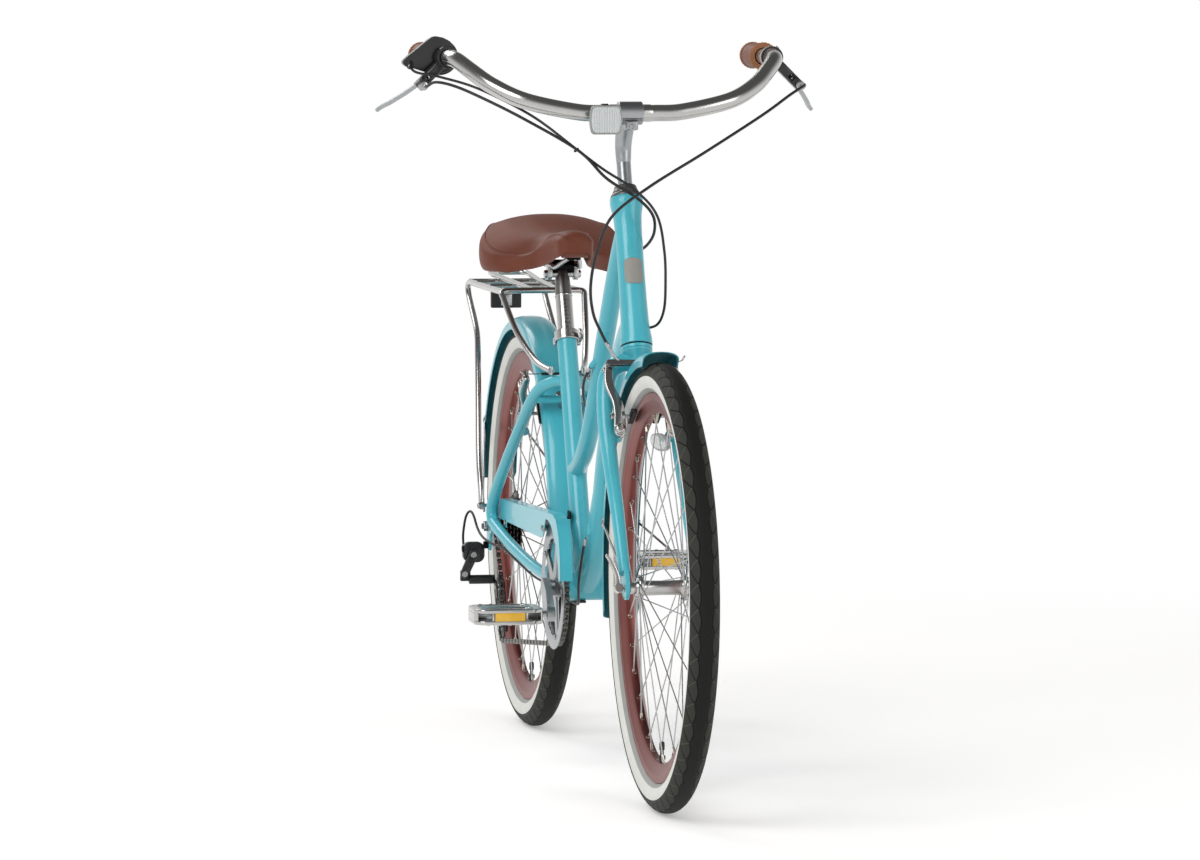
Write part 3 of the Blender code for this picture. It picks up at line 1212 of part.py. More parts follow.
def make_cables():
    start = barrel_end(1)
    crossing = brake_place(FRONT_AXLE, FRONT_U, FRONT_T, ARM_PIVOT_R + ARM_RISE - 0.001,
                           LINK_T, 0)
    cx, cz = crossing.x, crossing.z
    route = [*start, (0.783, 0.262, 1.046), (0.833, 0.208, 1.016), (0.885, 0.110, 0.962),
             (0.916, 0.020, 0.912), (0.928, -0.040, 0.868), (0.932, -0.064, 0.815),
             (0.933, -0.0735, 0.765), (0.938, -0.0710, 0.726), (0.943, -0.0615, 0.700),
             (cx, -0.0505, cz + 0.026), (cx, -0.0390, cz + 0.0080), (cx, -0.0270, cz),
             (cx, 0.000, cz), (cx, 0.056, cz), (cx - 0.002, 0.066, cz + 0.007)]
    cable("front_brake_cable", route, 36, "steering")
    start = barrel_end(-1)
    route = [*start, (0.775, -0.2810, 1.0660), (0.800, -0.2570, 1.0605),
             (0.830, -0.2211, 1.0437), (0.862, -0.1615, 1.0118), (0.892, -0.0845, 0.9649),
             (0.908, -0.045, 0.924), (0.902, 0.004, 0.893), (0.884, 0.030, 0.868),
             (0.860, 0.037, 0.842), (0.832, 0.032, 0.822), (0.806, 0.0190, 0.808)]
    cable("rear_brake_cable_front", route, 25, "steering")
    route = [(0.6758, -0.3050, 1.0942), (0.688, -0.3062, 1.0885), (0.706, -0.2985, 1.0800),
             (0.740, -0.2688, 1.0735), (0.790, -0.2160, 1.0553), (0.835, -0.1440, 1.0155),
             (0.882, -0.0870, 0.9680), (0.9035, -0.050, 0.938), (0.9075, 0.000, 0.905),
             (0.9070, 0.032, 0.868), (0.918, 0.041, 0.815), (0.927, 0.041, 0.765),
             (0.920, 0.040, 0.728), (0.899, 0.034, 0.705), (0.876, 0.0170, 0.697)]
    cable("shift_cable_front", route, 31, "steering", 0.0020)
    crossing = brake_place(REAR_AXLE, REAR_U, REAR_T, ARM_PIVOT_R + ARM_RISE - 0.001,
                           LINK_T, 0)
    cx, cz = crossing.x, crossing.z
    route = [(0.6280, -0.0178, 0.6260), (0.600, -0.0215, 0.6070), (0.570, -0.0185, 0.5870),
             (0.540, -0.0110, 0.5700), (0.500, 0.0000, 0.5570), (0.450, 0.0190, 0.5530),
             (0.400, 0.0400, 0.5570), (0.350, 0.0560, 0.5720), (0.305, 0.0665, 0.5940),
             (cx + 0.018, 0.071, cz + 0.014), (cx + 0.003, 0.063, cz + 0.003),
             (cx, 0.048, cz), (cx, 0.000, cz), (cx, -0.058, cz), (cx - 0.002, -0.068, cz + 0.006)]
    cable("rear_brake_cable_rear", route, 30, "root")
    route = [(0.5985, -0.0200, 0.3590), (0.588, -0.0240, 0.325), (0.562, -0.024, 0.283),
             (0.530, -0.018, 0.254), (0.487, -0.014, 0.2475), (0.440, -0.018, 0.2500),
             (0.400, -0.031, 0.2640), (0.300, -0.0465, 0.2725), (0.200, -0.058, 0.2890),
             (0.120, -0.0665, 0.302), (0.062, -0.0760, 0.306), (0.020, -0.0850, 0.3140),
             (-0.010, -0.0885, 0.3260), (-0.040, -0.0900, 0.3440), (-0.058, -0.0930, 0.3500),
             (-0.065, -0.0990, 0.3400), (-0.056, -0.1050, 0.3120), (-0.036, -0.1070, 0.2920),
             (-0.0150, -0.1070, 0.2850)]
    cable("shift_cable_rear", route, 40, "root", 0.0020)


for old in list(bpy.data.objects):
    bpy.data.objects.remove(old)

make_frame()
make_headset()
make_fork()
make_stem_and_bar()
make_grips()
make_levers()
make_shifter()
make_front_reflector()
make_wheels()
make_axles()
make_fenders()
make_rack()
make_seat()
make_saddle()
make_guard()
make_chain()
make_freewheel()
make_cranks()
make_brakes()
make_derailleur()
make_cables()
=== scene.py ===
from math import acos, asin, atan2, ceil, cos, dist, exp, hypot, pi, radians, sin, sqrt
import bpy
import bmesh
from mathutils import Vector, Matrix
from mathutils.bvhtree import BVHTree


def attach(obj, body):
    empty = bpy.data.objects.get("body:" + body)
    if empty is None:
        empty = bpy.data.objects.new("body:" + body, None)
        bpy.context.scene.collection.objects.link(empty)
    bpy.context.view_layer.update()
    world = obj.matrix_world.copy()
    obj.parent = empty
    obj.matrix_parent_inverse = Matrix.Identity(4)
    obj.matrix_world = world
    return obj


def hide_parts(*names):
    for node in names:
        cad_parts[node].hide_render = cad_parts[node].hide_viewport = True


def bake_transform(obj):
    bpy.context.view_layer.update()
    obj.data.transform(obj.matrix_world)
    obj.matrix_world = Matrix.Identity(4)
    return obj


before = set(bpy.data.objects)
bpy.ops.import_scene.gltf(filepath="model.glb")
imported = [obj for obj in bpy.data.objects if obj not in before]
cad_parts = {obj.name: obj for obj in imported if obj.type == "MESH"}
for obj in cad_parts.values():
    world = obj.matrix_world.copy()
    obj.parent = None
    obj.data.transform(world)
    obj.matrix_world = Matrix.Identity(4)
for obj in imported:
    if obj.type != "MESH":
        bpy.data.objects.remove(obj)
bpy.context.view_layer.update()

# Shapes are drawn with the rear axle at X 0 and moved here when they are finished.
frameShift = Vector((-0.5494, 0.0, 0.0))
axleHeight = 0.33
rearAxle = Vector((0.0, 0.0, axleHeight))
frontAxle = Vector((1.11, 0.0, axleHeight))
crankAxle = Vector((0.487, 0.0, 0.274))
headFoot = Vector((0.911, 0.0, 0.674))
headAngle = radians(69.3)
headUp = Vector((-cos(headAngle), 0.0, sin(headAngle)))
headFront = Vector((sin(headAngle), 0.0, cos(headAngle)))
headLength = 0.232
seatUp = Vector((-0.42, 0.0, 1.0)).normalized()
seatTop = (0.664 - 0.274) / seatUp.z
toY = Matrix.Rotation(radians(-90), 4, "X")


def mm(*points):
    # tables of places are written in millimetres
    return [tuple(value / 1000 for value in point) for point in points]


def at(place):
    return Matrix.Translation(place)


def aimed(direction):
    # the turn that points Z along a direction
    return Vector((0, 0, 1)).rotation_difference(Vector(direction)).to_matrix().to_4x4()


def axesAt(origin, xAxis, yAxis, zAxis):
    rows = Matrix((xAxis, yAxis, zAxis)).transposed().to_4x4()
    return at(origin) @ rows


headPlace = axesAt(headFoot, headFront, Vector((0, 1, 0)), headUp)
seatPlace = axesAt(crankAxle, Vector((seatUp.z, 0, -seatUp.x)), Vector((0, 1, 0)), seatUp)


# Materials

def linearColour(hexCode):
    parts = [int(hexCode[i:i + 2], 16) / 255 for i in (1, 3, 5)]
    return (*[p / 12.92 if p <= 0.04045 else ((p + 0.055) / 1.055) ** 2.4 for p in parts], 1.0)


def addNode(tree, kind, inputs, **settings):
    # inputs go by name or in order; a socket is linked, and the node's outputs come back
    node = tree.nodes.new("ShaderNode" + kind)
    for name, value in settings.items():
        setattr(node, name, value)
    for name, value in inputs.items() if isinstance(inputs, dict) else enumerate(inputs):
        if isinstance(value, bpy.types.NodeSocket):
            tree.links.new(value, node.inputs[name])
        else:
            node.inputs[name].default_value = value
    return node.outputs


materials = {}


def startMaterial(name, settings):
    materials[name] = bpy.data.materials.new(name)
    materials[name].use_nodes = True
    tree = materials[name].node_tree
    shader = tree.nodes["Principled BSDF"]
    for socket, value in settings.items():
        shader.inputs[socket].default_value = value
    return tree, shader, tree.nodes.new("ShaderNodeTexCoord").outputs["Object"]


def paintColour(tree, shader, factor, low, high):
    ramp = tree.nodes.new("ShaderNodeValToRGB")
    ramp.color_ramp.elements[0].color = linearColour(low)
    ramp.color_ramp.elements[1].color = linearColour(high)
    tree.links.new(factor, ramp.inputs["Fac"])
    tree.links.new(ramp.outputs["Color"], shader.inputs["Base Color"])
    return ramp


def bumpFrom(tree, shader, height, strength, distance):
    bump = addNode(tree, "Bump", {"Height": height, "Strength": strength, "Distance": distance})
    tree.links.new(bump["Normal"], shader.inputs["Normal"])


def roughnessFrom(tree, shader, factor, low, high):
    spread = addNode(tree, "MapRange", {"Value": factor, "To Min": low, "To Max": high})
    tree.links.new(spread["Result"], shader.inputs["Roughness"])


def enamelPaint(name, low, high, roughness):
    # wet enamel over steel: a clear coat, faint orange peel a few millimetres across
    tree, shader, coords = startMaterial(name, {"Coat Weight": 0.35, "Coat Roughness": 0.05,
        "IOR": 1.46, "Roughness": roughness})
    cloud = addNode(tree, "TexNoise", {"Vector": coords, "Scale": 7.0, "Detail": 3.0})["Fac"]
    paintColour(tree, shader, cloud, low, high)
    bumpFrom(tree, shader, addNode(tree, "TexNoise",
        {"Vector": coords, "Scale": 260.0, "Detail": 1.0})["Fac"], 0.05, 0.0004)
    roughnessFrom(tree, shader, cloud, roughness - 0.05, roughness + 0.06)


def metalFinish(name, low, high, roughness, grain, stretch=(1.0, 1.0, 1.0), depth=0.04):
    # worked metal: fine grain along the way it was drawn, brushed or polished
    tree, shader, coords = startMaterial(name, {"Metallic": 1.0, "Roughness": roughness})
    mapping = addNode(tree, "Mapping", {"Vector": coords, "Scale": stretch})
    fine = addNode(tree, "TexNoise", {"Vector": mapping["Vector"], "Scale": grain,
        "Detail": 4.0})["Fac"]
    paintColour(tree, shader, addNode(tree, "TexNoise",
        {"Vector": coords, "Scale": 22.0, "Detail": 3.0})["Fac"], low, high)
    roughnessFrom(tree, shader, fine, roughness * 0.85, roughness * 1.2)
    bumpFrom(tree, shader, fine, depth, 5e-05)


def mouldedPlastic(name, low, high, roughness, grain=900.0, depth=0.12, coat=0.0):
    # injection-moulded plastic: spark-eroded grain under a millimetre
    tree, shader, coords = startMaterial(name, {"IOR": 1.49, "Roughness": roughness,
        "Coat Weight": coat})
    broad = addNode(tree, "TexNoise", {"Vector": coords, "Scale": 30.0, "Detail": 2.0})["Fac"]
    paintColour(tree, shader, broad, low, high)
    roughnessFrom(tree, shader, broad, roughness - 0.06, roughness + 0.08)
    bumpFrom(tree, shader, addNode(tree, "TexNoise",
        {"Vector": coords, "Scale": grain, "Detail": 2.0})["Fac"], depth, 0.0003)


def grainLeather(name, low, high, roughness):
    # coated leather: pebbled grain about 1.2 mm across, with painted shade darkening its creases
    tree, shader, coords = startMaterial(name, {"IOR": 1.4, "Roughness": roughness})
    pebble = addNode(tree, "TexVoronoi", {"Vector": coords, "Scale": 820.0},
        feature="DISTANCE_TO_EDGE")
    cloud = addNode(tree, "TexNoise", {"Vector": coords, "Scale": 26.0, "Detail": 4.0})["Fac"]
    crease = addNode(tree, "Math", (pebble["Distance"], 1.6), operation="MULTIPLY")[0]
    crease = addNode(tree, "Math", (crease, 1.0), operation="MINIMUM")[0]
    # painted shade: the crease term darkens the colour towards each pebble's edge
    tone = addNode(tree, "Math", (addNode(tree, "Math", (crease, 0.35), operation="MULTIPLY")[0],
        addNode(tree, "Math", (cloud, 0.65), operation="MULTIPLY")[0]), operation="ADD")[0]
    paintColour(tree, shader, tone, low, high)
    roughnessFrom(tree, shader, cloud, roughness - 0.08, roughness + 0.1)
    bumpFrom(tree, shader, crease, 0.22, 0.0004)


def treadRubber(name, axleX, tread):
    # vulcanised rubber: a near-black middle band between two chains of leaf shapes, each
    # leaf bounded by a groove darkened with painted shade and with one pale edge that is a painted
    # highlight
    tree, shader, coords = startMaterial(name, {"IOR": 1.5, "Roughness": 0.72,
        "Specular IOR Level": 0.22})
    split = addNode(tree, "SeparateXYZ", {"Vector": coords})
    right = addNode(tree, "Math", (split["X"], axleX), operation="SUBTRACT")[0]
    up = addNode(tree, "Math", (split["Z"], axleHeight), operation="SUBTRACT")[0]
    turns = addNode(tree, "Math", (addNode(tree, "Math", (up, right), operation="ARCTAN2")[0],
        tread["leaves"] / (2 * pi)), operation="MULTIPLY")[0]
    turns = addNode(tree, "Math", (addNode(tree, "Math", (turns, float(tread["leaves"])),
        operation="ADD")[0],), operation="FRACT")[0]
    radius = addNode(tree, "Math", (addNode(tree, "Math",
        (addNode(tree, "Math", (right, right), operation="MULTIPLY")[0],
        addNode(tree, "Math", (up, up), operation="MULTIPLY")[0]), operation="ADD")[0],),
        operation="SQRT")[0]
    lowered = addNode(tree, "Math", (addNode(tree, "Math", (tread["crown"], radius),
        operation="SUBTRACT")[0], 0.0), operation="MAXIMUM")[0]
    girth = addNode(tree, "Math", (addNode(tree, "Math", (split["Y"],), operation="ABSOLUTE")[0],
        lowered), operation="ADD")[0]
    arch = addNode(tree, "Math", (addNode(tree, "Math", (turns, pi), operation="MULTIPLY")[0],),
        operation="SINE")[0]
    inner = addNode(tree, "Math", (tread["cusp"],
        addNode(tree, "Math", (arch, tread["bulge"]), operation="MULTIPLY")[0]),
        operation="SUBTRACT")[0]
    rise = addNode(tree, "Math", (turns, tread["peak"]), operation="DIVIDE")[0]
    fall = addNode(tree, "Math", (addNode(tree, "Math", (1.0, turns), operation="SUBTRACT")[0],
        1 - tread["peak"]), operation="DIVIDE")[0]
    slant = addNode(tree, "Math", (addNode(tree, "Math", (rise, fall), operation="MINIMUM")[0],
        tread["bend"]), operation="POWER")[0]
    outer = addNode(tree, "Math", (tread["cusp"],
        addNode(tree, "Math", (slant, tread["reach"]), operation="MULTIPLY")[0]),
        operation="ADD")[0]
    inside = addNode(tree, "Math", (girth, inner), operation="SUBTRACT")[0]
    beyond = addNode(tree, "Math", (addNode(tree, "Math", (girth, outer), operation="SUBTRACT")[0],
        0.75), operation="MULTIPLY")[0]
    climbing = addNode(tree, "Math", (turns, tread["peak"]), operation="LESS_THAN")[0]
    away = addNode(tree, "Math", (addNode(tree, "Math", (beyond,), operation="ABSOLUTE")[0],
        addNode(tree, "Math", (1.0, climbing), operation="SUBTRACT")[0]), operation="ADD")[0]
    near = addNode(tree, "Math", (addNode(tree, "Math", (inside,), operation="ABSOLUTE")[0], away),
        operation="MINIMUM")[0]
    groove = addNode(tree, "Math", (near, tread["grooveHalf"]), operation="LESS_THAN")[0]
    # painted highlight: a pale line along one edge of each leaf, added into the colour
    edge = addNode(tree, "Math", (addNode(tree, "Math", (1.0, climbing), operation="SUBTRACT")[0],
        addNode(tree, "Math", (addNode(tree, "Math", (beyond,), operation="ABSOLUTE")[0],
        tread["highlightHalf"]), operation="LESS_THAN")[0]), operation="MULTIPLY")[0]
    shoulder = addNode(tree, "Math", (inside, 0.0), operation="GREATER_THAN")[0]
    grit = addNode(tree, "TexNoise", {"Vector": coords, "Scale": 700.0, "Detail": 2.0})["Fac"]
    tone = addNode(tree, "Math", (shoulder, 0.2), operation="MULTIPLY")[0]
    tone = addNode(tree, "Math", (tone, addNode(tree, "Math", (grit, 0.12),
        operation="MULTIPLY")[0]), operation="ADD")[0]
    tone = addNode(tree, "Math", (tone, addNode(tree, "Math", (edge, 0.5),
        operation="MULTIPLY")[0]), operation="ADD")[0]
    # painted shade: the grooves are darkened in the colour as well as sunk in the bump
    tone = addNode(tree, "Math", (tone, addNode(tree, "Math", (groove, 0.6),
        operation="MULTIPLY")[0]), operation="SUBTRACT")[0]
    paintColour(tree, shader, tone, "#060706", "#66675E")
    height = addNode(tree, "Math", (addNode(tree, "Math", (grit, 0.06), operation="MULTIPLY")[0],
        groove), operation="SUBTRACT")[0]
    bumpFrom(tree, shader, height, 0.6, 0.001)


def reflectorLens(name, low, high, cell):
    # moulded acrylic: small corner prisms behind a clear face, about 2.5 mm apart
    tree, shader, coords = startMaterial(name, {"IOR": 1.49, "Roughness": 0.12, "Coat Weight": 0.8,
        "Coat Roughness": 0.04})
    prism = addNode(tree, "TexVoronoi", {"Vector": coords, "Scale": cell, "Randomness": 0.0},
        distance="CHEBYCHEV")
    paintColour(tree, shader, prism["Distance"], high, low)
    bumpFrom(tree, shader, prism["Distance"], 0.35, 0.0006)


enamelPaint("turquoiseEnamel", "#3FAFC0", "#56BFCD", 0.28)
# a darker copy of the turquoise enamel, used as painted shade on the fenders' insides
enamelPaint("darkTurquoiseEnamel", "#2F8E9C", "#3A9DAB", 0.42)
metalFinish("polishedAluminium", "#B2B1AF", "#C6C5C3", 0.2, 420.0, depth=0.01)
metalFinish("brushedAluminium", "#989B9D", "#ADB0B1", 0.34, 700.0, (1.0, 6.0, 1.0), 0.03)
metalFinish("drawnStainless", "#A0A0A1", "#B8B8BA", 0.22, 600.0, depth=0.01)
metalFinish("darkZincSteel", "#6E6D6C", "#8C8B89", 0.36, 700.0, depth=0.06)
metalFinish("satinBlackSteel", "#131314", "#1D1D1E", 0.42, 900.0, depth=0.08)
metalFinish("oiledChainSteel", "#4C4945", "#77736D", 0.34, 600.0, depth=0.1)
metalFinish("roseAnodisedAluminium", "#76433F", "#89514C", 0.38, 600.0, depth=0.04)
metalFinish("nickelledBrass", "#A9A49A", "#C4BFB2", 0.25, 700.0)
mouldedPlastic("blackNylon", "#0C0D0E", "#17181A", 0.46)
mouldedPlastic("glossBlackPlastic", "#0B0C0D", "#141516", 0.26, 500.0, 0.04, 0.3)
mouldedPlastic("greyPlastic", "#8D908D", "#A6A8A5", 0.38)
mouldedPlastic("warmGreyPlate", "#8E8B86", "#A19E98", 0.5)
mouldedPlastic("cableSleeve", "#0A0B0C", "#141516", 0.4, 1200.0, 0.06)
mouldedPlastic("whitewallRubber", "#DCDCD6", "#EDEDE8", 0.55, 700.0, 0.08)
# a real band next to the rim, given a grey tone that is painted shade
mouldedPlastic("greyBandRubber", "#9A9B99", "#AAABA8", 0.6, 700.0, 0.08)
mouldedPlastic("sidewallRubber", "#232423", "#343533", 0.66, 700.0, 0.12)
mouldedPlastic("amberThread", "#B07A3A", "#C48F4C", 0.6, 900.0, 0.2)
mouldedPlastic("brownThread", "#7E4A34", "#905A40", 0.62, 900.0, 0.2)
grainLeather("brownLeather", "#5E2B1B", "#82452F", 0.5)
grainLeather("paleBrownLeather", "#8A5A3C", "#A46F4A", 0.52)
reflectorLens("amberLens", "#D08A05", "#FFD02A", 300.0)
reflectorLens("clearLens", "#9EA3A4", "#E6E9EA", 360.0)
reflectorLens("greyLens", "#7D817E", "#BCC0BB", 360.0)
reflectorLens("redLens", "#6B0C10", "#B8151B", 360.0)
tyreTread = {"leaves": 58, "crown": 0.3285, "cusp": 0.014, "bulge": 0.0052, "reach": 0.0215,
    "peak": 0.6, "bend": 0.9, "grooveHalf": 0.001, "highlightHalf": 0.0007, "grooveDepth": 0.0016,
    "spread": 0.0011}
treadRubber("frontTreadRubber", frontAxle.x + frameShift.x, tyreTread)
treadRubber("rearTreadRubber", rearAxle.x + frameShift.x, tyreTread)
print("materials made", len(materials))


# Shapes

def newObject(name, data):
    obj = bpy.data.objects.new(name, data)
    bpy.context.collection.objects.link(obj)
    return obj


def curveBetween(a, b, c, d, t):
    # the smooth way from b to c, for places or numbers
    return 0.5 * (2 * b + (c - a) * t + (2 * a - 5 * b + 4 * c - d) * t * t
        + (3 * b - 3 * c + d - a) * t ** 3)


def smoothRoute(points, count, closed=False):
    # evenly spaced places on a smooth curve through the given ones
    places = [Vector(p) for p in points]
    if closed:
        places = [places[-1]] + places + [places[0], places[1]]
    else:
        places = [2 * places[0] - places[1]] + places + [2 * places[-1] - places[-2]]
    fine = []
    for a, b, c, d in zip(places, places[1:], places[2:], places[3:]):
        for k in range(24):
            fine.append(curveBetween(a, b, c, d, k / 24))
    fine.append(places[-2])
    run = [0.0]
    for a, b in zip(fine, fine[1:]):
        run.append(run[-1] + (b - a).length)
    route, k = [], 0
    for i in range(count):
        stop = run[-1] * i / (count - 1)
        while k < len(run) - 2 and run[k + 1] < stop:
            k += 1
        share = (stop - run[k]) / max(1e-09, run[k + 1] - run[k])
        route.append(fine[k].lerp(fine[k + 1], min(1.0, share)))
    return route


def sweep(points, radius, sides=16, closed=False, caps=True):
    # a round bar along points; radius is one number or one for each point
    radii = radius if isinstance(radius, (list, tuple)) else [radius] * len(points)
    curve = bpy.data.curves.new("guide", "CURVE")
    curve.dimensions = "3D"
    curve.bevel_depth = 1.0
    curve.bevel_resolution = (sides - 4) // 2
    curve.use_fill_caps = caps
    spline = curve.splines.new("POLY")
    spline.points.add(len(points) - 1)
    for point, place, size in zip(spline.points, points, radii):
        point.co = (*place, 1)
        point.radius = size
    spline.use_cyclic_u = closed
    guide = newObject("guide", curve)
    bpy.context.view_layer.update()
    graph = bpy.context.evaluated_depsgraph_get()
    mesh = bpy.data.meshes.new_from_object(guide.evaluated_get(graph))
    bpy.data.objects.remove(guide)
    bm = bmesh.new()
    bm.from_mesh(mesh)
    bpy.data.meshes.remove(mesh)
    bmesh.ops.remove_doubles(bm, verts=bm.verts, dist=1e-06)
    bmesh.ops.recalc_face_normals(bm, faces=bm.faces)
    return bm


def rod(start, end, radius, sides=16):
    return sweep([Vector(start), Vector(end)], radius, sides)


def spun(profile, steps=48, matrix=None, angle=2 * pi, start=0.0):
    # a profile of (radius, height) turned about Z; radius 0 at an end closes the shape
    bm = bmesh.new()
    verts = [bm.verts.new((r * cos(start), r * sin(start), z)) for r, z in profile]
    pairs = list(zip(verts, verts[1:]))
    if profile[0][0] > 0 or profile[-1][0] > 0:
        pairs.append((verts[-1], verts[0]))
    edges = [bm.edges.new(pair) for pair in pairs if max(v.co.xy.length for v in pair) > 1e-07]
    full = abs(angle - 2 * pi) < 1e-06
    bmesh.ops.spin(bm, geom=verts + edges, cent=(0, 0, 0), axis=(0, 0, 1), angle=angle,
        steps=steps, use_merge=full)
    if not full:
        loose = [edge for edge in bm.edges if len(edge.link_faces) == 1]
        bmesh.ops.holes_fill(bm, edges=loose, sides=0)
    bmesh.ops.remove_doubles(bm, verts=bm.verts, dist=1e-06)
    bmesh.ops.recalc_face_normals(bm, faces=bm.faces)
    return moved(bm, matrix) if matrix else bm


def spunY(profile, steps, centre):
    # the same about a line along Y
    return spun(profile, steps, at(centre) @ toY)


def collar(inner, outer, low, high, cutOut=0.0006, cutAlong=0.0008):
    # half the section of a ring or a pin, with its outer corners cut
    return [(inner, low), (outer - cutOut, low), (outer, low + cutAlong), (outer, high - cutAlong),
        (outer - cutOut, high), (inner, high)]


def raised(base, *points):
    # a half section in millimetres, with its heights measured from base
    return [(radius, base + height) for radius, height in mm(*points)]


def onWheel(radius, angle, y=0.0):
    # a place on a circle that is seen from the side
    return Vector((radius * cos(angle), y, radius * sin(angle)))


def smoothLoop(points, count):
    # a flat closed outline through the points
    return [(p.x, p.y) for p in smoothRoute([(x, y, 0) for x, y in points], count, True)[:-1]]


def loft(bm, rings):
    # a skin through rings of places; its rings of edges come back, for the ends
    loops = []
    for ring in rings:
        verts = [bm.verts.new(place) for place in ring]
        loops.append([bm.edges.new(pair) for pair in zip(verts, verts[1:] + verts[:1])])
    for first, second in zip(loops, loops[1:]):
        bmesh.ops.bridge_loops(bm, edges=first + second)
    return loops


def moved(bm, matrix):
    bmesh.ops.transform(bm, matrix=matrix, verts=bm.verts)
    if matrix.determinant() < 0:
        bmesh.ops.reverse_faces(bm, faces=bm.faces)
    return bm


def easedEdges(bm, width, segments=2, sharp=35.0):
    edges = [edge for edge in bm.edges if len(edge.link_faces) == 2
        and edge.calc_face_angle(0.0) > radians(sharp)]
    bmesh.ops.bevel(bm, geom=edges, offset=width, segments=segments, profile=0.5, affect="EDGES",
        material=-1, clamp_overlap=True)
    return bm


def plate(outline, thickness, holes=(), ease=0.0, matrix=None, segments=2):
    # an outline with its holes, pulled up from Z 0
    bm = bmesh.new()
    edges = []
    for loop in (outline, *holes):
        verts = [bm.verts.new((x, y, 0)) for x, y in loop]
        edges += [bm.edges.new(pair) for pair in zip(verts, verts[1:] + verts[:1])]
    bmesh.ops.triangle_fill(bm, edges=edges, use_beauty=True)
    grown = bmesh.ops.extrude_face_region(bm, geom=bm.faces[:])
    lifted = [v for v in grown["geom"] if isinstance(v, bmesh.types.BMVert)]
    bmesh.ops.translate(bm, verts=lifted, vec=(0, 0, thickness))
    bmesh.ops.recalc_face_normals(bm, faces=bm.faces)
    if ease:
        easedEdges(bm, ease, segments)
    return moved(bm, matrix) if matrix else bm


def sidePlate(outline, thickness, y, holes=(), ease=0.0, segments=2):
    # a plate drawn in X and Z, centred on Y
    stand = Matrix(((1, 0, 0, 0), (0, 0, -1, 0), (0, 1, 0, 0), (0, 0, 0, 1)))
    place = at((0, y, 0)) @ stand @ at((0, 0, -thickness / 2))
    return plate(outline, thickness, holes, ease, place, segments)


def ringPoints(cx, cy, radius, count, start=0.0, sweepAngle=2 * pi):
    whole = abs(abs(sweepAngle) - 2 * pi) < 1e-09
    steps = count if whole else count - 1
    return [(cx + radius * cos(start + sweepAngle * i / steps),
        cy + radius * sin(start + sweepAngle * i / steps)) for i in range(count)]


def easedBox(size, centre, ease, segments=3):
    bm = bmesh.new()
    bmesh.ops.create_cube(bm, size=1.0)
    bmesh.ops.scale(bm, vec=size, verts=bm.verts)
    bmesh.ops.translate(bm, vec=centre, verts=bm.verts)
    bmesh.ops.bevel(bm, geom=bm.edges[:], offset=ease, segments=segments, profile=0.5,
        affect="EDGES", material=-1)
    return bm


def copied(bm, matrix):
    return moved(bm.copy(), matrix)


def mirroredCopy(bm):
    return copied(bm, Matrix.Scale(-1, 4, Vector((0, 1, 0))))


def together(shapes):
    whole = bmesh.new()
    for bm in shapes:
        mesh = bpy.data.meshes.new("part")
        bm.to_mesh(mesh)
        bm.free()
        whole.from_mesh(mesh)
        bpy.data.meshes.remove(mesh)
    return whole


def boltHead(place, direction, radius, height, socket=True):
    # a domed head with its hexagon socket, standing on a place
    recess = height * 0.55
    profile = [(0, height)]
    if socket:
        profile = [(0, height - recess), (radius * 0.5, height - recess), (radius * 0.52, height)]
    profile += [(radius * 0.8, height), (radius * 0.96, height * 0.8), (radius, height * 0.45),
        (radius, 0), (0, 0)]
    return spun(profile, 18, at(place) @ aimed(direction))


finished = []


def finishPiece(name, shapes, body, nodes, sharp=35.0):
    # one mesh of all the shapes, each with its own material, in the row frame
    names = []
    for bm, finish in shapes:
        finishes = (finish,) if isinstance(finish, str) else finish
        names += [item for item in finishes if item not in names]
        for face in bm.faces:
            finish = finishes[min(face.material_index, len(finishes) - 1)]
            face.material_index = names.index(finish)
    whole = together([bm for bm, finish in shapes])
    bmesh.ops.translate(whole, vec=frameShift, verts=whole.verts)
    mesh = bpy.data.meshes.new(name)
    whole.to_mesh(mesh)
    whole.free()
    for item in names:
        mesh.materials.append(materials[item])
    mesh.shade_smooth()
    mesh.set_sharp_from_angle(angle=radians(sharp))
    obj = newObject(name, mesh)
    if isinstance(body, tuple):
        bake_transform(obj)
    else:
        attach(obj, body)
    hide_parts(*nodes)
    finished.append(name)
    return obj


# Frame

framework = {"topTube": mm((842, 860), (775, 803), (700, 720), (630, 637), (580, 573), (530, 520),
        (480, 482), (414, 452)),
    "downTube": mm((893, 722), (800, 665), (715, 575), (655, 490), (610, 400), (560, 328),
        (490, 276)),
    "stay": mm((487, 12, 274), (400, 31, 279), (300, 46.5, 288), (170, 61, 311), (80, 69.5, 332),
        (42, 72.5, 347), (52, 71.5, 380), (130, 62, 450), (220, 51.5, 519), (272, 45.5, 556),
        (306, 36, 577), (335, 18, 588), (352, 4, 590)),
    "topRadius": 0.0143, "downRadius": 0.019, "seatRadius": 0.0157, "stayRadius": 0.0095,
    "weldLength": 0.014, "weldRise": 0.0016}


def weldedTube(route, radius, sides, ends=True):
    # the tube swells into its weld over the last few millimetres
    run = [0.0]
    for a, b in zip(route, route[1:]):
        run.append(run[-1] + (b - a).length)
    radii = []
    for gone in run:
        near = min(gone, run[-1] - gone) if ends else gone
        share = max(0.0, 1.0 - near / framework["weldLength"])
        radii.append(radius + framework["weldRise"] * share * share)
    return sweep(route, radii, sides)


frontBrake = {"up": Vector((-0.4781, 0, 0.8783)), "ahead": Vector((0.8783, 0, 0.4781)),
    "stud": -0.0258, "armY": 0.04, "axle": frontAxle, "noodleSide": -1}
rearBrake = {"up": Vector((0.7013, 0, 0.7129)), "ahead": Vector((-0.7129, 0, 0.7013)),
    "stud": -0.0194, "armY": 0.045, "axle": rearAxle, "noodleSide": 1}
armShape = {"pivotRadius": 0.2545, "rise": 0.107, "half": 0.005, "hubHalf": 0.0069}


def brakePlace(brake, radius, offset, y):
    return brake["axle"] + brake["up"] * radius + brake["ahead"] * offset + Vector((0, y, 0))


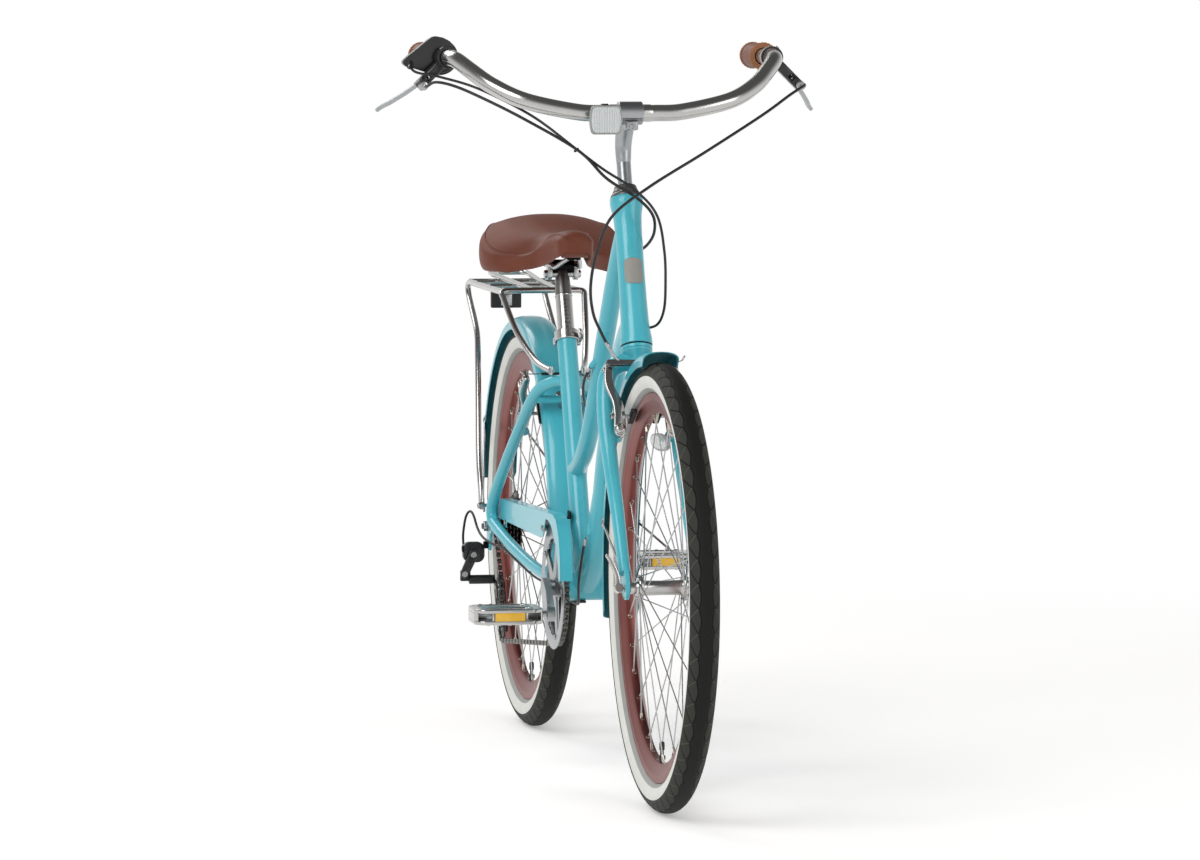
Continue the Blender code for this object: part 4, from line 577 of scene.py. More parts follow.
def brakeStud(brake, side, boss):
    # a brake arm's stud and the boss that it stands on
    base = brakePlace(brake, armShape["pivotRadius"], brake["stud"], side * brake["armY"])
    armFrom, armTo = (-brake["stud"] + end * armShape["hubHalf"] for end in (-1, 1))
    profile = [(0, 0), (0.0065, 0), (0.0065, armFrom - 0.0012), (0.0058, armFrom - 0.0003),
        (0.0038, armFrom - 0.0003), *raised(armTo, (3.8, 0.3), (7, 0.3), (7.3, 1), (6.8, 2.4),
        (5.4, 3.5), (3.6, 4), (2.6, 4), (2.6, 1.5), (0, 1.5))]
    turn = aimed(brake["ahead"])
    return [(spun(profile, 28, at(base) @ turn), "polishedAluminium"),
        (spun(boss, 24, at(base - brake["ahead"] * 0.001) @ turn), "turquoiseEnamel")]


def makeFrame():
    paint = "turquoiseEnamel"
    route = smoothRoute([(x, 0, z) for x, z in framework["topTube"]], 60)
    shapes = [(weldedTube(route, framework["topRadius"], 36), paint)]
    route = smoothRoute([(x, 0, z) for x, z in framework["downTube"]], 60)
    down = weldedTube(route, framework["downRadius"], 40, False)
    for vert in down.verts:
        share = min(1.0, max(0.0, (vert.co.z - crankAxle.z) / 0.16))
        vert.co.y *= 1.25 - 0.58 * share
    shapes += [(down, paint)]
    headProfile = mm((0, 0), (23.8, 0), (24.5, 1), (24.4, 9), (23.6, 14), (22.2, 25), (21.2, 40),
        (20.4, 70), (20, 110), (20.1, 150), (20.5, 185), (21.6, 205), (24, 217), (24.9, 222),
        (25, 230.8), (24.3, 232), (0, 232))
    shapes += [(spun(headProfile, 64, headPlace), paint)]
    route = [crankAxle + seatUp * gone for gone in (0, 0.02, 0.19)]
    route.append(seatPlace @ Vector((0, 0, seatTop)))
    shapes += [(sweep(route, framework["seatRadius"], 40), paint)]
    shell = mm((0, -34), (15, -34), (20.6, -34), (21.5, -33), (21.5, 33), (20.6, 34), (0, 34))
    shapes += [(spunY(shell, 48, crankAxle), paint)]
    stay = weldedTube(smoothRoute(framework["stay"], 90), framework["stayRadius"], 24)
    shapes += [(mirroredCopy(stay), paint), (stay, paint),
        (rod((0.291, -0.041, 0.5565), (0.291, 0.041, 0.5565), 0.006, 20), paint),
        (rod((0.35, -0.038, 0.2885), (0.35, 0.038, 0.2885), 0.006, 20), paint)]
    for side in (1, -1):
        outline = mm((57, 350), (46, 357), (30, 364), (20, 369), (10, 373), (0, 374.5), (-6, 372),
            (-10, 364), (-12, 352), (-16.5, 338))
        if side < 0:
            outline += mm((-17, 328), (-16.5, 318), (-14.5, 309), (-12, 302), (-10, 294),
                (-6, 290.5), (0, 289.5), (6, 291), (11, 300), (14, 314), (30, 323), (57, 336))
        else:
            outline += mm((-17, 329), (-15, 320), (-8, 313.5), (0, 312), (10, 313), (30, 322),
                (57, 336))
        hole = ringPoints(0, axleHeight, 0.0053, 24)
        shapes += [(sidePlate(outline, 0.005, side * 0.07, [hole], 0.0008), paint)]
        eye = mm((2.2, -3.2), (4.8, -3.2), (5.2, 0), (4.8, 3.2), (2.2, 3.2))
        for x, z in mm((0, 364), (-12, 352)):
            shapes += [(spunY(eye, 20, (x, side * 0.07, z)), paint)]
        shapes += brakeStud(rearBrake, side, mm((0, 0), (8.2, 0), (7.8, 4), (6.6, 6), (0, 6)))
    # cable ports with their black liners, and the bosses where the cables enter
    ports = [mm((606, -6, 385), (599.8, -15.8, 365.5)), mm((640, -6, 641), (629, -17, 627.5)),
        mm((815, 8, 815), (807.5, 17.8, 809)), mm((888, 8, 704), (877.5, 16, 698.5))]
    radius = 0.0042
    for start, stop in ports:
        start, stop = Vector(start), Vector(stop)
        shapes += [(sweep([start, stop], [radius * 1.5, radius], 20), paint)]
        out = (stop - start).normalized()
        shapes += [(rod(stop - out * 0.001, stop + out * 0.0006, radius * 0.82, 18), "blackNylon")]
    # plain grey plate where a badge would sit
    plateShape = mm((20, 92), (20.9, 92), (21.4, 92.6), (21.3, 131.4), (20.8, 132), (20, 132))
    badge = spun(plateShape, 24, None, 1.4, -0.7)
    for vert in badge.verts:
        # its corners are rounded off towards the middle
        around = abs(atan2(vert.co.y, vert.co.x)) / 0.7
        tall = (vert.co.z - 0.112) / 0.02
        vert.co.z = 0.112 + 0.02 * tall * (1 - 0.3 * around ** 5)
    shapes += [(moved(badge, headPlace), "warmGreyPlate")]
    guide = easedBox((0.026, 0.012, 0.004), (0.485, -0.006, 0.251), 0.0012, 2)
    shapes += [(guide, "blackNylon")]
    finishPiece("frameTubes", shapes, "root", ["frame"])


def makeHeadset():
    upper = raised(headLength, (13.4, 0.3), (23.2, 0.3), (24, 1.1), (23.8, 2.9), (22.6, 5.4),
        (21.8, 6), (13.4, 6))
    finishPiece("headsetUpperCup", [(spun(upper, 56, headPlace), "darkZincSteel")], "root",
        ["headset_upper_cup"])
    # the thin black ring stands for the dark gap between the head tube and the crown race: painted
    # shade
    lower = collar(0.0134, 0.024, -0.0021, -0.0003, 0.0004, 0.0004)
    race = mm((13.4, -7.3), (22.8, -7.3), (23.6, -6.4), (23.8, -2.4), (23.4, -1.9), (13.4, -1.9))
    finishPiece("headsetLowerCup", [(spun(lower, 56, headPlace), "satinBlackSteel"),
        (spun(race, 56, headPlace), "turquoiseEnamel")], "root", ["headset_lower_cup"])
    cone = raised(headLength, (13.3, 6.3), (19.8, 6.3), (20.5, 6.9), (20.5, 8.9), (19.6, 10.3),
        (17.6, 15.3), (16.8, 18.5), (16, 19.3), (13.3, 19.3))
    finishPiece("headsetTopCone", [(spun(cone, 56, headPlace), "darkZincSteel")], "steering",
        ["headset_top_cone"])
    cup = mm((10.4, -36.2), (19.2, -36.2), (19.9, -35.6), (19.9, -34.6), (17.1, -34.5),
        (17.1, 34.5), (19.9, 34.6), (19.9, 35.6), (19.2, 36.2), (10.4, 36.2))
    finishPiece("bottomBracketCups", [(spunY(cup, 48, crankAxle), "satinBlackSteel")], "root",
        ["bottom_bracket"])


# Fork

forkShape = {"blade": mm((916.5, -5, 650), (917.5, 26, 648), (923, 46, 628), (945, 53.5, 580),
        (977, 53.8, 520), (1037.5, 53.5, 440), (1090, 53.5, 363), (1098.5, 53.5, 351)),
    "topRadius": 0.0145, "tipRadius": 0.0087}


def makeFork():
    paint = "turquoiseEnamel"
    crown = mm((0, -34.5), (12, -34.5), (14.6, -33), (15.6, -29), (16.4, -23.5), (19, -16.5),
        (22.8, -11.2), (23.5, -9.8), (23.5, -8), (23, -7.5), (12.7, -7.5), (12.7, 250), (0, 250))
    shapes = [(spun(crown, 56, headPlace), paint)]
    count = 70
    radii = [forkShape["topRadius"] - (forkShape["topRadius"] - forkShape["tipRadius"])
        * (i / (count - 1)) for i in range(count)]
    blade = sweep(smoothRoute(forkShape["blade"], count), radii, 32)
    shapes += [(mirroredCopy(blade), paint), (blade, paint)]
    outline = smoothLoop(mm((1088, 374), (1103, 366), (1121, 346), (1125, 331), (1120, 317),
        (1108, 313), (1090, 320), (1079, 333), (1081, 342), (1084, 360)), 41)
    hole = ringPoints(frontAxle.x, axleHeight, 0.0053, 24)
    for side in (1, -1):
        shapes += [(sidePlate(outline, 0.006, side * 0.0531, [hole], 0.0009), paint)]
        shapes += brakeStud(frontBrake, side, mm((0, 0), (8.4, 0), (8.2, 6), (6.8, 10), (0, 10)))
    finishPiece("forkBlades", shapes, "steering", ["fork"])


# Wheels

wheelShape = {"steps": 192, "spokes": 36, "spokeRadius": 0.001, "rimSpokeRadius": 0.256,
    "hubSpokeRadius": 0.0168, "nippleLength": 0.012}


def treadShell(half, axle):
    # the tread's own skin, with the leaves' grooves moulded into it
    tread = tyreTread
    face = [Vector((r, y, 0)) for r, y in half if r > 0.3104]
    face = smoothRoute([Vector((p.x, -p.y, 0)) for p in reversed(face[1:])] + face, 57)
    steps = tread["leaves"] * 16
    bm = bmesh.new()
    rings = []
    for i in range(steps):
        angle = 2 * pi * i / steps
        share = i % 16 / 16
        inner = tread["cusp"] - tread["bulge"] * sin(pi * share)
        slant = min(share / tread["peak"], (1 - share) / (1 - tread["peak"]))
        outer = tread["cusp"] + tread["reach"] * slant ** tread["bend"]
        ring = []
        for place in face:
            girth = abs(place.y) + max(0.0, tread["crown"] - place.x)
            near = min(abs(girth - inner), 0.75 * abs(girth - outer)
                + (0 if share < tread["peak"] else tread["spread"]))
            sink = tread["grooveDepth"] * exp(-(near / tread["spread"]) ** 2)
            ring.append((place.x + 0.0004 - sink, place.y))
        ring += [(face[-1].x - 0.001, face[-1].y * 0.9), (face[0].x - 0.001, face[0].y * 0.9)]
        turn = onWheel(1, angle)
        rings.append([bm.verts.new(axle + turn * r + Vector((0, y, 0))) for r, y in ring])
    for first, second in zip(rings, rings[1:] + rings[:1]):
        for k in range(len(first)):
            j = (k + 1) % len(first)
            bm.faces.new((first[k], first[j], second[j], second[k]))
    bmesh.ops.recalc_face_normals(bm, faces=bm.faces)
    return bm


def makeTyre(name, axle, body, node, tread):
    half = mm((329.6, 0), (329.5, 3), (329, 5.8), (328, 8.5), (326.4, 11.2), (324.2, 14),
        (321.8, 16.4), (319.4, 18.2), (316.8, 19.7), (313.8, 20.8), (310.6, 21.4), (310.2, 21.1),
        (306.8, 21.3), (303, 20.9), (298.5, 19.8), (294, 18.2), (292.7, 17.6), (292.4, 17.2),
        (290.5, 16.1), (288.4, 14.2), (287.2, 12.8), (286.6, 11.2), (285.8, 10.4), (277.5, 10.3))
    core = [(r - (0.0014 if r > 0.3112 else 0.0), y) for r, y in half]
    profile = core + [(r, -y) for r, y in reversed(core[1:])]
    bm = spun(profile, wheelShape["steps"], toY)
    for face in bm.faces:
        middle = face.calc_center_median()
        radius = hypot(middle.x, middle.z)
        # the band between the white wall and the rim is coloured grey as painted shade
        face.material_index = sum(radius < limit for limit in (0.3103, 0.2925, 0.2862))
    shapes = [(moved(bm, at(axle)), (tread, "whitewallRubber", "greyBandRubber",
        "sidewallRubber")), (treadShell(half, axle), tread)]
    # a moulded rib at the outer edge of the white band
    for side in (1, -1):
        line = spunY([(0.3122, side * 0.0209), (0.313, side * 0.0217), (0.3138, side * 0.0207)],
            wheelShape["steps"], axle)
        shapes += [(line, "sidewallRubber")]
    finishPiece(name, shapes, body, [node], 40)


def makeRim(name, axle, body, node):
    half = mm((276.8, 10.8), (284, 10.8), (285, 10.4), (286, 10.8), (286.2, 11.8), (285.6, 12.4),
        (284.6, 12.5), (276.2, 12.5), (274.8, 12.3), (273.5, 11.7), (270, 10.4), (264, 8.4),
        (259, 6.6), (257.2, 5.4), (256.6, 3), (256.5, 0))
    profile = half + [(r, -y) for r, y in reversed(half[:-1])]
    shapes = [(spunY(profile, wheelShape["steps"], axle), "roseAnodisedAluminium")]
    # eyelets round the spoke holes, and the valve with its nut and cap
    for i in range(wheelShape["spokes"]):
        angle = radians(5 + 10 * i)
        out = onWheel(1, angle)
        eyelet = spun(mm((1.9, 0), (3, 0), (2.8, 0.7), (2.1, 0.9)), 12,
            at(axle + out * 0.2567) @ aimed(-out))
        shapes += [(eyelet, "nickelledBrass")]
    valve = mm((0, 0), (3.4, 0), (4, 3), (4, 12), (2.8, 12.6), (2.8, 20), (5.2, 20.5), (5.2, 26),
        (4, 26.5), (4, 35), (0, 35))
    stem = spun(valve, 20, at(axle - Vector((0, 0, 0.2265))) @ Matrix.Rotation(pi, 4, "X"))
    shapes += [(stem, "blackNylon")]
    finishPiece(name, shapes, body, [node], 35)


def hubHalf(near, far, shoulder, tip):
    # from the inside of the spoke flange out to the end of the lock nut
    return [(0.0112, near - 0.005), (0.0128, near - 0.0006), (0.0186, near),
        (0.0195, near + 0.0012), (0.0195, far - 0.0012), (0.0186, far), (0.0118, far + 0.0006),
        (0.0115, shoulder - 0.002), (0.0106, shoulder - 0.0006), (0.0085, shoulder),
        (0.0085, tip - 0.0006), (0.008, tip), (0.0056, tip)]


def makeHub(name, axle, body, node, right, left):
    shell = [(r, -y) for r, y in reversed(hubHalf(*right))] + [(0.0106, 0)] + hubHalf(*left)
    wires, nipples = [], []
    for side, span in ((-1, right), (1, left)):
        first = 5 if side > 0 else 15
        for lean, flangeY in ((1, span[1] + 0.0008), (-1, span[0] - 0.0008)):
            for i in range(9):
                rimAngle = radians(first + 40 * i + (0 if lean > 0 else 20))
                hubAngle = rimAngle + lean * radians(60)
                start = onWheel(wheelShape["hubSpokeRadius"], hubAngle, side * flangeY)
                stop = onWheel(wheelShape["rimSpokeRadius"], rimAngle, side * 0.0022)
                elbow = start + Vector((0, -lean * side * 0.003, 0))
                run = (stop - start).normalized()
                wires.append(sweep([elbow, start, start + run * 0.002, stop - run * 0.004],
                    wheelShape["spokeRadius"], 8))
                back = stop - run * wheelShape["nippleLength"]
                nipples.append(sweep([back, back + run * 0.001, stop - run * 0.003, stop],
                    [0.0014, 0.0019, 0.0021, 0.0016], 8))
    place = at(axle)
    finishPiece(name, [(spunY(shell, 56, axle), "polishedAluminium"),
        (moved(together(wires), place), "drawnStainless"),
        (moved(together(nipples), place), "nickelledBrass")], body, [node], 40)


def makeWheels():
    for end, axle, right, left in (("front", frontAxle,
            *mm((30.5, 36.5, 40, 49.7), (30.5, 36.5, 40, 49.7))),
            ("rear", rearAxle, *mm((17.7, 23.7, 62, 67.2), (31.5, 37.5, 45, 67.2)))):
        body = f"{end}_wheel"
        makeTyre(f"{end}Tyre", axle, body, f"{end}_tyre", f"{end}TreadRubber")
        makeRim(f"{end}Rim", axle, body, f"{end}_rim")
        makeHub(f"{end}HubAndSpokes", axle, body, f"{end}_hub_and_spokes", right, left)
    x, z = 1.095, 0.5425
    oval = [(x + 0.061 * cos(a), z + 0.0125 * sin(a)) for a in (i * pi / 36 for i in range(72))]
    face = [(x + (px - x) * 0.95, z + (pz - z) * 0.78) for px, pz in oval]
    shapes = [(sidePlate(oval, 0.0062, 0, (), 0.0016, 3), "greyPlastic"),
        (sidePlate(face, 0.0072, 0, (), 0.0005, 1), "greyLens")]
    finishPiece("wheelReflectorPlate", shapes, "front_wheel", ["wheel_reflector"])


def makeAxles():
    place = at(rearAxle) @ toY
    axle = collar(0, 0.0048, -0.083, 0.083, 0.0006, 0.0006)
    shapes = [(spun(axle, 24, place), "darkZincSteel")]
    for side in (1, -1):
        outline = ringPoints(0, 0, 0.0086, 6, radians(15))
        y = 0.0742 if side > 0 else -0.0802
        nut = plate(outline, 0.006, (), 0.001, at((0, y, axleHeight)) @ toY)
        shapes += [(nut, "polishedAluminium")]
        washer = spun(mm((5, 72.9), (8.8, 72.9), (8.8, 74.2), (5, 74.2)), 32,
            place if side > 0 else place @ Matrix.Rotation(pi, 4, "X"))
        shapes += [(washer, "drawnStainless")]
    finishPiece("rearAxleAndNuts", shapes, "root", ["rear_axle"])
    profile = mm((0, -56.8), (4.8, -56.8), (4.8, 56.8), (8.4, 56.8), (9, 57.4), (9, 61.8),
        (8.2, 63.2), (6.4, 65.5), (5.8, 66.5), (0, 66.5))
    finishPiece("frontAxleSkewer", [(spunY(profile, 36, frontAxle), "polishedAluminium")],
        "steering", ["front_axle"])
    pivot = frontAxle + Vector((0, -0.0645, 0))
    up = Vector((-0.25, 0, 1)).normalized()
    place = axesAt(pivot, up, Vector((0, 1, 0)), up.cross(Vector((0, 1, 0))))
    cam = spun(collar(0, 0.0068, -0.0065, 0.0065, 0.0008, 0.0007), 32, place)
    outline = [(p.x, p.y) for p in smoothRoute(mm((0, 5, 0), (20, 1, 0), (40, -6.8, 0),
        (51.5, -15, 0), (49, -17.8, 0), (38, -11.8, 0), (18, -4.5, 0), (0, -5, 0)), 29)]
    blade = plate(outline, 0.009, (), 0.0012, place @ at((0, 0, -0.0045)))
    finishPiece("frontQuickReleaseLever", [(cam, "polishedAluminium"),
        (blade, "polishedAluminium")], "front_quick_release", ["front_quick_release_lever"])


# Fenders

fenderShape = {"radius": 0.3455, "depth": 0.0225, "wall": 0.0013, "frontHalf": 0.027,
    "rearHalf": 0.029, "frontArc": (91.0, 193.0), "rearArc": (-6.0, 171.0)}


def fenderShell(half, arc, axle, steps):
    # thin rolled sheet, open underneath, with its edge turned round a bead
    radius, depth, wall = fenderShape["radius"], fenderShape["depth"], fenderShape["wall"]
    outer = []
    count = 13
    for i in range(count):
        turn = pi / 2 * i / (count - 1)
        outer.append((radius - (depth - 0.0095) * (1 - cos(turn) ** 0.8), half * sin(turn) ** 0.9))
    outer += [(radius - depth + 0.003, half), (radius - depth + 0.0012, half + 0.0006),
        (radius - depth, half), (radius - depth + 0.0004, half - 0.001)]
    profile = outer[::-1] + [(r, -y) for r, y in outer[1:]]
    profile += [(r - wall, -y + wall) for r, y in reversed(outer[2:-3])]
    profile += [(radius - wall, 0.0)] + [(r - wall, y - wall) for r, y in outer[2:-3]]
    start, stop = radians(arc[0]), radians(arc[1])
    # spun about Z and stood up: the angle runs from +X towards +Z
    bm = spun(profile, steps, None, stop - start, start)
    stand = Matrix(((1, 0, 0, 0), (0, 0, 1, 0), (0, 1, 0, 0), (0, 0, 0, 1)))
    moved(bm, stand)
    limit = 0.06
    for vert in bm.verts:
        # the corners of both ends are rounded off in side view
        angle = atan2(vert.co.z, vert.co.x)
        if angle < radians(-60):
            angle += 2 * pi
        away, sign = min((angle - start, 1), (stop - angle, -1))
        if away * radius < limit:
            level = min(1.0, max(0.0, (radius - hypot(vert.co.x, vert.co.z)) / depth))
            cut = 0.015 * level ** 2
            shift = sign * cut * (1 - away * radius / limit) / radius
            vert.co = Matrix.Rotation(-shift, 3, "Y") @ vert.co
    return moved(bm, at(axle))


def makeFender(name, axle, half, arc, steps, lipAngle, wire, body, node, extras):
    shell = fenderShell(half, arc, axle, steps)
    # faces turned in towards the wheel take the darker copy of the paint: painted shade
    for face in shell.faces:
        middle = face.calc_center_median() - axle
        inward = Vector((-middle.x, 0, -middle.z)).normalized()
        if face.normal.dot(inward) > 0.35:
            face.material_index = 1
    shapes = [(shell, ("turquoiseEnamel", "darkTurquoiseEnamel"))]
    for side in (1, -1):
        angle = radians(lipAngle)
        lip = axle + onWheel(0.33, angle, side * (half + 0.0005))
        middle, end = (Vector((x, side * y, z)) for x, y, z in wire)
        shapes += [(sweep(smoothRoute([lip, lip.lerp(middle, 0.5), middle, end], 24), 0.0018, 14),
            "drawnStainless")]
        out = Vector((0, side, 0))
        shapes += [(boltHead(lip - out * 0.0006, out, 0.005, 0.0028), "drawnStainless"),
            (boltHead(end - out * 0.001, out, 0.0046, 0.003), "drawnStainless")]
        tab = easedBox((0.012, 0.0012, 0.016), lip - out * 0.0002, 0.0005, 2)
        shapes += [(tab, "drawnStainless")]
    shapes += extras
    finishPiece(name, shapes, body, [node], 40)


def makeFenders():
    mount = rod(headFoot - headUp * 0.0395, headFoot - headUp * 0.0545, 0.005, 20)
    makeFender("frontFenderShell", frontAxle, fenderShape["frontHalf"], fenderShape["frontArc"],
        96, 168, mm((1062, 52.5, 354), (1073.5, 53.5, 344)), "steering", "front_fender",
        [(mount, "drawnStainless")])
    out = Vector((0.787, 0, 0.617)).normalized()
    extras = [(rod(rearAxle + out * 0.3435, rearAxle + out * 0.361, 0.0045, 20), "drawnStainless")]
    up = onWheel(1, radians(42))
    extras.append((boltHead(rearAxle + up * 0.345, up, 0.0055, 0.0034), "drawnStainless"))
    makeFender("rearFenderShell", rearAxle, fenderShape["rearHalf"], fenderShape["rearArc"], 160,
        152, mm((-40, 74, 380), (-17, 76, 356)), "root", "rear_fender", extras)


# Rack and rear reflector

rackShape = {"rail": mm((108, 67, 720), (0, 66.5, 720.5), (-140, 66, 721.5), (-225, 65, 722),
        (-246, 65, 714), (-238, 65, 700), (-205, 65.2, 678), (-148, 66, 640), (-116, 70, 600),
        (-75, 76, 525), (-34, 82, 440), (-8, 83, 392), (0, 83, 363)),
    "hoop": mm((338, 26.5, 604.5), (328, 27, 604.5), (270, 40, 617), (190, 56, 657),
        (124, 66.2, 707.5), (108, 67, 719)),
    "loop": mm((110, 21, 724.5), (-50, 24.5, 730), (-200, 31, 736.5), (-224, 27, 738),
        (-228, 12, 738)),
    "crossBars": mm((-232, 723.5), (-150, 724.5), (-20, 724)), "barRadius": 0.005}


def bothWays(half):
    return half + [(x, -y, z) for x, y, z in reversed(half)]


def makeRack():
    metal = "polishedAluminium"
    shapes = []
    for side in (1, -1):
        rail = [(x, side * y, z) for x, y, z in rackShape["rail"]]
        shapes += [(sweep(smoothRoute(rail, 110), rackShape["barRadius"], 20), metal)]
        tip = Vector((0.0, side * 0.083, 0.363))
        shapes += [(rod(tip + Vector((0, -side * 0.0035, 0.001)),
            tip + Vector((0, side * 0.0035, 0.001)), 0.0068, 24), metal),
            (boltHead(tip + Vector((0, side * 0.0034, 0.001)), (0, side, 0), 0.005, 0.0036),
            "drawnStainless"), (rod(tip + Vector((0, 0, 0.001)), (0, side * 0.0735, 0.364), 0.003,
            16), "drawnStainless")]
        plateTab = easedBox((0.02, 0.003, 0.014), (0.332, side * 0.0268, 0.6045), 0.001, 2)
        shapes += [(plateTab, metal), (boltHead((0.333, side * 0.0282, 0.6045), (0, side, 0),
            0.0044, 0.003), "drawnStainless")]
    route = bothWays(rackShape["hoop"] + [(0.108, 0.05, 0.722)])
    shapes += [(sweep(smoothRoute(route, 120), rackShape["barRadius"], 20), metal),
        (sweep(smoothRoute(bothWays(rackShape["loop"]), 110), 0.0045, 18), metal)]
    for x, z in rackShape["crossBars"]:
        shapes += [(rod((x, -0.066, z), (x, 0.066, z), 0.004, 18), metal)]
    finishPiece("rackBars", shapes, "root", ["rear_rack"], 40)
    lens = easedBox((0.006, 0.052, 0.03), (-0.251, 0, 0.692), 0.0028, 4)
    shell = easedBox((0.007, 0.0515, 0.0295), (-0.2465, 0, 0.692), 0.002, 3)
    arm = easedBox((0.01, 0.022, 0.0175), (-0.24, 0, 0.7095), 0.002, 3)
    strap = easedBox((0.0016, 0.0185, 0.023), (-0.2424, 0, 0.693), 0.0006, 2)
    finishPiece("rearReflectorLens", [(lens, "redLens"), (shell, "blackNylon"),
        (arm, "blackNylon"), (strap, "drawnStainless")], "root", ["rear_reflector"])


# Stem and handlebar

barMiddle = Vector((0.859, 0, 1.02))
barShape = {"curve": mm((859, 35, 1020), (858, 80, 1022), (845, 155, 1038), (815, 200, 1060),
        (779, 227.5, 1082.5), (750, 244, 1098), (720, 249.9, 1102.3)),
    "radius": 0.0125, "endX": 0.5125}


def barPoint(side, x):
    # the bar's centre at X on its straight end stretch
    back = 0.745 - x
    return Vector((x, side * (0.2485 + back * 0.0574), 1.102 + back * 0.0128))


def barAxes(side, x):
    # Z runs back along the grip and X points outward and down
    back = Vector((-0.9983, side * 0.0573, 0.0128)).normalized()
    out = Vector((0, side, -1))
    out = (out - back * out.dot(back)).normalized()
    return axesAt(barPoint(side, x), out, back.cross(out), back)


def makeStem():
    metal = "brushedAluminium"
    quillTop = headPlace @ Vector((0, 0, 0.3))
    shapes = [(rod(headPlace @ Vector((0, 0, headLength - 0.055)), quillTop, 0.0108, 40), metal)]
    route = smoothRoute([quillTop - headUp * 0.01, Vector((0.806, 0, 0.972)),
        Vector((0.822, 0, 1.0)), Vector((0.845, 0, 1.021))], 34)
    radii = [0.011 + 0.004 * (i / 33) ** 0.8 for i in range(34)]
    shapes += [(sweep(route, radii, 40), metal)]
    cap = mm((0, 0), (16.3, 0), (16.5, 3), (16.5, 19.6), (16, 20.4), (15, 20.9), (7, 21),
        (6.6, 20), (6.6, 15), (0, 15))
    shapes += [(spun(cap, 56, at((0.842, 0, 1.016))), metal)]
    wedge = spun(mm((0, 15.2), (2.4, 15.2), (2.6, 18), (5.6, 18.4), (6.2, 17.2), (6.2, 15),
        (0, 15)), 24, at((0.842, 0, 1.016)))
    shapes += [(wedge, "satinBlackSteel")]
    clamp = collar(0.0134, 0.0175, -0.018, 0.018, 0.0009, 0.001)
    shapes += [(spunY(clamp, 56, barMiddle), metal)]
    ears = easedBox((0.02, 0.02, 0.015), (0.866, 0, 1.002), 0.003, 4)
    shapes += [(ears, metal)]
    # a thin black strip in the clamp's slit: painted shade in the gap
    slit = easedBox((0.0016, 0.034, 0.0008), (0.8762, 0, 1.01), 0.0003, 1)
    shapes += [(slit, "blackNylon"), (boltHead((0.874, 0, 0.999), (1, 0, 0), 0.0048, 0.0036),
        "drawnStainless")]
    finishPiece("stemAndQuill", shapes, "steering", ["stem"])
    half = smoothRoute(barShape["curve"], 60) + [barPoint(1, x)
        for x in (0.7, 0.68, 0.64, barShape["endX"])]
    route = [Vector((p.x, -p.y, p.z)) for p in reversed(half)] + half
    bar = sweep(route, barShape["radius"], 36)
    sleeve = sweep([barMiddle + Vector((0, y, 0)) for y in (-0.033, -0.03, 0.03, 0.033)],
        [0.0125, 0.0133, 0.0133, 0.0125], 36)
    finishPiece("handlebarTube", [(bar, "polishedAluminium"), (sleeve, "polishedAluminium")],
        "steering", ["handlebar"])


gripShape = {"left": {"x": 0.62, "length": 0.112, "node": "left_grip", "side": 1},
    "right": {"x": 0.596, "length": 0.088, "node": "right_grip", "side": -1},
    "stitchPitch": 0.0042}


def onRound(radius, angle, height):
    return Vector((radius * cos(angle), radius * sin(angle), height))


def makeGrips():
    for key in ("left", "right"):
        grip = gripShape[key]
        long = grip["length"]
        place = barAxes(grip["side"], grip["x"])
        flange = mm((13.4, 0), (20, 0), (21.2, 0.6), (21.5, 1.8), (21.3, 3.4), (20.2, 4.2),
            (13.4, 4.4))
        body = [*mm((13.4, 4.6), (18.6, 4.6), (19, 6), (19, 10)), (0.0192, long * 0.3),
            (0.0195, long * 0.5), (0.0193, long * 0.72),
            *raised(long, (19, -12), (18.8, -9), (13.4, -8.8))]
        end = raised(long, (13.4, -8.6), (19.8, -8.6), (20.6, -7.8), (20.6, -1.6), (19.8, -0.4),
            (12, 0), (10, -1), (0, -1), (0, -8))
        shapes = [(spun(flange, 56, place), "paleBrownLeather"),
            (spun(body, 56, place), "brownLeather"), (spun(end, 56, place), "paleBrownLeather")]
        # stitches where the leather's edges meet, under the grip
        count = int((long - 0.022) / gripShape["stitchPitch"])
        stitches = []
        for i in range(count):
            height = 0.0095 + i * gripShape["stitchPitch"]
            for lean in (-0.1, 0.1):
                stitches.append(sweep([onRound(0.0192, lean, height),
                    Vector((0.0196, 0, height + 0.0018))], 0.00055, 6))
        shapes += [(moved(together(stitches), place), "amberThread")]
        rings = []
        for height, radius in ((0.0022, 0.0216), (long - 0.0048, 0.0207)):
            for i in range(26):
                angle = 2 * pi * i / 26
                rings.append(sweep([onRound(radius, angle + step, height)
                    for step in (-pi / 52, pi / 52)], 0.00042, 6))
        shapes += [(moved(together(rings), place), "amberThread")]
        finishPiece(f"{key}GripLeather", shapes, "steering", [grip["node"]])


# Brake levers and twist shifter

leverShape = {"pivotOut": 0.046, "pivotBack": 0.008, "barrelOut": 0.06,
    "blade": mm((8, 40), (22, 48), (50, 71), (90, 93), (118, 103.5), (128, 110.5), (131, 117),
        (126, 118.5), (112, 110.5), (86, 101.5), (46, 80), (22, 62), (10, 53.5), (2.5, 50),
        (2, 43))}


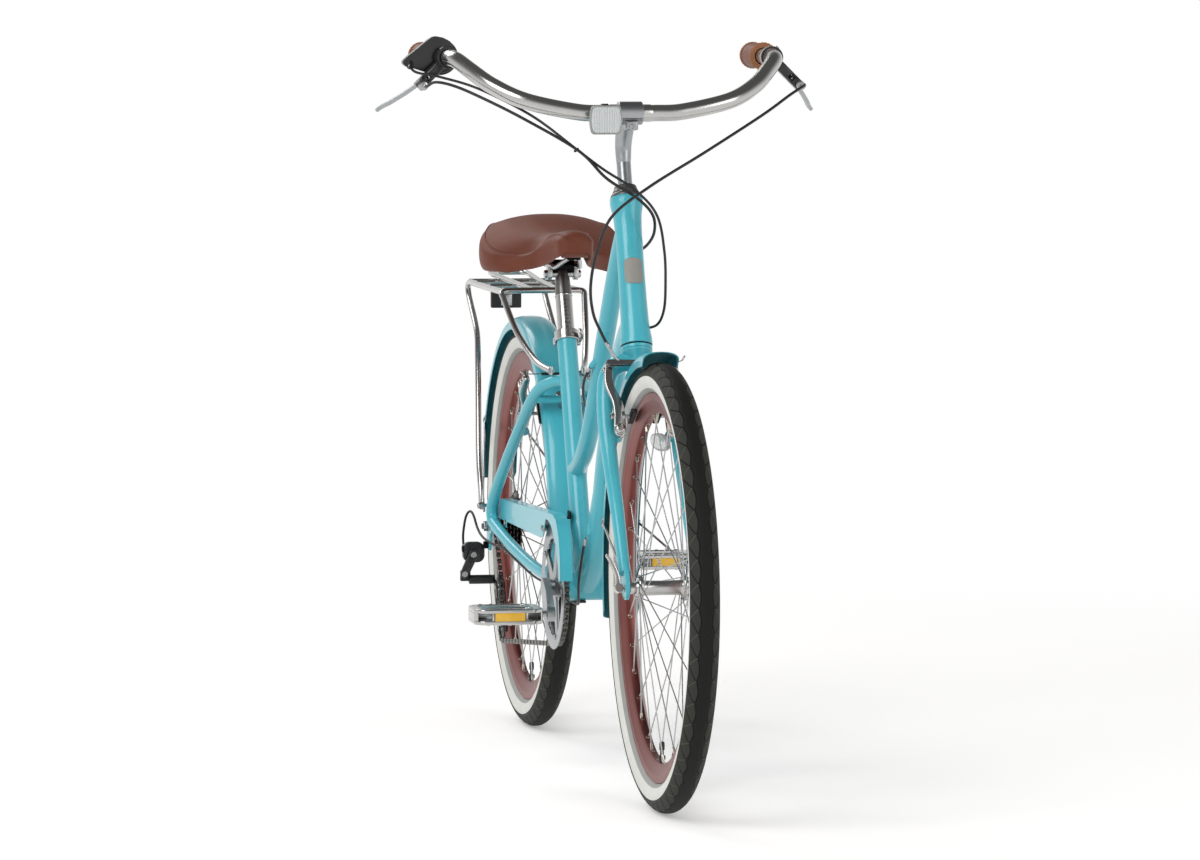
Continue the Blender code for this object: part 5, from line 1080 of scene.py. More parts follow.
def makeLevers():
    for name, side in (("left", 1), ("right", -1)):
        place = barAxes(side, 0.7)
        black = "glossBlackPlastic"
        shapes = [(spun(collar(0.0134, 0.0172, -0.007, 0.007), 44, place), black)]
        # two cheeks, the block between them and the nose that carries the cable's barrel
        for size, centre, ease in (((0.048, 0.0038, 0.021), (0.0395, -0.0055, 0.004), 0.0015),
                ((0.048, 0.0038, 0.021), (0.0395, 0.0055, 0.004), 0.0015),
                ((0.026, 0.0145, 0.012), (0.027, 0, -0.001), 0.0022),
                ((0.018, 0.014, 0.009), (0.056, 0, -0.003), 0.0022)):
            shapes += [(moved(easedBox(size, centre, ease), place), black)]
        pin = spun(collar(0, 0.003, -0.0078, 0.0078, 0.0006, 0.0006), 20,
            place @ at((leverShape["pivotOut"], 0, leverShape["pivotBack"])) @ toY)
        shapes += [(pin, "drawnStainless")]
        barrel = mm((0, 0), (4, 0))
        for i in range(9):
            barrel += [(0.0066, 0.0008 + i * 0.0016), (0.006, 0.0016 + i * 0.0016)]
        barrel += mm((4.8, 17), (4.6, 24), (0, 24))
        shapes += [(spun(barrel, 28, place @ at((leverShape["barrelOut"], 0, -0.03))),
            "drawnStainless"), (boltHead(place @ Vector((-0.004, -0.0155 * side, 0)),
            place.to_3x3() @ Vector((0, -side, 0)), 0.0036, 0.0026), "drawnStainless")]
        finishPiece(f"{name}LeverBracket", shapes, "steering", [f"{name}_lever_bracket"])
        outline = smoothLoop(leverShape["blade"], 66)
        hole = ringPoints(leverShape["pivotBack"], leverShape["pivotOut"], 0.0032, 16)
        turn = Matrix(((0, 1, 0, 0), (0, 0, 1, -0.0029), (1, 0, 0, 0), (0, 0, 0, 1)))
        blade = plate(outline, 0.0058, [hole], 0.0016, place @ turn, 3)
        tip = spun(mm((0, -2.9), (4.6, -2.6), (5.2, 0), (4.6, 2.6), (0, 2.9)), 24,
            place @ turn @ at((0.1265, 0.114, 0.0029)))
        finishPiece(f"{name}BrakeLever", [(blade, "brushedAluminium"), (tip, "brushedAluminium")],
            f"{name}_lever", [f"{name}_brake_lever"])


def makeShifter():
    place = barAxes(-1, 0.672)
    ring = mm((13.4, 0), (20.5, 0), (21.5, 0.8), (23.2, 3.6), (23.6, 5), (23.6, 15.5),
        (22.8, 16.5), (13.4, 16.5))
    shapes = [(spun(ring, 56, place), "blackNylon")]
    wedge = smoothLoop(mm((-314.4, 1098), (-310.5, 1089.2), (-295, 1085), (-280, 1080.3),
        (-262, 1078.4), (-243, 1085), (-238, 1105), (-240, 1123.5), (-250, 1131), (-257.7, 1133.5),
        (-270.2, 1133.5), (-292, 1117)), 73)
    stand = Matrix(((0, 0, 1, 0.657), (1, 0, 0, 0), (0, 1, 0, 0), (0, 0, 0, 1)))
    shapes += [(plate(wedge, 0.0175, (), 0.003, stand, 4), "glossBlackPlastic")]
    barrel = []
    for i in range(7):
        barrel += [(0.0052, i * 0.0018), (0.0046, 0.0009 + i * 0.0018)]
    barrel = [(0, 0)] + barrel + mm((4, 13), (0, 13))
    shapes += [(spun(barrel, 24, at((0.686, -0.3059, 1.0893)) @ aimed((-0.9, 0.08, 0.41))),
        "blackNylon")]
    finishPiece("shifterHousingAndWindow", shapes, "steering", ["shifter_housing"])
    # the turning sleeve: ribbed rubber over its middle, a plain band at its mouth
    profile = mm((13.2, 17.3), (26.2, 17.3), (27, 18.2), (27.6, 22.6))
    ribs = 13
    for i in range(ribs):
        base = 0.024 + i * 0.0036
        swell = 0.0276 - 0.006 * (i / (ribs - 1)) ** 1.7
        profile += [(swell - 0.001, base), (swell + 0.0002, base + 0.0008),
            (swell + 0.0002, base + 0.0022), (swell - 0.001, base + 0.003)]
    profile += mm((20.6, 72.2), (20.5, 74.2), (19.6, 75.2), (13.2, 75.2))
    finishPiece("shifterTwistGrip", [(spun(profile, 72, place), "blackNylon")], "shifter",
        ["shifter_grip"], 25)


def bulgedOutline(halfY, halfZ, bulge):
    # upright sides that swell in the middle, with rounded corners
    right = [(halfY - 0.004, -halfZ), (halfY - 0.001, -halfZ + 0.002)]
    right += [(halfY + bulge * (1 - k * k), halfZ * 0.84 * k)
        for k in (i / 6 - 1 for i in range(13))]
    right += [(halfY - 0.001, halfZ - 0.002), (halfY - 0.004, halfZ)]
    return right + [(-y, z) for y, z in reversed(right)]


def makeFrontReflector():
    middle = Vector((0, -0.0445, 1.0105))
    stand = Matrix(((0, 0, 1, 0), (1, 0, 0, middle.y), (0, 1, 0, middle.z), (0, 0, 0, 1)))
    shell = plate(bulgedOutline(0.0222, 0.0215, 0.0024), 0.0075, (), 0.0016,
        at((0.8965, 0, 0)) @ stand, 3)
    face = plate(bulgedOutline(0.02, 0.019, 0.0022), 0.0016, (), 0.0004,
        at((0.9036, 0, 0)) @ stand, 1)
    shapes = [(shell, "greyPlastic"), (face, "clearLens")]
    for i in range(11):
        y = middle.y + (i - 5) * 0.0038
        reach = 0.0184 if abs(i - 5) < 5 else 0.0164
        shapes += [(rod((0.9052, y, middle.z - reach), (0.9052, y, middle.z + reach), 0.0011, 8),
            "clearLens")]
    arm = sweep(smoothRoute(mm((872, -30, 1013.5), (884, -31, 1012.5), (898, -36, 1011)), 12),
        0.0034, 16)
    band = spunY(collar(0.0127, 0.0144, -0.005, 0.005, 0.0004, 0.0006), 40,
        barMiddle + Vector((0, -0.0385, 0)))
    shapes += [(arm, "blackNylon"), (band, "blackNylon")]
    finishPiece("frontReflectorLens", shapes, "steering", ["front_reflector"])


# Seat post, saddle and their clamps

# a row: X, half width, crown height, seam's distance out and height, skirt's lower edge
saddleShape = {"rows": mm((129, 44, 832, 36, 827, 804), (132, 62, 838, 50, 831, 796),
        (140, 90, 845, 78, 833, 780), (155, 108, 848, 95, 830, 768),
        (180, 117, 845, 107, 816, 760), (210, 116, 838, 106, 801, 758),
        (235, 106, 831, 95, 793, 758), (255, 90, 826, 78, 789.5, 757),
        (272, 70, 823, 58, 789.5, 761.5), (288, 55, 822, 42, 795.5, 764),
        (305, 43, 822.5, 33, 807, 768), (330, 36, 825, 28, 817, 772.5),
        (360, 32, 827.5, 25, 821.5, 778.5), (385, 31, 828.5, 23.5, 823, 784),
        (400, 29, 827, 20.5, 821.5, 786.5), (408.5, 24.5, 823.5, 17.5, 818.5, 790),
        (412, 19, 818, 14, 814.5, 793)),
    "rowSteps": 5, "pipingRadius": 0.0009, "stitchPitch": 0.0046, "stitchDrop": 0.0032}


def smoothRows(rows, steps):
    ends = [rows[0], *rows, rows[-1]]
    fine = []
    for a, b, c, d in zip(ends, ends[1:], ends[2:], ends[3:]):
        for k in range(steps):
            fine.append([curveBetween(*row, k / steps) for row in zip(a, b, c, d)])
    return fine + [list(rows[-1])]


def saddleSection(x, half, top, seamY, seamZ, low):
    # one cross-section: crown out to the seam, then down the skirt and under it
    base = min(0.8005, low + 0.045) if half > 0.03 else low
    fall, skirt = top - seamZ, seamZ - low
    crown = [(-0.3 * seamY, top - 0.06 * fall, 0), (0, top, 0),
        (0.3 * seamY, top - 0.06 * fall, 0), (0.62 * seamY, top - 0.34 * fall, 0),
        (0.86 * seamY, top - 0.72 * fall, 0), (seamY, seamZ, 0)]
    crown = smoothRoute([p for p in smoothRoute(crown, 34) if p.x > 0.004 * seamY], 26)
    side = [(seamY, seamZ, 0), (0.985 * half, seamZ - 0.24 * skirt, 0),
        (half, seamZ - 0.52 * skirt, 0), (0.985 * half, low + 0.18 * skirt, 0),
        (0.94 * half, low + 0.01 * skirt, 0), (0.88 * half, low + 0.001, 0),
        (0.82 * half, low + 0.006, 0), (0.7 * half, low + 0.5 * (base - low), 0),
        (0.52 * half, base, 0), (0.26 * half, base, 0)]
    right = [(p.x, p.y) for p in crown + smoothRoute(side, 34)[1:]]
    ring = [(0.0, top)] + right + [(0.0, base)] + [(-y, z) for y, z in reversed(right)]
    return [(x, y, z) for y, z in ring]


def makeSaddle():
    bm = bmesh.new()
    rows = smoothRows(saddleShape["rows"], saddleShape["rowSteps"])
    loops = loft(bm, [saddleSection(*row) for row in rows])
    for ends in (loops[0], loops[-1]):
        face = bmesh.ops.contextual_create(bm, geom=ends)["faces"]
        middle = bmesh.ops.poke(bm, faces=face)["verts"][0]
        middle.co.x += -0.003 if ends is loops[0] else 0.0015
    bmesh.ops.recalc_face_normals(bm, faces=bm.faces)
    # a welt of the same leather is sewn in where the crown meets the skirt
    left = [Vector((x, seamY, seamZ)) for x, half, top, seamY, seamZ, low in rows[1:-1]]
    roundSeam = left + [Vector((p.x, -p.y, p.z)) for p in reversed(left)]
    welt = sweep(smoothRoute(roundSeam, 260, True), saddleShape["pipingRadius"], 10, True)
    tree = BVHTree.FromBMesh(bm)
    stitches = []
    for side in (1, -1):
        route = smoothRoute([Vector((p.x, side * p.y, p.z)) for p in left], 400)
        gone, pen = 0.0, 0.0
        for last, place in zip(route, route[1:]):
            gone += (place - last).length
            if gone - pen < saddleShape["stitchPitch"]:
                continue
            pen = gone
            run = (place - last).normalized() * 0.0015
            low = place + Vector((0, 0, -saddleShape["stitchDrop"]))
            ends = [tree.find_nearest(low + run * k) for k in (-1, 1)]
            stitches.append(sweep([hit[0] + hit[1] * 0.0001 for hit in ends], 0.0004, 6))
    shapes = [(bm, "brownLeather"), (welt, "brownLeather"), (together(stitches), "brownThread")]
    saddle = finishPiece("saddleCover", shapes, "seat_height", ["saddle"], 50)


def makeSeat():
    low, top = seatTop - 0.125, 0.517
    profile = [(0, low), (0.0133, low), (0.0133, top - 0.033), (0, top - 0.033)]
    neck = raised(top, (0, -33.6), (13.3, -33), (12.8, -20), (11.2, 1), (10.4, 12), (0, 12))
    shapes = [(spun(profile, 56, seatPlace), "polishedAluminium"),
        (spun(neck, 56, seatPlace), "darkZincSteel"),
        (spun(raised(top, (12, -33.4), (14, -33.4), (14.2, -32.9), (14.2, -31.3), (13.9, -30.8),
        (12, -30.8)), 56, seatPlace), "polishedAluminium")]
    for i in range(9):
        # plain height marks cut across the front of the post
        mark = easedBox((0.0006, 0.006 if i % 2 else 0.009, 0.0007),
            (0.0131, 0, top - 0.042 - i * 0.0065), 0.0001, 1)
        shapes += [(moved(mark, seatPlace), "satinBlackSteel")]
    finishPiece("seatPost", shapes, "seat_height", ["seatpost"])
    head = seatPlace @ Vector((0, 0, top))
    centre = Vector((head.x, 0, head.z + 0.019))
    bolt = centre - Vector((0, 0, 0.0135))
    steel = "satinBlackSteel"
    barrel = mm((0, -18), (9.6, -18), (9.6, 18), (0, 18))
    shapes = [(spunY(barrel, 40, centre), steel)]
    for side in (1, -1):
        # forged cheek from the rail down to its bolt
        cheek = barOutline((centre.x, centre.z), (bolt.x, bolt.z), 0.0078, 0.0098, 16)
        shapes += [(sidePlate(cheek, 0.007, side * 0.0212, (), 0.0018, 3), "polishedAluminium"),
            (boltHead(bolt + Vector((0, side * 0.0246, 0)), (0, side, 0), 0.0064, 0.0052, False),
            "drawnStainless"), (rod(bolt, bolt + Vector((0, side * 0.026, 0)), 0.0058, 24),
            "drawnStainless")]
        rail = [*mm((388, 8, 785), (372, 12, 780), (335, 20, 769)),
            (0.31, 0.0215, head.z + 0.0195), (0.25, 0.022, head.z + 0.0195),
            *mm((225, 27, 776), (205, 34, 789), (192, 36, 795.5))]
        shapes += [(sweep(smoothRoute([(x, side * y, z) for x, y, z in rail], 60), 0.0035, 18),
            "drawnStainless")]
    shapes += [(easedBox((0.012, 0.02, 0.005), (0.387, 0, 0.7845), 0.0015, 3), steel),
        (easedBox((0.012, 0.084, 0.004), (0.196, 0, 0.794), 0.0015, 3), steel)]
    finishPiece("saddleRailsAndClamp", shapes, "seat_height", ["saddle_rails"])
    ring = collar(0.016, 0.0192, seatTop - 0.014, seatTop + 0.002)
    mid = seatTop - 0.006
    shapes = [(spun(ring, 56, seatPlace), "polishedAluminium")]
    for y in (-0.0062, 0.0062):
        ear = easedBox((0.014, 0.0092, 0.012), (-0.023, y, mid), 0.002, 3)
        shapes += [(moved(ear, seatPlace), "polishedAluminium")]
    bolt = rod((-0.024, -0.015, mid), (-0.024, 0.0128, mid), 0.0033, 16)
    shapes += [(moved(bolt, seatPlace), "drawnStainless")]
    nut = spun(mm((0, -17), (5.2, -17), (6.2, -16), (6.2, -12), (5.6, -11), (0, -11)), 28,
        seatPlace @ at((-0.024, 0, mid)) @ toY)
    shapes += [(nut, "polishedAluminium")]
    finishPiece("seatCollar", shapes, "root", ["seat_collar"])
    cam = spun(collar(0, 0.0066, -0.006, 0.006, 0.0008, 0.0008), 32,
        seatPlace @ at((-0.024, 0.02, mid)))
    outline = mm((-24, 16), (-10, 20.5), (10, 21.5), (24, 15), (27, 16.5), (23, 21.5), (10, 26.5),
        (-10, 26.5), (-24, 25))
    blade = plate(smoothLoop(outline, 40), 0.008, (), 0.0012, seatPlace @ at((0, 0, mid - 0.004)),
        3)
    finishPiece("seatQuickReleaseLever", [(cam, "polishedAluminium"),
        (blade, "polishedAluminium")], "seat_lever", ["seat_quick_release_lever"])


# Chain guard, cranks and pedals

guardShape = {"y": -0.0605, "lip": 0.019, "wall": 0.0014,
    "outer": mm((20, 373.7), (50, 379), (300, 386), (500, 392), (545, 391), (575, 380), (594, 358),
        (605, 325), (607, 294))}


def makeGuard():
    outerRoute = smoothRoute([Vector((x, z, 0)) for x, z in guardShape["outer"]], 64)
    arc = ringPoints(crankAxle.x, crankAxle.z, 0.106, 30, radians(10), radians(86))
    outline = mm((14, 346), (13.6, 360), (15, 370))
    outline += [(p.x, p.y) for p in outerRoute] + arc + mm((455, 352), (430, 347))
    panel = sidePlate(outline, guardShape["wall"], guardShape["y"], (), 0.0004, 1)
    shapes = [(panel, "turquoiseEnamel")]
    rings = []
    inner, outer = guardShape["y"] - 0.0006, guardShape["y"] + guardShape["lip"]
    for i, point in enumerate(outerRoute):
        ahead = outerRoute[min(i + 1, len(outerRoute) - 1)] - outerRoute[max(i - 1, 0)]
        inward = Vector((ahead.y, -ahead.x, 0)).normalized() * guardShape["wall"]
        rings.append([(point.x + inward.x * k, y, point.y + inward.y * k) for k,
            y in ((0.0, inner), (0.0, outer), (1.0, outer), (1.0, inner))])
    bm = bmesh.new()
    loops = loft(bm, rings)
    for ends in (loops[0], loops[-1]):
        bmesh.ops.contextual_create(bm, geom=ends)
    bmesh.ops.recalc_face_normals(bm, faces=bm.faces)
    shapes += [(easedEdges(bm, 0.0004, 1, 50.0), "turquoiseEnamel"),
        (easedBox((0.016, 0.0012, 0.014), (0.104, guardShape["y"], 0.343), 0.0005, 1),
        "turquoiseEnamel"), (easedBox((0.022, 0.043, 0.002), (0.452, -0.0392, 0.3795), 0.0006, 1),
        "satinBlackSteel"), (easedBox((0.022, 0.002, 0.012), (0.452, -0.019, 0.385), 0.0006, 1),
        "satinBlackSteel")]
    for x, z in mm((104, 344), (452, 364)):
        shapes += [(boltHead((x, guardShape["y"] - 0.0006, z), (0, -1, 0), 0.0052, 0.0026),
            "drawnStainless")]
    finishPiece("chainGuardPanel", shapes, "root", ["chain_guard"])


drive = {"pitch": 0.0127, "ringTeeth": 44, "cogs": (14, 16, 18, 20, 22, 24, 28), "cogY": -0.056,
    "cogStep": 0.005, "ringY": -0.0445, "pulleyTeeth": 11, "upperPulley": (0.014, 0.23),
    "cageLength": 0.07, "links": 116, "crankLength": 0.17, "crankDrop": radians(8.4),
    "pedalY": 0.155}


def pitchRadius(teeth):
    return drive["pitch"] / (2 * sin(pi / teeth))


def chainRoute(cageAngle):
    upper = drive["upperPulley"]
    lower = (upper[0] + drive["cageLength"] * sin(cageAngle),
        upper[1] - drive["cageLength"] * cos(cageAngle))
    wheels = [((0.0, axleHeight), drive["cogs"][0], -1, drive["cogY"]),
        ((crankAxle.x, crankAxle.z), drive["ringTeeth"], -1, drive["ringY"]),
        (lower, drive["pulleyTeeth"], -1, drive["cogY"]),
        (upper, drive["pulleyTeeth"], 1, drive["cogY"])]
    runs = []
    for i, (centre, teeth, turn, y) in enumerate(wheels):
        other, otherTeeth, otherTurn, otherY = wheels[(i + 1) % 4]
        dx, dz = other[0] - centre[0], other[1] - centre[1]
        length = hypot(dx, dz)
        offset = otherTurn * pitchRadius(otherTeeth) - turn * pitchRadius(teeth)
        runs.append((atan2(dz, dx) - asin(offset / length),
            sqrt(length * length - offset * offset)))
    steps, total = [], 0.0
    for i, (centre, teeth, turn, y) in enumerate(wheels):
        arrive, leave = runs[i - 1][0], runs[i][0]
        share = (leave - arrive) * turn % (2 * pi) * teeth / (2 * pi)
        steps.append(("arc", total, share, centre, teeth, turn, y, arrive - turn * pi / 2))
        total += share
        radius, angle = pitchRadius(teeth), leave - turn * pi / 2
        place = (centre[0] + radius * cos(angle), centre[1] + radius * sin(angle))
        length = runs[i][1] / drive["pitch"]
        steps.append(("run", total, length, place, leave, y, wheels[(i + 1) % 4][3]))
        total += length
    return steps, total, lower


def fitChain():
    # the cage angle at which the chain closes on its whole count of links
    low, high = radians(-5), radians(60)
    for _ in range(60):
        middle = (low + high) / 2
        if (chainRoute(middle)[1] - drive["links"]) * (chainRoute(low)[1] - drive["links"]) > 0:
            low = middle
        else:
            high = middle
    steps, _, lower = chainRoute(low)
    return steps, lower


chainSteps, lowerPulley = fitChain()


def chainPoint(at):
    for step in chainSteps:
        if at <= step[1] + step[2] + 1e-09:
            gone = at - step[1]
            if step[0] == "arc":
                centre, teeth, turn, y, start = step[3:]
                angle = start + turn * gone * 2 * pi / teeth
                radius = pitchRadius(teeth)
                return Vector((centre[0] + radius * cos(angle), y,
                    centre[1] + radius * sin(angle)))
            place, heading, fromY, nextY = step[3:]
            share = gone / step[2]
            return Vector((place[0] + gone * drive["pitch"] * cos(heading),
                fromY + (nextY - fromY) * share, place[1] + gone * drive["pitch"] * sin(heading)))
    return chainPoint(0.0)


def firstRoller(index):
    step = chainSteps[2 * index]
    pin = chainPoint(ceil(step[1] + 1e-06))
    return atan2(pin.z - step[3][1], pin.x - step[3][0])


def sprocketOutline(teeth, phase, tip=0.003):
    # a round seat for each roller, and a slim tooth between two seats
    pitch = pitchRadius(teeth)
    points = []
    for i in range(teeth):
        roller = phase + i * 2 * pi / teeth
        seat = Vector((pitch * cos(roller), pitch * sin(roller)))
        out = seat.normalized()
        aside = Vector((-out.y, out.x))
        for turn in (-70, -35, 0, 35, 70):
            angle = radians(turn)
            spot = seat - out * 0.0042 * cos(angle) + aside * 0.0042 * sin(angle)
            points.append((spot.x, spot.y))
        middle = roller + pi / teeth
        for lean in (-0.0007, 0.0007):
            angle = middle + lean / pitch
            points.append(((pitch + tip) * cos(angle), (pitch + tip) * sin(angle)))
    return points


def shifted(outline, x, z):
    return [(px + x, pz + z) for px, pz in outline]


def barOutline(a, b, ra, rb, count=12):
    angle = atan2(b[1] - a[1], b[0] - a[0])
    lean = acos(max(-1, min(1, (ra - rb) / dist(a, b))))
    return ringPoints(b[0], b[1], rb, count, angle - lean, 2 * lean) + ringPoints(a[0], a[1], ra,
        count, angle + lean, 2 * pi - 2 * lean)


def makeChain():
    # outer and inner links in turn: waisted side plates, a roller and a riveted pin at each
    outline = []
    half = drive["pitch"] / 2
    for side in (1, -1):
        for degrees in (-105, -60, -20, 20, 60, 105):
            angle = radians(degrees)
            outline.append((side * (half + 0.004 * cos(angle)), side * 0.004 * sin(angle)))
        outline.append((0.0, side * 0.0027))
    plates, rollers = [], []
    pins = [chainPoint(i) for i in range(drive["links"])]
    flat = plate(outline, 0.0008)
    for i, pin in enumerate(pins):
        after = pins[(i + 1) % drive["links"]]
        ahead = (after - pin).normalized()
        side = Vector((0, 1, 0))
        up = side.cross(ahead).normalized() * -1
        place = axesAt((pin + after) / 2, ahead, up, ahead.cross(up))
        gap = 0.0026 if i % 2 else 0.0017
        plates.append(copied(flat, place @ at((0, 0, gap))))
        plates.append(copied(flat, place @ at((0, 0, -gap - 0.0008))))
        rollers.append(rod(pin + Vector((0, -0.0016, 0)), pin + Vector((0, 0.0016, 0)), 0.0038,
            12))
        rollers.append(rod(pin + Vector((0, -0.0037, 0)), pin + Vector((0, 0.0037, 0)), 0.0017, 8))
    flat.free()
    finishPiece("chainLinks", [(together(plates), "oiledChainSteel"),
        (together(rollers), "oiledChainSteel")], "root", ["chain"])


def makeFreewheel():
    body = raised(drive["cogY"], (13, -2.2), (18, -2.2), (18.5, -1.6), (18.5, 2), (21, 2.8),
        (29, 15), (34, 28), (34, 30), (13, 30))
    shapes = [(spunY(body, 48, rearAxle), "satinBlackSteel")]
    for i, teeth in enumerate(drive["cogs"]):
        phase = firstRoller(0) if i == 0 else 0.1 * i
        outline = shifted(sprocketOutline(teeth, phase, 0.0026), 0, axleHeight)
        hole = ringPoints(0, axleHeight, 0.015 if i == 0 else pitchRadius(teeth) * 0.62, 32)
        shapes += [(sidePlate(outline, 0.0018, drive["cogY"] + i * drive["cogStep"], [hole],
            0.0002, 1), "oiledChainSteel")]
    finishPiece("freewheelCogs", shapes, "freewheel", ["freewheel"], 30)


def makeCranks():
    x, z = crankAxle.x, crankAxle.z
    ring = shifted(sprocketOutline(drive["ringTeeth"], firstRoller(1)), x, z)
    inner = ringPoints(x, z, 0.076, 60)
    shapes = [(sidePlate(ring, 0.002, drive["ringY"], [inner], 0.0003, 1), "darkZincSteel")]
    # five-armed spider
    for i in range(5):
        angle = radians(72 * i)
        tip = (x + 0.08 * cos(angle), z + 0.08 * sin(angle))
        arm = sidePlate(barOutline((x, z), tip, 0.015, 0.0075), 0.004, drive["ringY"] - 0.0032, (),
            0.001, 2)
        shapes += [(arm, "brushedAluminium"), (rod((tip[0], -0.0442, tip[1]),
            (tip[0], -0.0526, tip[1]), 0.0035, 16), "drawnStainless"),
            (boltHead((tip[0], -0.0524, tip[1]), (0, -1, 0), 0.0046, 0.0014), "drawnStainless")]
    hub = mm((13, -50), (22, -50), (23.5, -48.5), (23.5, -45), (22, -43.8), (13, -43.8))
    shapes += [(spunY(hub, 48, crankAxle), "brushedAluminium")]
    guard = mm((76, -50.6), (76.6, -51.2), (86, -52.3), (94, -52.4), (97.2, -52), (97.5, -51),
        (96.8, -50.4), (76, -50.4))
    shapes += [(spunY(guard, 128, crankAxle), "brushedAluminium")]
    finishPiece("chainringAndSpider", shapes, "crank", ["chainring"], 30)
    for name, side, turn in (("right", -1, -drive["crankDrop"]),
            ("left", 1, pi - drive["crankDrop"])):
        eye = (x + drive["crankLength"] * cos(turn), z + drive["crankLength"] * sin(turn))
        arm = sidePlate(barOutline((x, z), eye, 0.015, 0.012, 18), 0.012, 0, (), 0.003, 4)
        bmesh.ops.bisect_plane(arm, geom=arm.verts[:] + arm.edges[:] + arm.faces[:],
            plane_co=((x + eye[0]) / 2, 0, (z + eye[1]) / 2), plane_no=(cos(turn), 0, sin(turn)))
        for vert in arm.verts:
            gone = min(1.0, hypot(vert.co.x - x, vert.co.z - z) / drive["crankLength"])
            waist = 1.0 - 0.16 * sin(pi * gone) ** 2
            vert.co.y = side * (0.06 + 0.025 * gone) + vert.co.y * waist
        shapes = [(arm, "brushedAluminium")]
        boss = mm((0, 38), (12.5, 38), (13, 39), (13, 56), (14.2, 60), (14.2, 65.5), (12.5, 66.8),
            (8.5, 66.8), (8, 65), (0, 65))
        flip = Matrix() if side > 0 else Matrix.Rotation(pi, 4, "Z")
        shapes += [(spun(boss, 48, at(crankAxle) @ flip @ toY), "brushedAluminium"),
            (boltHead((x, side * 0.0645, z), (0, side, 0), 0.0074, 0.0016), "satinBlackSteel")]
        eyeRing = spun(collar(0.0046, 0.0092, 0.0784, 0.0914, 0.0008, 0.0008), 32,
            at((eye[0], 0, eye[1])) @ flip @ toY)
        shapes += [(eyeRing, "brushedAluminium")]
        if side > 0:
            shapes += [(rod((x, -0.058, z), (x, 0.05, z), 0.0085, 24), "drawnStainless")]
        finishPiece(f"{name}CrankArm", shapes, "crank", [f"{name}_crank"])
        makePedal(name, side, eye)


pedalShape = {"halfX": 0.045, "halfY": 0.0535, "corner": 0.02, "height": 0.024, "windowX": 0.013,
    "windowY": 0.033, "windowShift": 0.0245}


def roundedOutline(halfX, halfY, corner, count):
    points = []
    for cx, cy, start in ((1, 1, 0), (-1, 1, 90), (-1, -1, 180), (1, -1, 270)):
        points += ringPoints(cx * (halfX - corner), cy * (halfY - corner), corner, count,
            radians(start), radians(90))
    return points


def makePedal(name, side, eye):
    middle = Vector((eye[0], side * drive["pedalY"], eye[1]))
    shape = pedalShape
    windows = [[(x + shift, y) for x, y in roundedOutline(shape["windowX"], shape["windowY"],
        0.006, 6)] for shift in (-shape["windowShift"], shape["windowShift"])]
    place = at(middle)
    outline = roundedOutline(shape["halfX"], shape["halfY"], shape["corner"], 12)
    rim, gap = 0.0066, shape["height"] - 2 * 0.0066
    shapes = []
    for low in (-shape["height"] / 2, shape["height"] / 2 - rim):
        shapes += [(plate(outline, rim, windows, 0.0018, place @ at((0, 0, low)), 3),
            "polishedAluminium")]
    for across in (1, -1):
        # closed end, and the web between the two openings in the front and back edges
        end = [(x, y) for x, y in outline if y * across > shape["halfY"] - 0.0068]
        shapes += [(plate(end, gap + 0.001, (), 0.0006, place @ at((0, 0, -gap / 2 - 0.0005)), 1),
            "polishedAluminium")]
        web = easedBox((0.0068, 0.056, gap + 0.001), (across * 0.0408, 0, 0), 0.0008, 2)
        shapes += [(moved(web, place), "polishedAluminium")]
    barrel = collar(0, 0.0115, -0.05, 0.05, 0.0007, 0.001)
    shapes += [(spunY(barrel, 36, middle), "brushedAluminium")]
    spindle = rod((0, -side * 0.0636, 0), (0, -side * 0.04, 0), 0.0045, 20)
    flats = rod((0, -side * 0.058, 0), (0, -side * 0.052, 0), 0.0078, 6)
    shapes += [(moved(spindle, place), "drawnStainless"), (moved(flats, place), "drawnStainless")]
    cap = spun(mm((0, 0), (7.2, 0), (7.8, -1), (7.8, -2), (0, -2)), 28,
        place @ at((0, side * 0.052, 0)) @ (Matrix() if side > 0 else Matrix.Rotation(pi, 4, "X"))
        @ toY)
    shapes += [(cap, "blackNylon")]
    for ahead in (1, -1):
        # amber reflector in the front and back edge, in a dark frame
        face = ahead * (shape["halfX"] - 0.0016)
        bezel = easedBox((0.0026, 0.05, 0.016), (face, 0, 0), 0.001, 2)
        lens = easedBox((0.002, 0.047, 0.0128), (face + ahead * 0.001, 0, 0), 0.0008, 2)
        shapes += [(moved(bezel, place), "blackNylon"), (moved(lens, place), "amberLens")]
        for up in (1, -1):
            for i in range(5):
                stud = easedBox((0.003, 0.0052, 0.0016),
                    (ahead * 0.0405, (i - 2) * 0.0165, up * 0.0122), 0.0006, 1)
                shapes += [(moved(stud, place), "polishedAluminium")]
    finishPiece(f"{name}PedalCage", shapes, f"{name}_pedal", [f"{name}_pedal"])


# Rim brakes

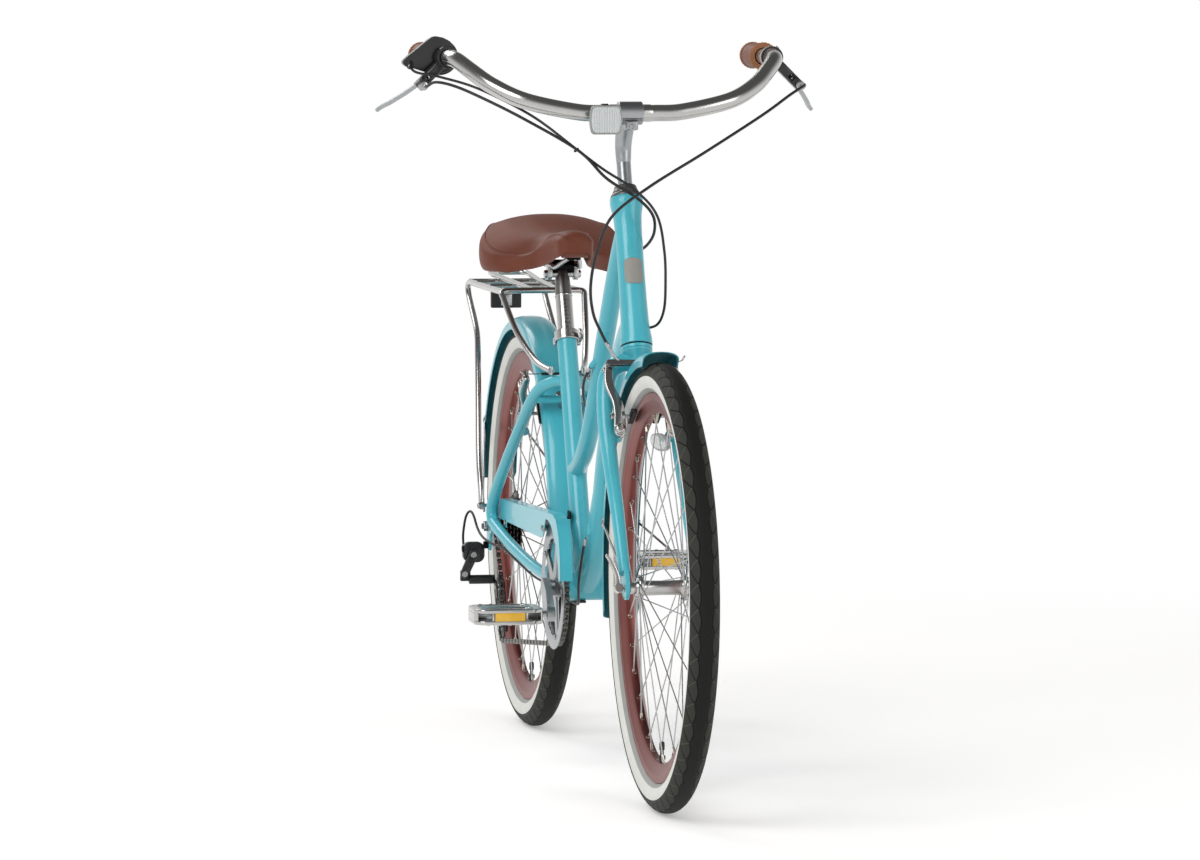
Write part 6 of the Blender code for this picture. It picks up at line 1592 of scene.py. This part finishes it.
def makeBrakeArm(pieceName, brake, side, body, node):
    pivot = brakePlace(brake, armShape["pivotRadius"], 0, side * brake["armY"])
    place = axesAt(pivot, Vector((0, side, 0)), brake["up"], brake["ahead"])
    rise = armShape["rise"]
    # forged arm: full at the pivot and pad, swelling out near its top
    outline = [*mm((0, -12), (6.2, -9), (8.6, 0), (8, 12), (6.6, 28), (8, 47), (12.8, 62),
        (16, 76), (15.8, 88), (13.8, 102)), (0.0124, rise + 0.003), (0.008, rise + 0.0044),
        (0.0028, rise + 0.003), *mm((2.2, 98), (3.8, 84), (2.2, 70), (-4, 54), (-8.8, 38),
        (-9.6, 24), (-9.4, 8), (-8.4, -4), (-5.8, -9.2))]
    hole = ringPoints(0, 0, 0.0045, 20)
    half = armShape["half"]
    arm = plate(smoothLoop(outline, 60), 2 * half, [hole], 0.0018, place @ at((0, 0, -half)), 3)
    shapes = [(arm, "polishedAluminium")]
    hub = armShape["hubHalf"]
    shapes += [(spun(collar(0.0046, 0.0085, -hub, hub, 0.0007), 32, place), "polishedAluminium")]
    padIn = brake["armY"] - 0.014
    pad = easedBox((0.0082, 0.007, 0.042), (-padIn + 0.0044, 0.0225, 0), 0.002, 3)
    shapes += [(moved(pad, place), "blackNylon")]
    holder = easedBox((0.0022, 0.0082, 0.038), (-padIn + 0.0085, 0.0225, 0), 0.0008, 2)
    shapes += [(moved(holder, place), "satinBlackSteel")]
    for i in range(7):
        rib = easedBox((0.006, 0.0076, 0.0012), (-padIn + 0.0048, 0.0225, (i - 3) * 0.0061),
            0.0003, 1)
        shapes += [(moved(rib, place), "blackNylon")]
    stud = rod((-padIn + 0.006, 0.0225, 0), (0.009, 0.0225, 0), 0.003, 16)
    shapes += [(moved(stud, place), "drawnStainless")]
    washers = spun(mm((3, -8.5), (7.8, -8.5), (7.2, -4.5), (3, -4.5)), 28,
        place @ at((0, 0.0225, 0)) @ Matrix.Rotation(radians(90), 4, "Y"))
    shapes += [(washers, "drawnStainless")]
    nut = moved(boltHead((0, 0, 0), (1, 0, 0), 0.0052, 0.004), place @ at((0.0078, 0.0225, 0)))
    shapes += [(nut, "drawnStainless")]
    anchor = moved(boltHead((0, 0, 0), (1, 0, 0), 0.0042, 0.005),
        place @ at((0.012, rise - 0.0085, 0)))
    shapes += [(anchor, "drawnStainless")]
    if side == brake["noodleSide"]:
        # slotted bracket that holds the end of the noodle, pivoted on the arm's top
        for offset in (0.0076, 0.0134):
            link = sidePlate(barOutline((0.008, rise - 0.002), (-0.029, rise - 0.002), 0.0048,
                0.0036, 10), 0.001, 0, (), 0.0003, 1)
            turn = Matrix(((1, 0, 0, 0), (0, 0, 1, 0), (0, -1, 0, offset), (0, 0, 0, 1)))
            shapes += [(moved(link, place @ turn), "drawnStainless")]
        cross = easedBox((0.003, 0.0076, 0.0066), (-0.0295, rise - 0.002, 0.0105), 0.0008, 2)
        shapes += [(moved(cross, place), "drawnStainless")]
    pin = rod((0.008, rise - 0.002, -0.006), (0.008, rise - 0.002, 0.0142), 0.003, 16)
    shapes += [(moved(pin, place), "drawnStainless")]
    spring = sweep(smoothRoute(mm((4, 2, -7.4), (6, 30, -6.8), (4.5, 56, -6.4)), 16), 0.0008, 8)
    shapes += [(moved(spring, place), "drawnStainless")]
    finishPiece(pieceName, shapes, body, [node])


# Rear derailleur

def makeDerailleur():
    linkTop = Vector((0.004, -0.098, 0.284))
    lean = radians(25)
    linkEnd = linkTop + Vector((0, -0.035 * sin(lean), -0.035 * cos(lean)))
    body = plate(roundedOutline(0.0179, 0.0169, 0.012, 10), 0.0128, (), 0.004,
        Matrix(((0, 0, 1, -0.0139), (1, 0, 0, -0.096), (0, 1, 0, 0.287), (0, 0, 0, 1))), 4)
    pins = []
    turn = Matrix.Rotation(radians(90), 4, "Y")
    for place in (linkTop, linkEnd):
        pins.append(spun(mm((0, -5), (3, -5), (3, 9.4), (4.6, 9.4), (5, 9.8), (5, 11.2),
            (4.4, 11.8), (0, 11.8)), 24, at((0, place.y, place.z)) @ turn))
    shapes = [(body, "glossBlackPlastic"), (pins[0], "drawnStainless"),
        (rod((0.0, -0.08, 0.299), (0.0, -0.073, 0.299), 0.0062, 28), "satinBlackSteel"),
        (boltHead((0.0, -0.1135, 0.293), (0, -1, 0), 0.0062, 0.0026), "satinBlackSteel")]
    for z in (0.2935, 0.287):
        shapes += [(boltHead((-0.0135, -0.1, z), (-1, 0, 0), 0.0022, 0.003), "drawnStainless")]
    finishPiece("derailleurUpperKnuckle", shapes, "root", ["derailleur_knuckle"])
    outline = barOutline((linkTop.y, linkTop.z), (linkEnd.y, linkEnd.z), 0.008, 0.007, 14)
    holes = [ringPoints(linkTop.y, linkTop.z, 0.0034, 20),
        ringPoints(linkEnd.y, linkEnd.z, 0.0034, 20)]
    stand = Matrix(((0, 0, 1, 0.0013), (1, 0, 0, 0), (0, 1, 0, 0), (0, 0, 0, 1)))
    link = plate(outline, 0.0076, holes, 0.0014, stand, 3)
    finishPiece("derailleurParallelLink", [(link, "glossBlackPlastic")], "derailleur_link",
        ["derailleur_link"])
    x, z = -0.002, 0.242
    barrel = collar(0, 0.0075, -0.104, -0.064, 0.0009, 0.001)
    shapes = [(spunY(barrel, 36, (x, 0, z)), "blackNylon"), (pins[1], "drawnStainless")]
    ear = easedBox((0.0075, 0.017, 0.018), (-0.0048, linkEnd.y + 0.003, linkEnd.z - 0.004), 0.002,
        3)
    shapes += [(ear, "blackNylon")]
    finishPiece("derailleurLowerKnuckle", shapes, "derailleur_lower", ["derailleur_lower_knuckle"])
    upper, lower, y = drive["upperPulley"], lowerPulley, drive["cogY"]
    shapes = []
    outline = barOutline(upper, lower, 0.013, 0.009, 16)
    along = Vector((lower[0] - upper[0], lower[1] - upper[1]))
    a = (upper[0] + along.x * 0.34, upper[1] + along.y * 0.34)
    b = (upper[0] + along.x * 0.72, upper[1] + along.y * 0.72)
    slot = barOutline(a, b, 0.0048, 0.0036, 8)
    for side in (-1, 1):
        shapes += [(sidePlate(outline, 0.0016, y + side * 0.0064, [slot], 0.0004, 1),
            "satinBlackSteel")]
    shapes += [(rod((x, y - 0.0058, z), (x, y - 0.0072, z), 0.008, 24), "satinBlackSteel")]
    for centre in (upper, lower):
        shapes += [(rod((centre[0], y - 0.0072, centre[1]), (centre[0], y + 0.0072, centre[1]),
            0.0026, 16), "drawnStainless"), (boltHead((centre[0], y - 0.007, centre[1]),
            (0, -1, 0), 0.004, 0.0012), "drawnStainless")]
    finishPiece("derailleurCagePlates", shapes, "cage", ["derailleur_cage"])
    for name, index, centre in (("lower", 2, lower), ("upper", 3, upper)):
        outline = shifted(sprocketOutline(drive["pulleyTeeth"], firstRoller(index), 0.0028),
            *centre)
        pulley = sidePlate(outline, 0.0022, y, [ringPoints(*centre, 0.0046, 24)], 0.0003, 1)
        bush = spunY(mm((3, -1.3), (5, -1.3), (5, 1.3), (3, 1.3)), 24, (centre[0], y, centre[1]))
        finishPiece(f"{name}PulleyWheel", [(pulley, "blackNylon"), (bush, "drawnStainless")],
            f"{name}_pulley", [f"{name}_pulley"], 30)


# Cables

cableShape = {"brakeRadius": 0.00225, "shiftRadius": 0.002, "sides": 14}


def barrelEnd(side):
    place = barAxes(side, 0.7)
    return [place @ Vector((leverShape["barrelOut"], 0, -0.0312)),
        place @ Vector((leverShape["barrelOut"], 0, -0.05))]


def ferrule(place, direction, radius, length=0.012):
    profile = [(0, 0), (radius, 0), (radius + 0.0003, 0.0004), (radius + 0.0003, length - 0.001),
        (radius - 0.0004, length), (0, length)]
    return spun(profile, 20, at(place) @ aimed(direction))


def makeCable(name, route, count, body, node, radius, extras=()):
    places = smoothRoute(route, count)
    shapes = [(sweep(places, radius, cableShape["sides"]), "cableSleeve"), *extras]
    for end, inside in ((0, 2), (-1, -3)):
        shapes += [(ferrule(places[end], places[inside] - places[end], radius + 0.0004),
            "drawnStainless")]
    finishPiece(name, shapes, body, [node], 60)


def makeCables():
    up, ahead = armShape["pivotRadius"] + armShape["rise"] - 0.001, 0.0105
    cross = brakePlace(frontBrake, up, ahead, 0)
    cx, cz = cross.x, cross.z
    route = [*barrelEnd(1), *mm((783, 262, 1046), (833, 208, 1016), (885, 110, 962),
        (916, 20, 912), (928, -40, 868), (932, -64, 815), (933, -73.5, 765), (938, -71, 726),
        (943, -61.5, 700)), (cx, -0.0505, cz + 0.026), (cx, -0.039, cz + 0.008), (cx, -0.027, cz),
        (cx, 0.0, cz), (cx, 0.056, cz), (cx - 0.002, 0.066, cz + 0.007)]
    makeCrossCable("frontBrakeCable", route, 220, "steering", "front_brake_cable", cross, 1)
    route = [*barrelEnd(-1), *mm((775, -281, 1066), (800, -257, 1060.5), (830, -221.1, 1043.7),
        (862, -161.5, 1011.8), (892, -84.5, 964.9), (908, -45, 924), (902, 4, 893), (884, 30, 868),
        (860, 37, 842), (832, 32, 822), (806, 19, 808))]
    bend = ("steering", "root", frameShift + Vector((0.845, -0.19, 1.028)),
        frameShift + Vector(route[-2]))
    makeCable("rearBrakeCableFront", route, 160, bend, "rear_brake_cable_front",
        cableShape["brakeRadius"])
    route = mm((675.8, -305, 1094.2), (688, -306.2, 1088.5), (706, -298.5, 1080),
        (740, -268.8, 1073.5), (790, -216, 1055.3), (835, -144, 1015.5), (882, -87, 968),
        (903.5, -50, 938), (907.5, 0, 905), (907, 32, 868), (918, 41, 815), (927, 41, 765),
        (920, 40, 728), (899, 34, 705), (876, 17, 697))
    # a tie pulled tight round both sleeves, with its little block
    middle, long = Vector((0.887, -0.0858, 0.9664)), Vector((0.01, -0.0025, 0.0031))
    run = Vector((0.26, 0.62, -0.74)).normalized()
    wide = (long - run * long.dot(run)).normalized()
    thin = run.cross(wide)
    loop = [middle + wide * 0.0082 * cos(a) + thin * 0.0029 * sin(a)
        for a in (i * pi / 16 for i in range(32))]
    tie = [(sweep(loop, 0.0007, 8, True), "blackNylon"),
        (easedBox((0.003, 0.004, 0.0034), middle + thin * 0.0034, 0.0006, 1), "blackNylon")]
    bend = ("steering", "root", frameShift + Vector((0.835, -0.144, 1.0155)),
        frameShift + Vector(route[-2]))
    makeCable("shiftCableFront", route, 200, bend, "shift_cable_front", cableShape["shiftRadius"],
        tie)
    cross = brakePlace(rearBrake, up, ahead, 0)
    cx, cz = cross.x, cross.z
    route = [*mm((628, -17.8, 626), (600, -21.5, 607), (570, -18.5, 587), (540, -11, 570),
        (500, 0, 557), (450, 19, 553), (400, 40, 557), (350, 56, 572), (305, 66.5, 594)),
        (cx + 0.018, 0.071, cz + 0.014), (cx + 0.003, 0.063, cz + 0.003), (cx, 0.048, cz),
        (cx, 0.0, cz), (cx, -0.052, cz), (cx - 0.001, -0.059, cz + 0.003)]
    makeCrossCable("rearBrakeCableRear", route, 180, "root", "rear_brake_cable_rear", cross, -1)
    route = mm((598.5, -20, 359), (588, -24, 325), (562, -24, 283), (530, -18, 254),
        (487, -14, 247.5), (440, -18, 250), (400, -31, 264), (300, -46.5, 272.5), (200, -58, 289),
        (120, -66.5, 302), (62, -76, 306), (20, -85, 314), (-10, -88.5, 326), (-40, -90, 344),
        (-58, -93, 350), (-65, -99, 340), (-56, -105, 312), (-36, -107, 292), (-15, -107, 285))
    makeCable("shiftCableRear", route, 240, "root", "shift_cable_rear", cableShape["shiftRadius"])


def makeCrossCable(name, route, count, body, node, cross, heading):
    # sleeve down to the brake, a polished noodle round the bend, a rubber boot, then wire;
    # heading is the way along Y in which the wire crosses the wheel
    places = smoothRoute(route, count)
    split = next(i for i, p in enumerate(places) if abs(p.x - cross.x) < 0.03 and p.z
        - cross.z < 0.02 and (p.y * heading < -0.03))
    corner = next(i for i in range(split, count) if places[i].y * heading > -0.04)
    boot = next(i for i in range(corner, count) if places[i].y * heading > -0.012)
    bootEnd = next(i for i in range(boot, count) if places[i].y * heading > 0.024)
    radius = cableShape["brakeRadius"]
    shapes = [(sweep(places[:split + 1], radius, cableShape["sides"]), "cableSleeve"),
        (sweep(places[split - 1:boot + 1], radius * 1.02, 16), "drawnStainless"),
        (sweep(places[boot:bootEnd + 1], radius, 16), "blackNylon"),
        (sweep(places[bootEnd:], 0.0009, 10), "drawnStainless"),
        (ferrule(places[split], places[split - 2] - places[split], radius + 0.0003),
        "drawnStainless"), (ferrule(places[0], places[2] - places[0], radius + 0.0003),
        "drawnStainless")]
    tail = places[-1]
    shapes += [(ferrule(tail - (tail - places[-3]).normalized() * 0.006, tail - places[-3], 0.0012,
        0.008), "drawnStainless")]
    finishPiece(name, shapes, body, [node], 60)


makeFrame()
makeHeadset()
makeFork()
print("frame and fork made")
makeWheels()
makeAxles()
makeFenders()
makeRack()
print("wheels, fenders and rack made")
makeStem()
makeGrips()
makeLevers()
makeShifter()
makeFrontReflector()
makeSaddle()
makeSeat()
print("controls and saddle made")
makeGuard()
makeChain()
makeFreewheel()
makeCranks()
for brake, end in ((frontBrake, "front"), (rearBrake, "rear")):
    for side, hand in ((1, "left"), (-1, "right")):
        makeBrakeArm(f"{end}{hand.capitalize()}BrakeArm", brake, side, f"{end}_{hand}_arm",
            f"{end}_{hand}_brake_arm")
makeDerailleur()
makeCables()
print("drivetrain, brakes and cables made", len(finished), "pieces")


# Floor, lights and camera

studio = {"floorColour": "#EFEEEC", "worldStrength": 0.5, "keyEnergy": 150.0, "fillEnergy": 45.0,
    "rimEnergy": 60.0, "ceiling": 0.12, "glow": 0.3, "fadeStart": 1.3, "fadeEnd": 3.4}


def rayShare(tree, kinds):
    # one for the kinds of ray named, else nothing
    path = tree.nodes.new("ShaderNodeLightPath")
    share = path.outputs[kinds[0]]
    for kind in kinds[1:]:
        share = addNode(tree, "Math", (share, path.outputs[kind]), operation="MAXIMUM")[0]
    return share


def makeStage():
    bm = bmesh.new()
    bmesh.ops.create_circle(bm, cap_ends=True, segments=96, radius=120.0)
    bmesh.ops.translate(bm, vec=(0, 0, -0.0006), verts=bm.verts)
    mesh = bpy.data.meshes.new("paleFloor")
    bm.to_mesh(mesh)
    bm.free()
    floor = newObject("paleFloor", mesh)
    # matte floor that turns into the white background a few metres out
    tree, shader, coords = startMaterial("matteWhiteFloor",
        {"Roughness": 0.9, "Base Color": linearColour(studio["floorColour"]),
        "Emission Color": (1, 1, 1, 1)})
    seen = rayShare(tree, ("Is Camera Ray", "Is Glossy Ray", "Is Transmission Ray"))
    glow = addNode(tree, "Math", (seen, studio["glow"]), operation="MULTIPLY")[0]
    tree.links.new(glow, shader.inputs["Emission Strength"])
    white = addNode(tree, "Emission", {"Strength": 1.0})
    reach = addNode(tree, "VectorMath", {0: coords}, operation="LENGTH")
    fade = addNode(tree, "MapRange", {"Value": reach["Value"], "From Min": studio["fadeStart"],
        "From Max": studio["fadeEnd"]}, interpolation_type="SMOOTHSTEP")
    share = addNode(tree, "Math", (fade["Result"], seen), operation="MULTIPLY")[0]
    mix = addNode(tree, "MixShader", {0: share, 1: shader.outputs["BSDF"], 2: white["Emission"]})
    tree.links.new(mix["Shader"], tree.nodes["Material Output"].inputs["Surface"])
    mesh.materials.append(materials["matteWhiteFloor"])
    # a white surround, with a dark ceiling over it for the metals to mirror
    world = bpy.data.worlds.new("studioSky")
    bpy.context.scene.world = world
    world.use_nodes = True
    tree = world.node_tree
    heading = tree.nodes.new("ShaderNodeTexCoord").outputs["Generated"]
    split = addNode(tree, "SeparateXYZ", {"Vector": heading})
    above = addNode(tree, "MapRange", {"Value": split["Z"], "From Min": -0.05, "From Max": 0.7,
        "To Min": 1.0, "To Max": studio["ceiling"]}, interpolation_type="SMOOTHSTEP")
    camera = rayShare(tree, ("Is Camera Ray",))
    mirrored = rayShare(tree, ("Is Glossy Ray", "Is Transmission Ray"))
    rest = addNode(tree, "Math", (1.0, addNode(tree, "Math", (camera, mirrored),
        operation="MAXIMUM")[0]), operation="SUBTRACT")[0]
    total = addNode(tree, "Math", (camera, addNode(tree, "Math", (mirrored, above["Result"]),
        operation="MULTIPLY")[0]), operation="ADD")[0]
    total = addNode(tree, "Math", (total, addNode(tree, "Math", (rest, studio["worldStrength"]),
        operation="MULTIPLY")[0]), operation="ADD")[0]
    tree.links.new(total, tree.nodes["Background"].inputs["Strength"])
    tree.nodes["Background"].inputs["Color"].default_value = (1, 1, 1, 1)


def softLamp(name, place, target, size, energy):
    lamp = bpy.data.lights.new(name, "AREA")
    lamp.shape = "RECTANGLE"
    lamp.size, lamp.size_y = size
    lamp.energy = energy
    obj = newObject(name, lamp)
    obj.location = place
    obj.rotation_euler = (Vector(target) - Vector(place)).to_track_quat("-Z", "Y").to_euler()


def makeCamera():
    # the photograph's place and angle, solved for its 1200 x 860 frame
    camera = bpy.data.cameras.new("productCamera")
    camera.sensor_width = 36.0
    camera.sensor_fit = "HORIZONTAL"
    camera.lens = 177.15
    camera.clip_end = 400.0
    obj = newObject("productCamera", camera)
    obj.location = Vector((9.5515, -1.6685, 1.1448)) + frameShift
    forward = Vector((-0.98076, 0.18311, -0.06765))
    obj.rotation_euler = forward.to_track_quat("-Z", "Y").to_euler()
    bpy.context.scene.camera = obj


makeStage()
softLamp("keyPanel", (3.2, -3.6, 4.2), (0, 0, 0.5), (3.2, 3.2), studio["keyEnergy"])
softLamp("fillPanel", (4.4, 3.4, 2.6), (0, 0, 0.6), (2.6, 2.6), studio["fillEnergy"])
softLamp("backPanel", (-3.6, -1.6, 3.6), (0, 0, 0.6), (2.6, 2.0), studio["rimEnergy"])
makeCamera()
bpy.context.scene.view_settings.view_transform = "Standard"
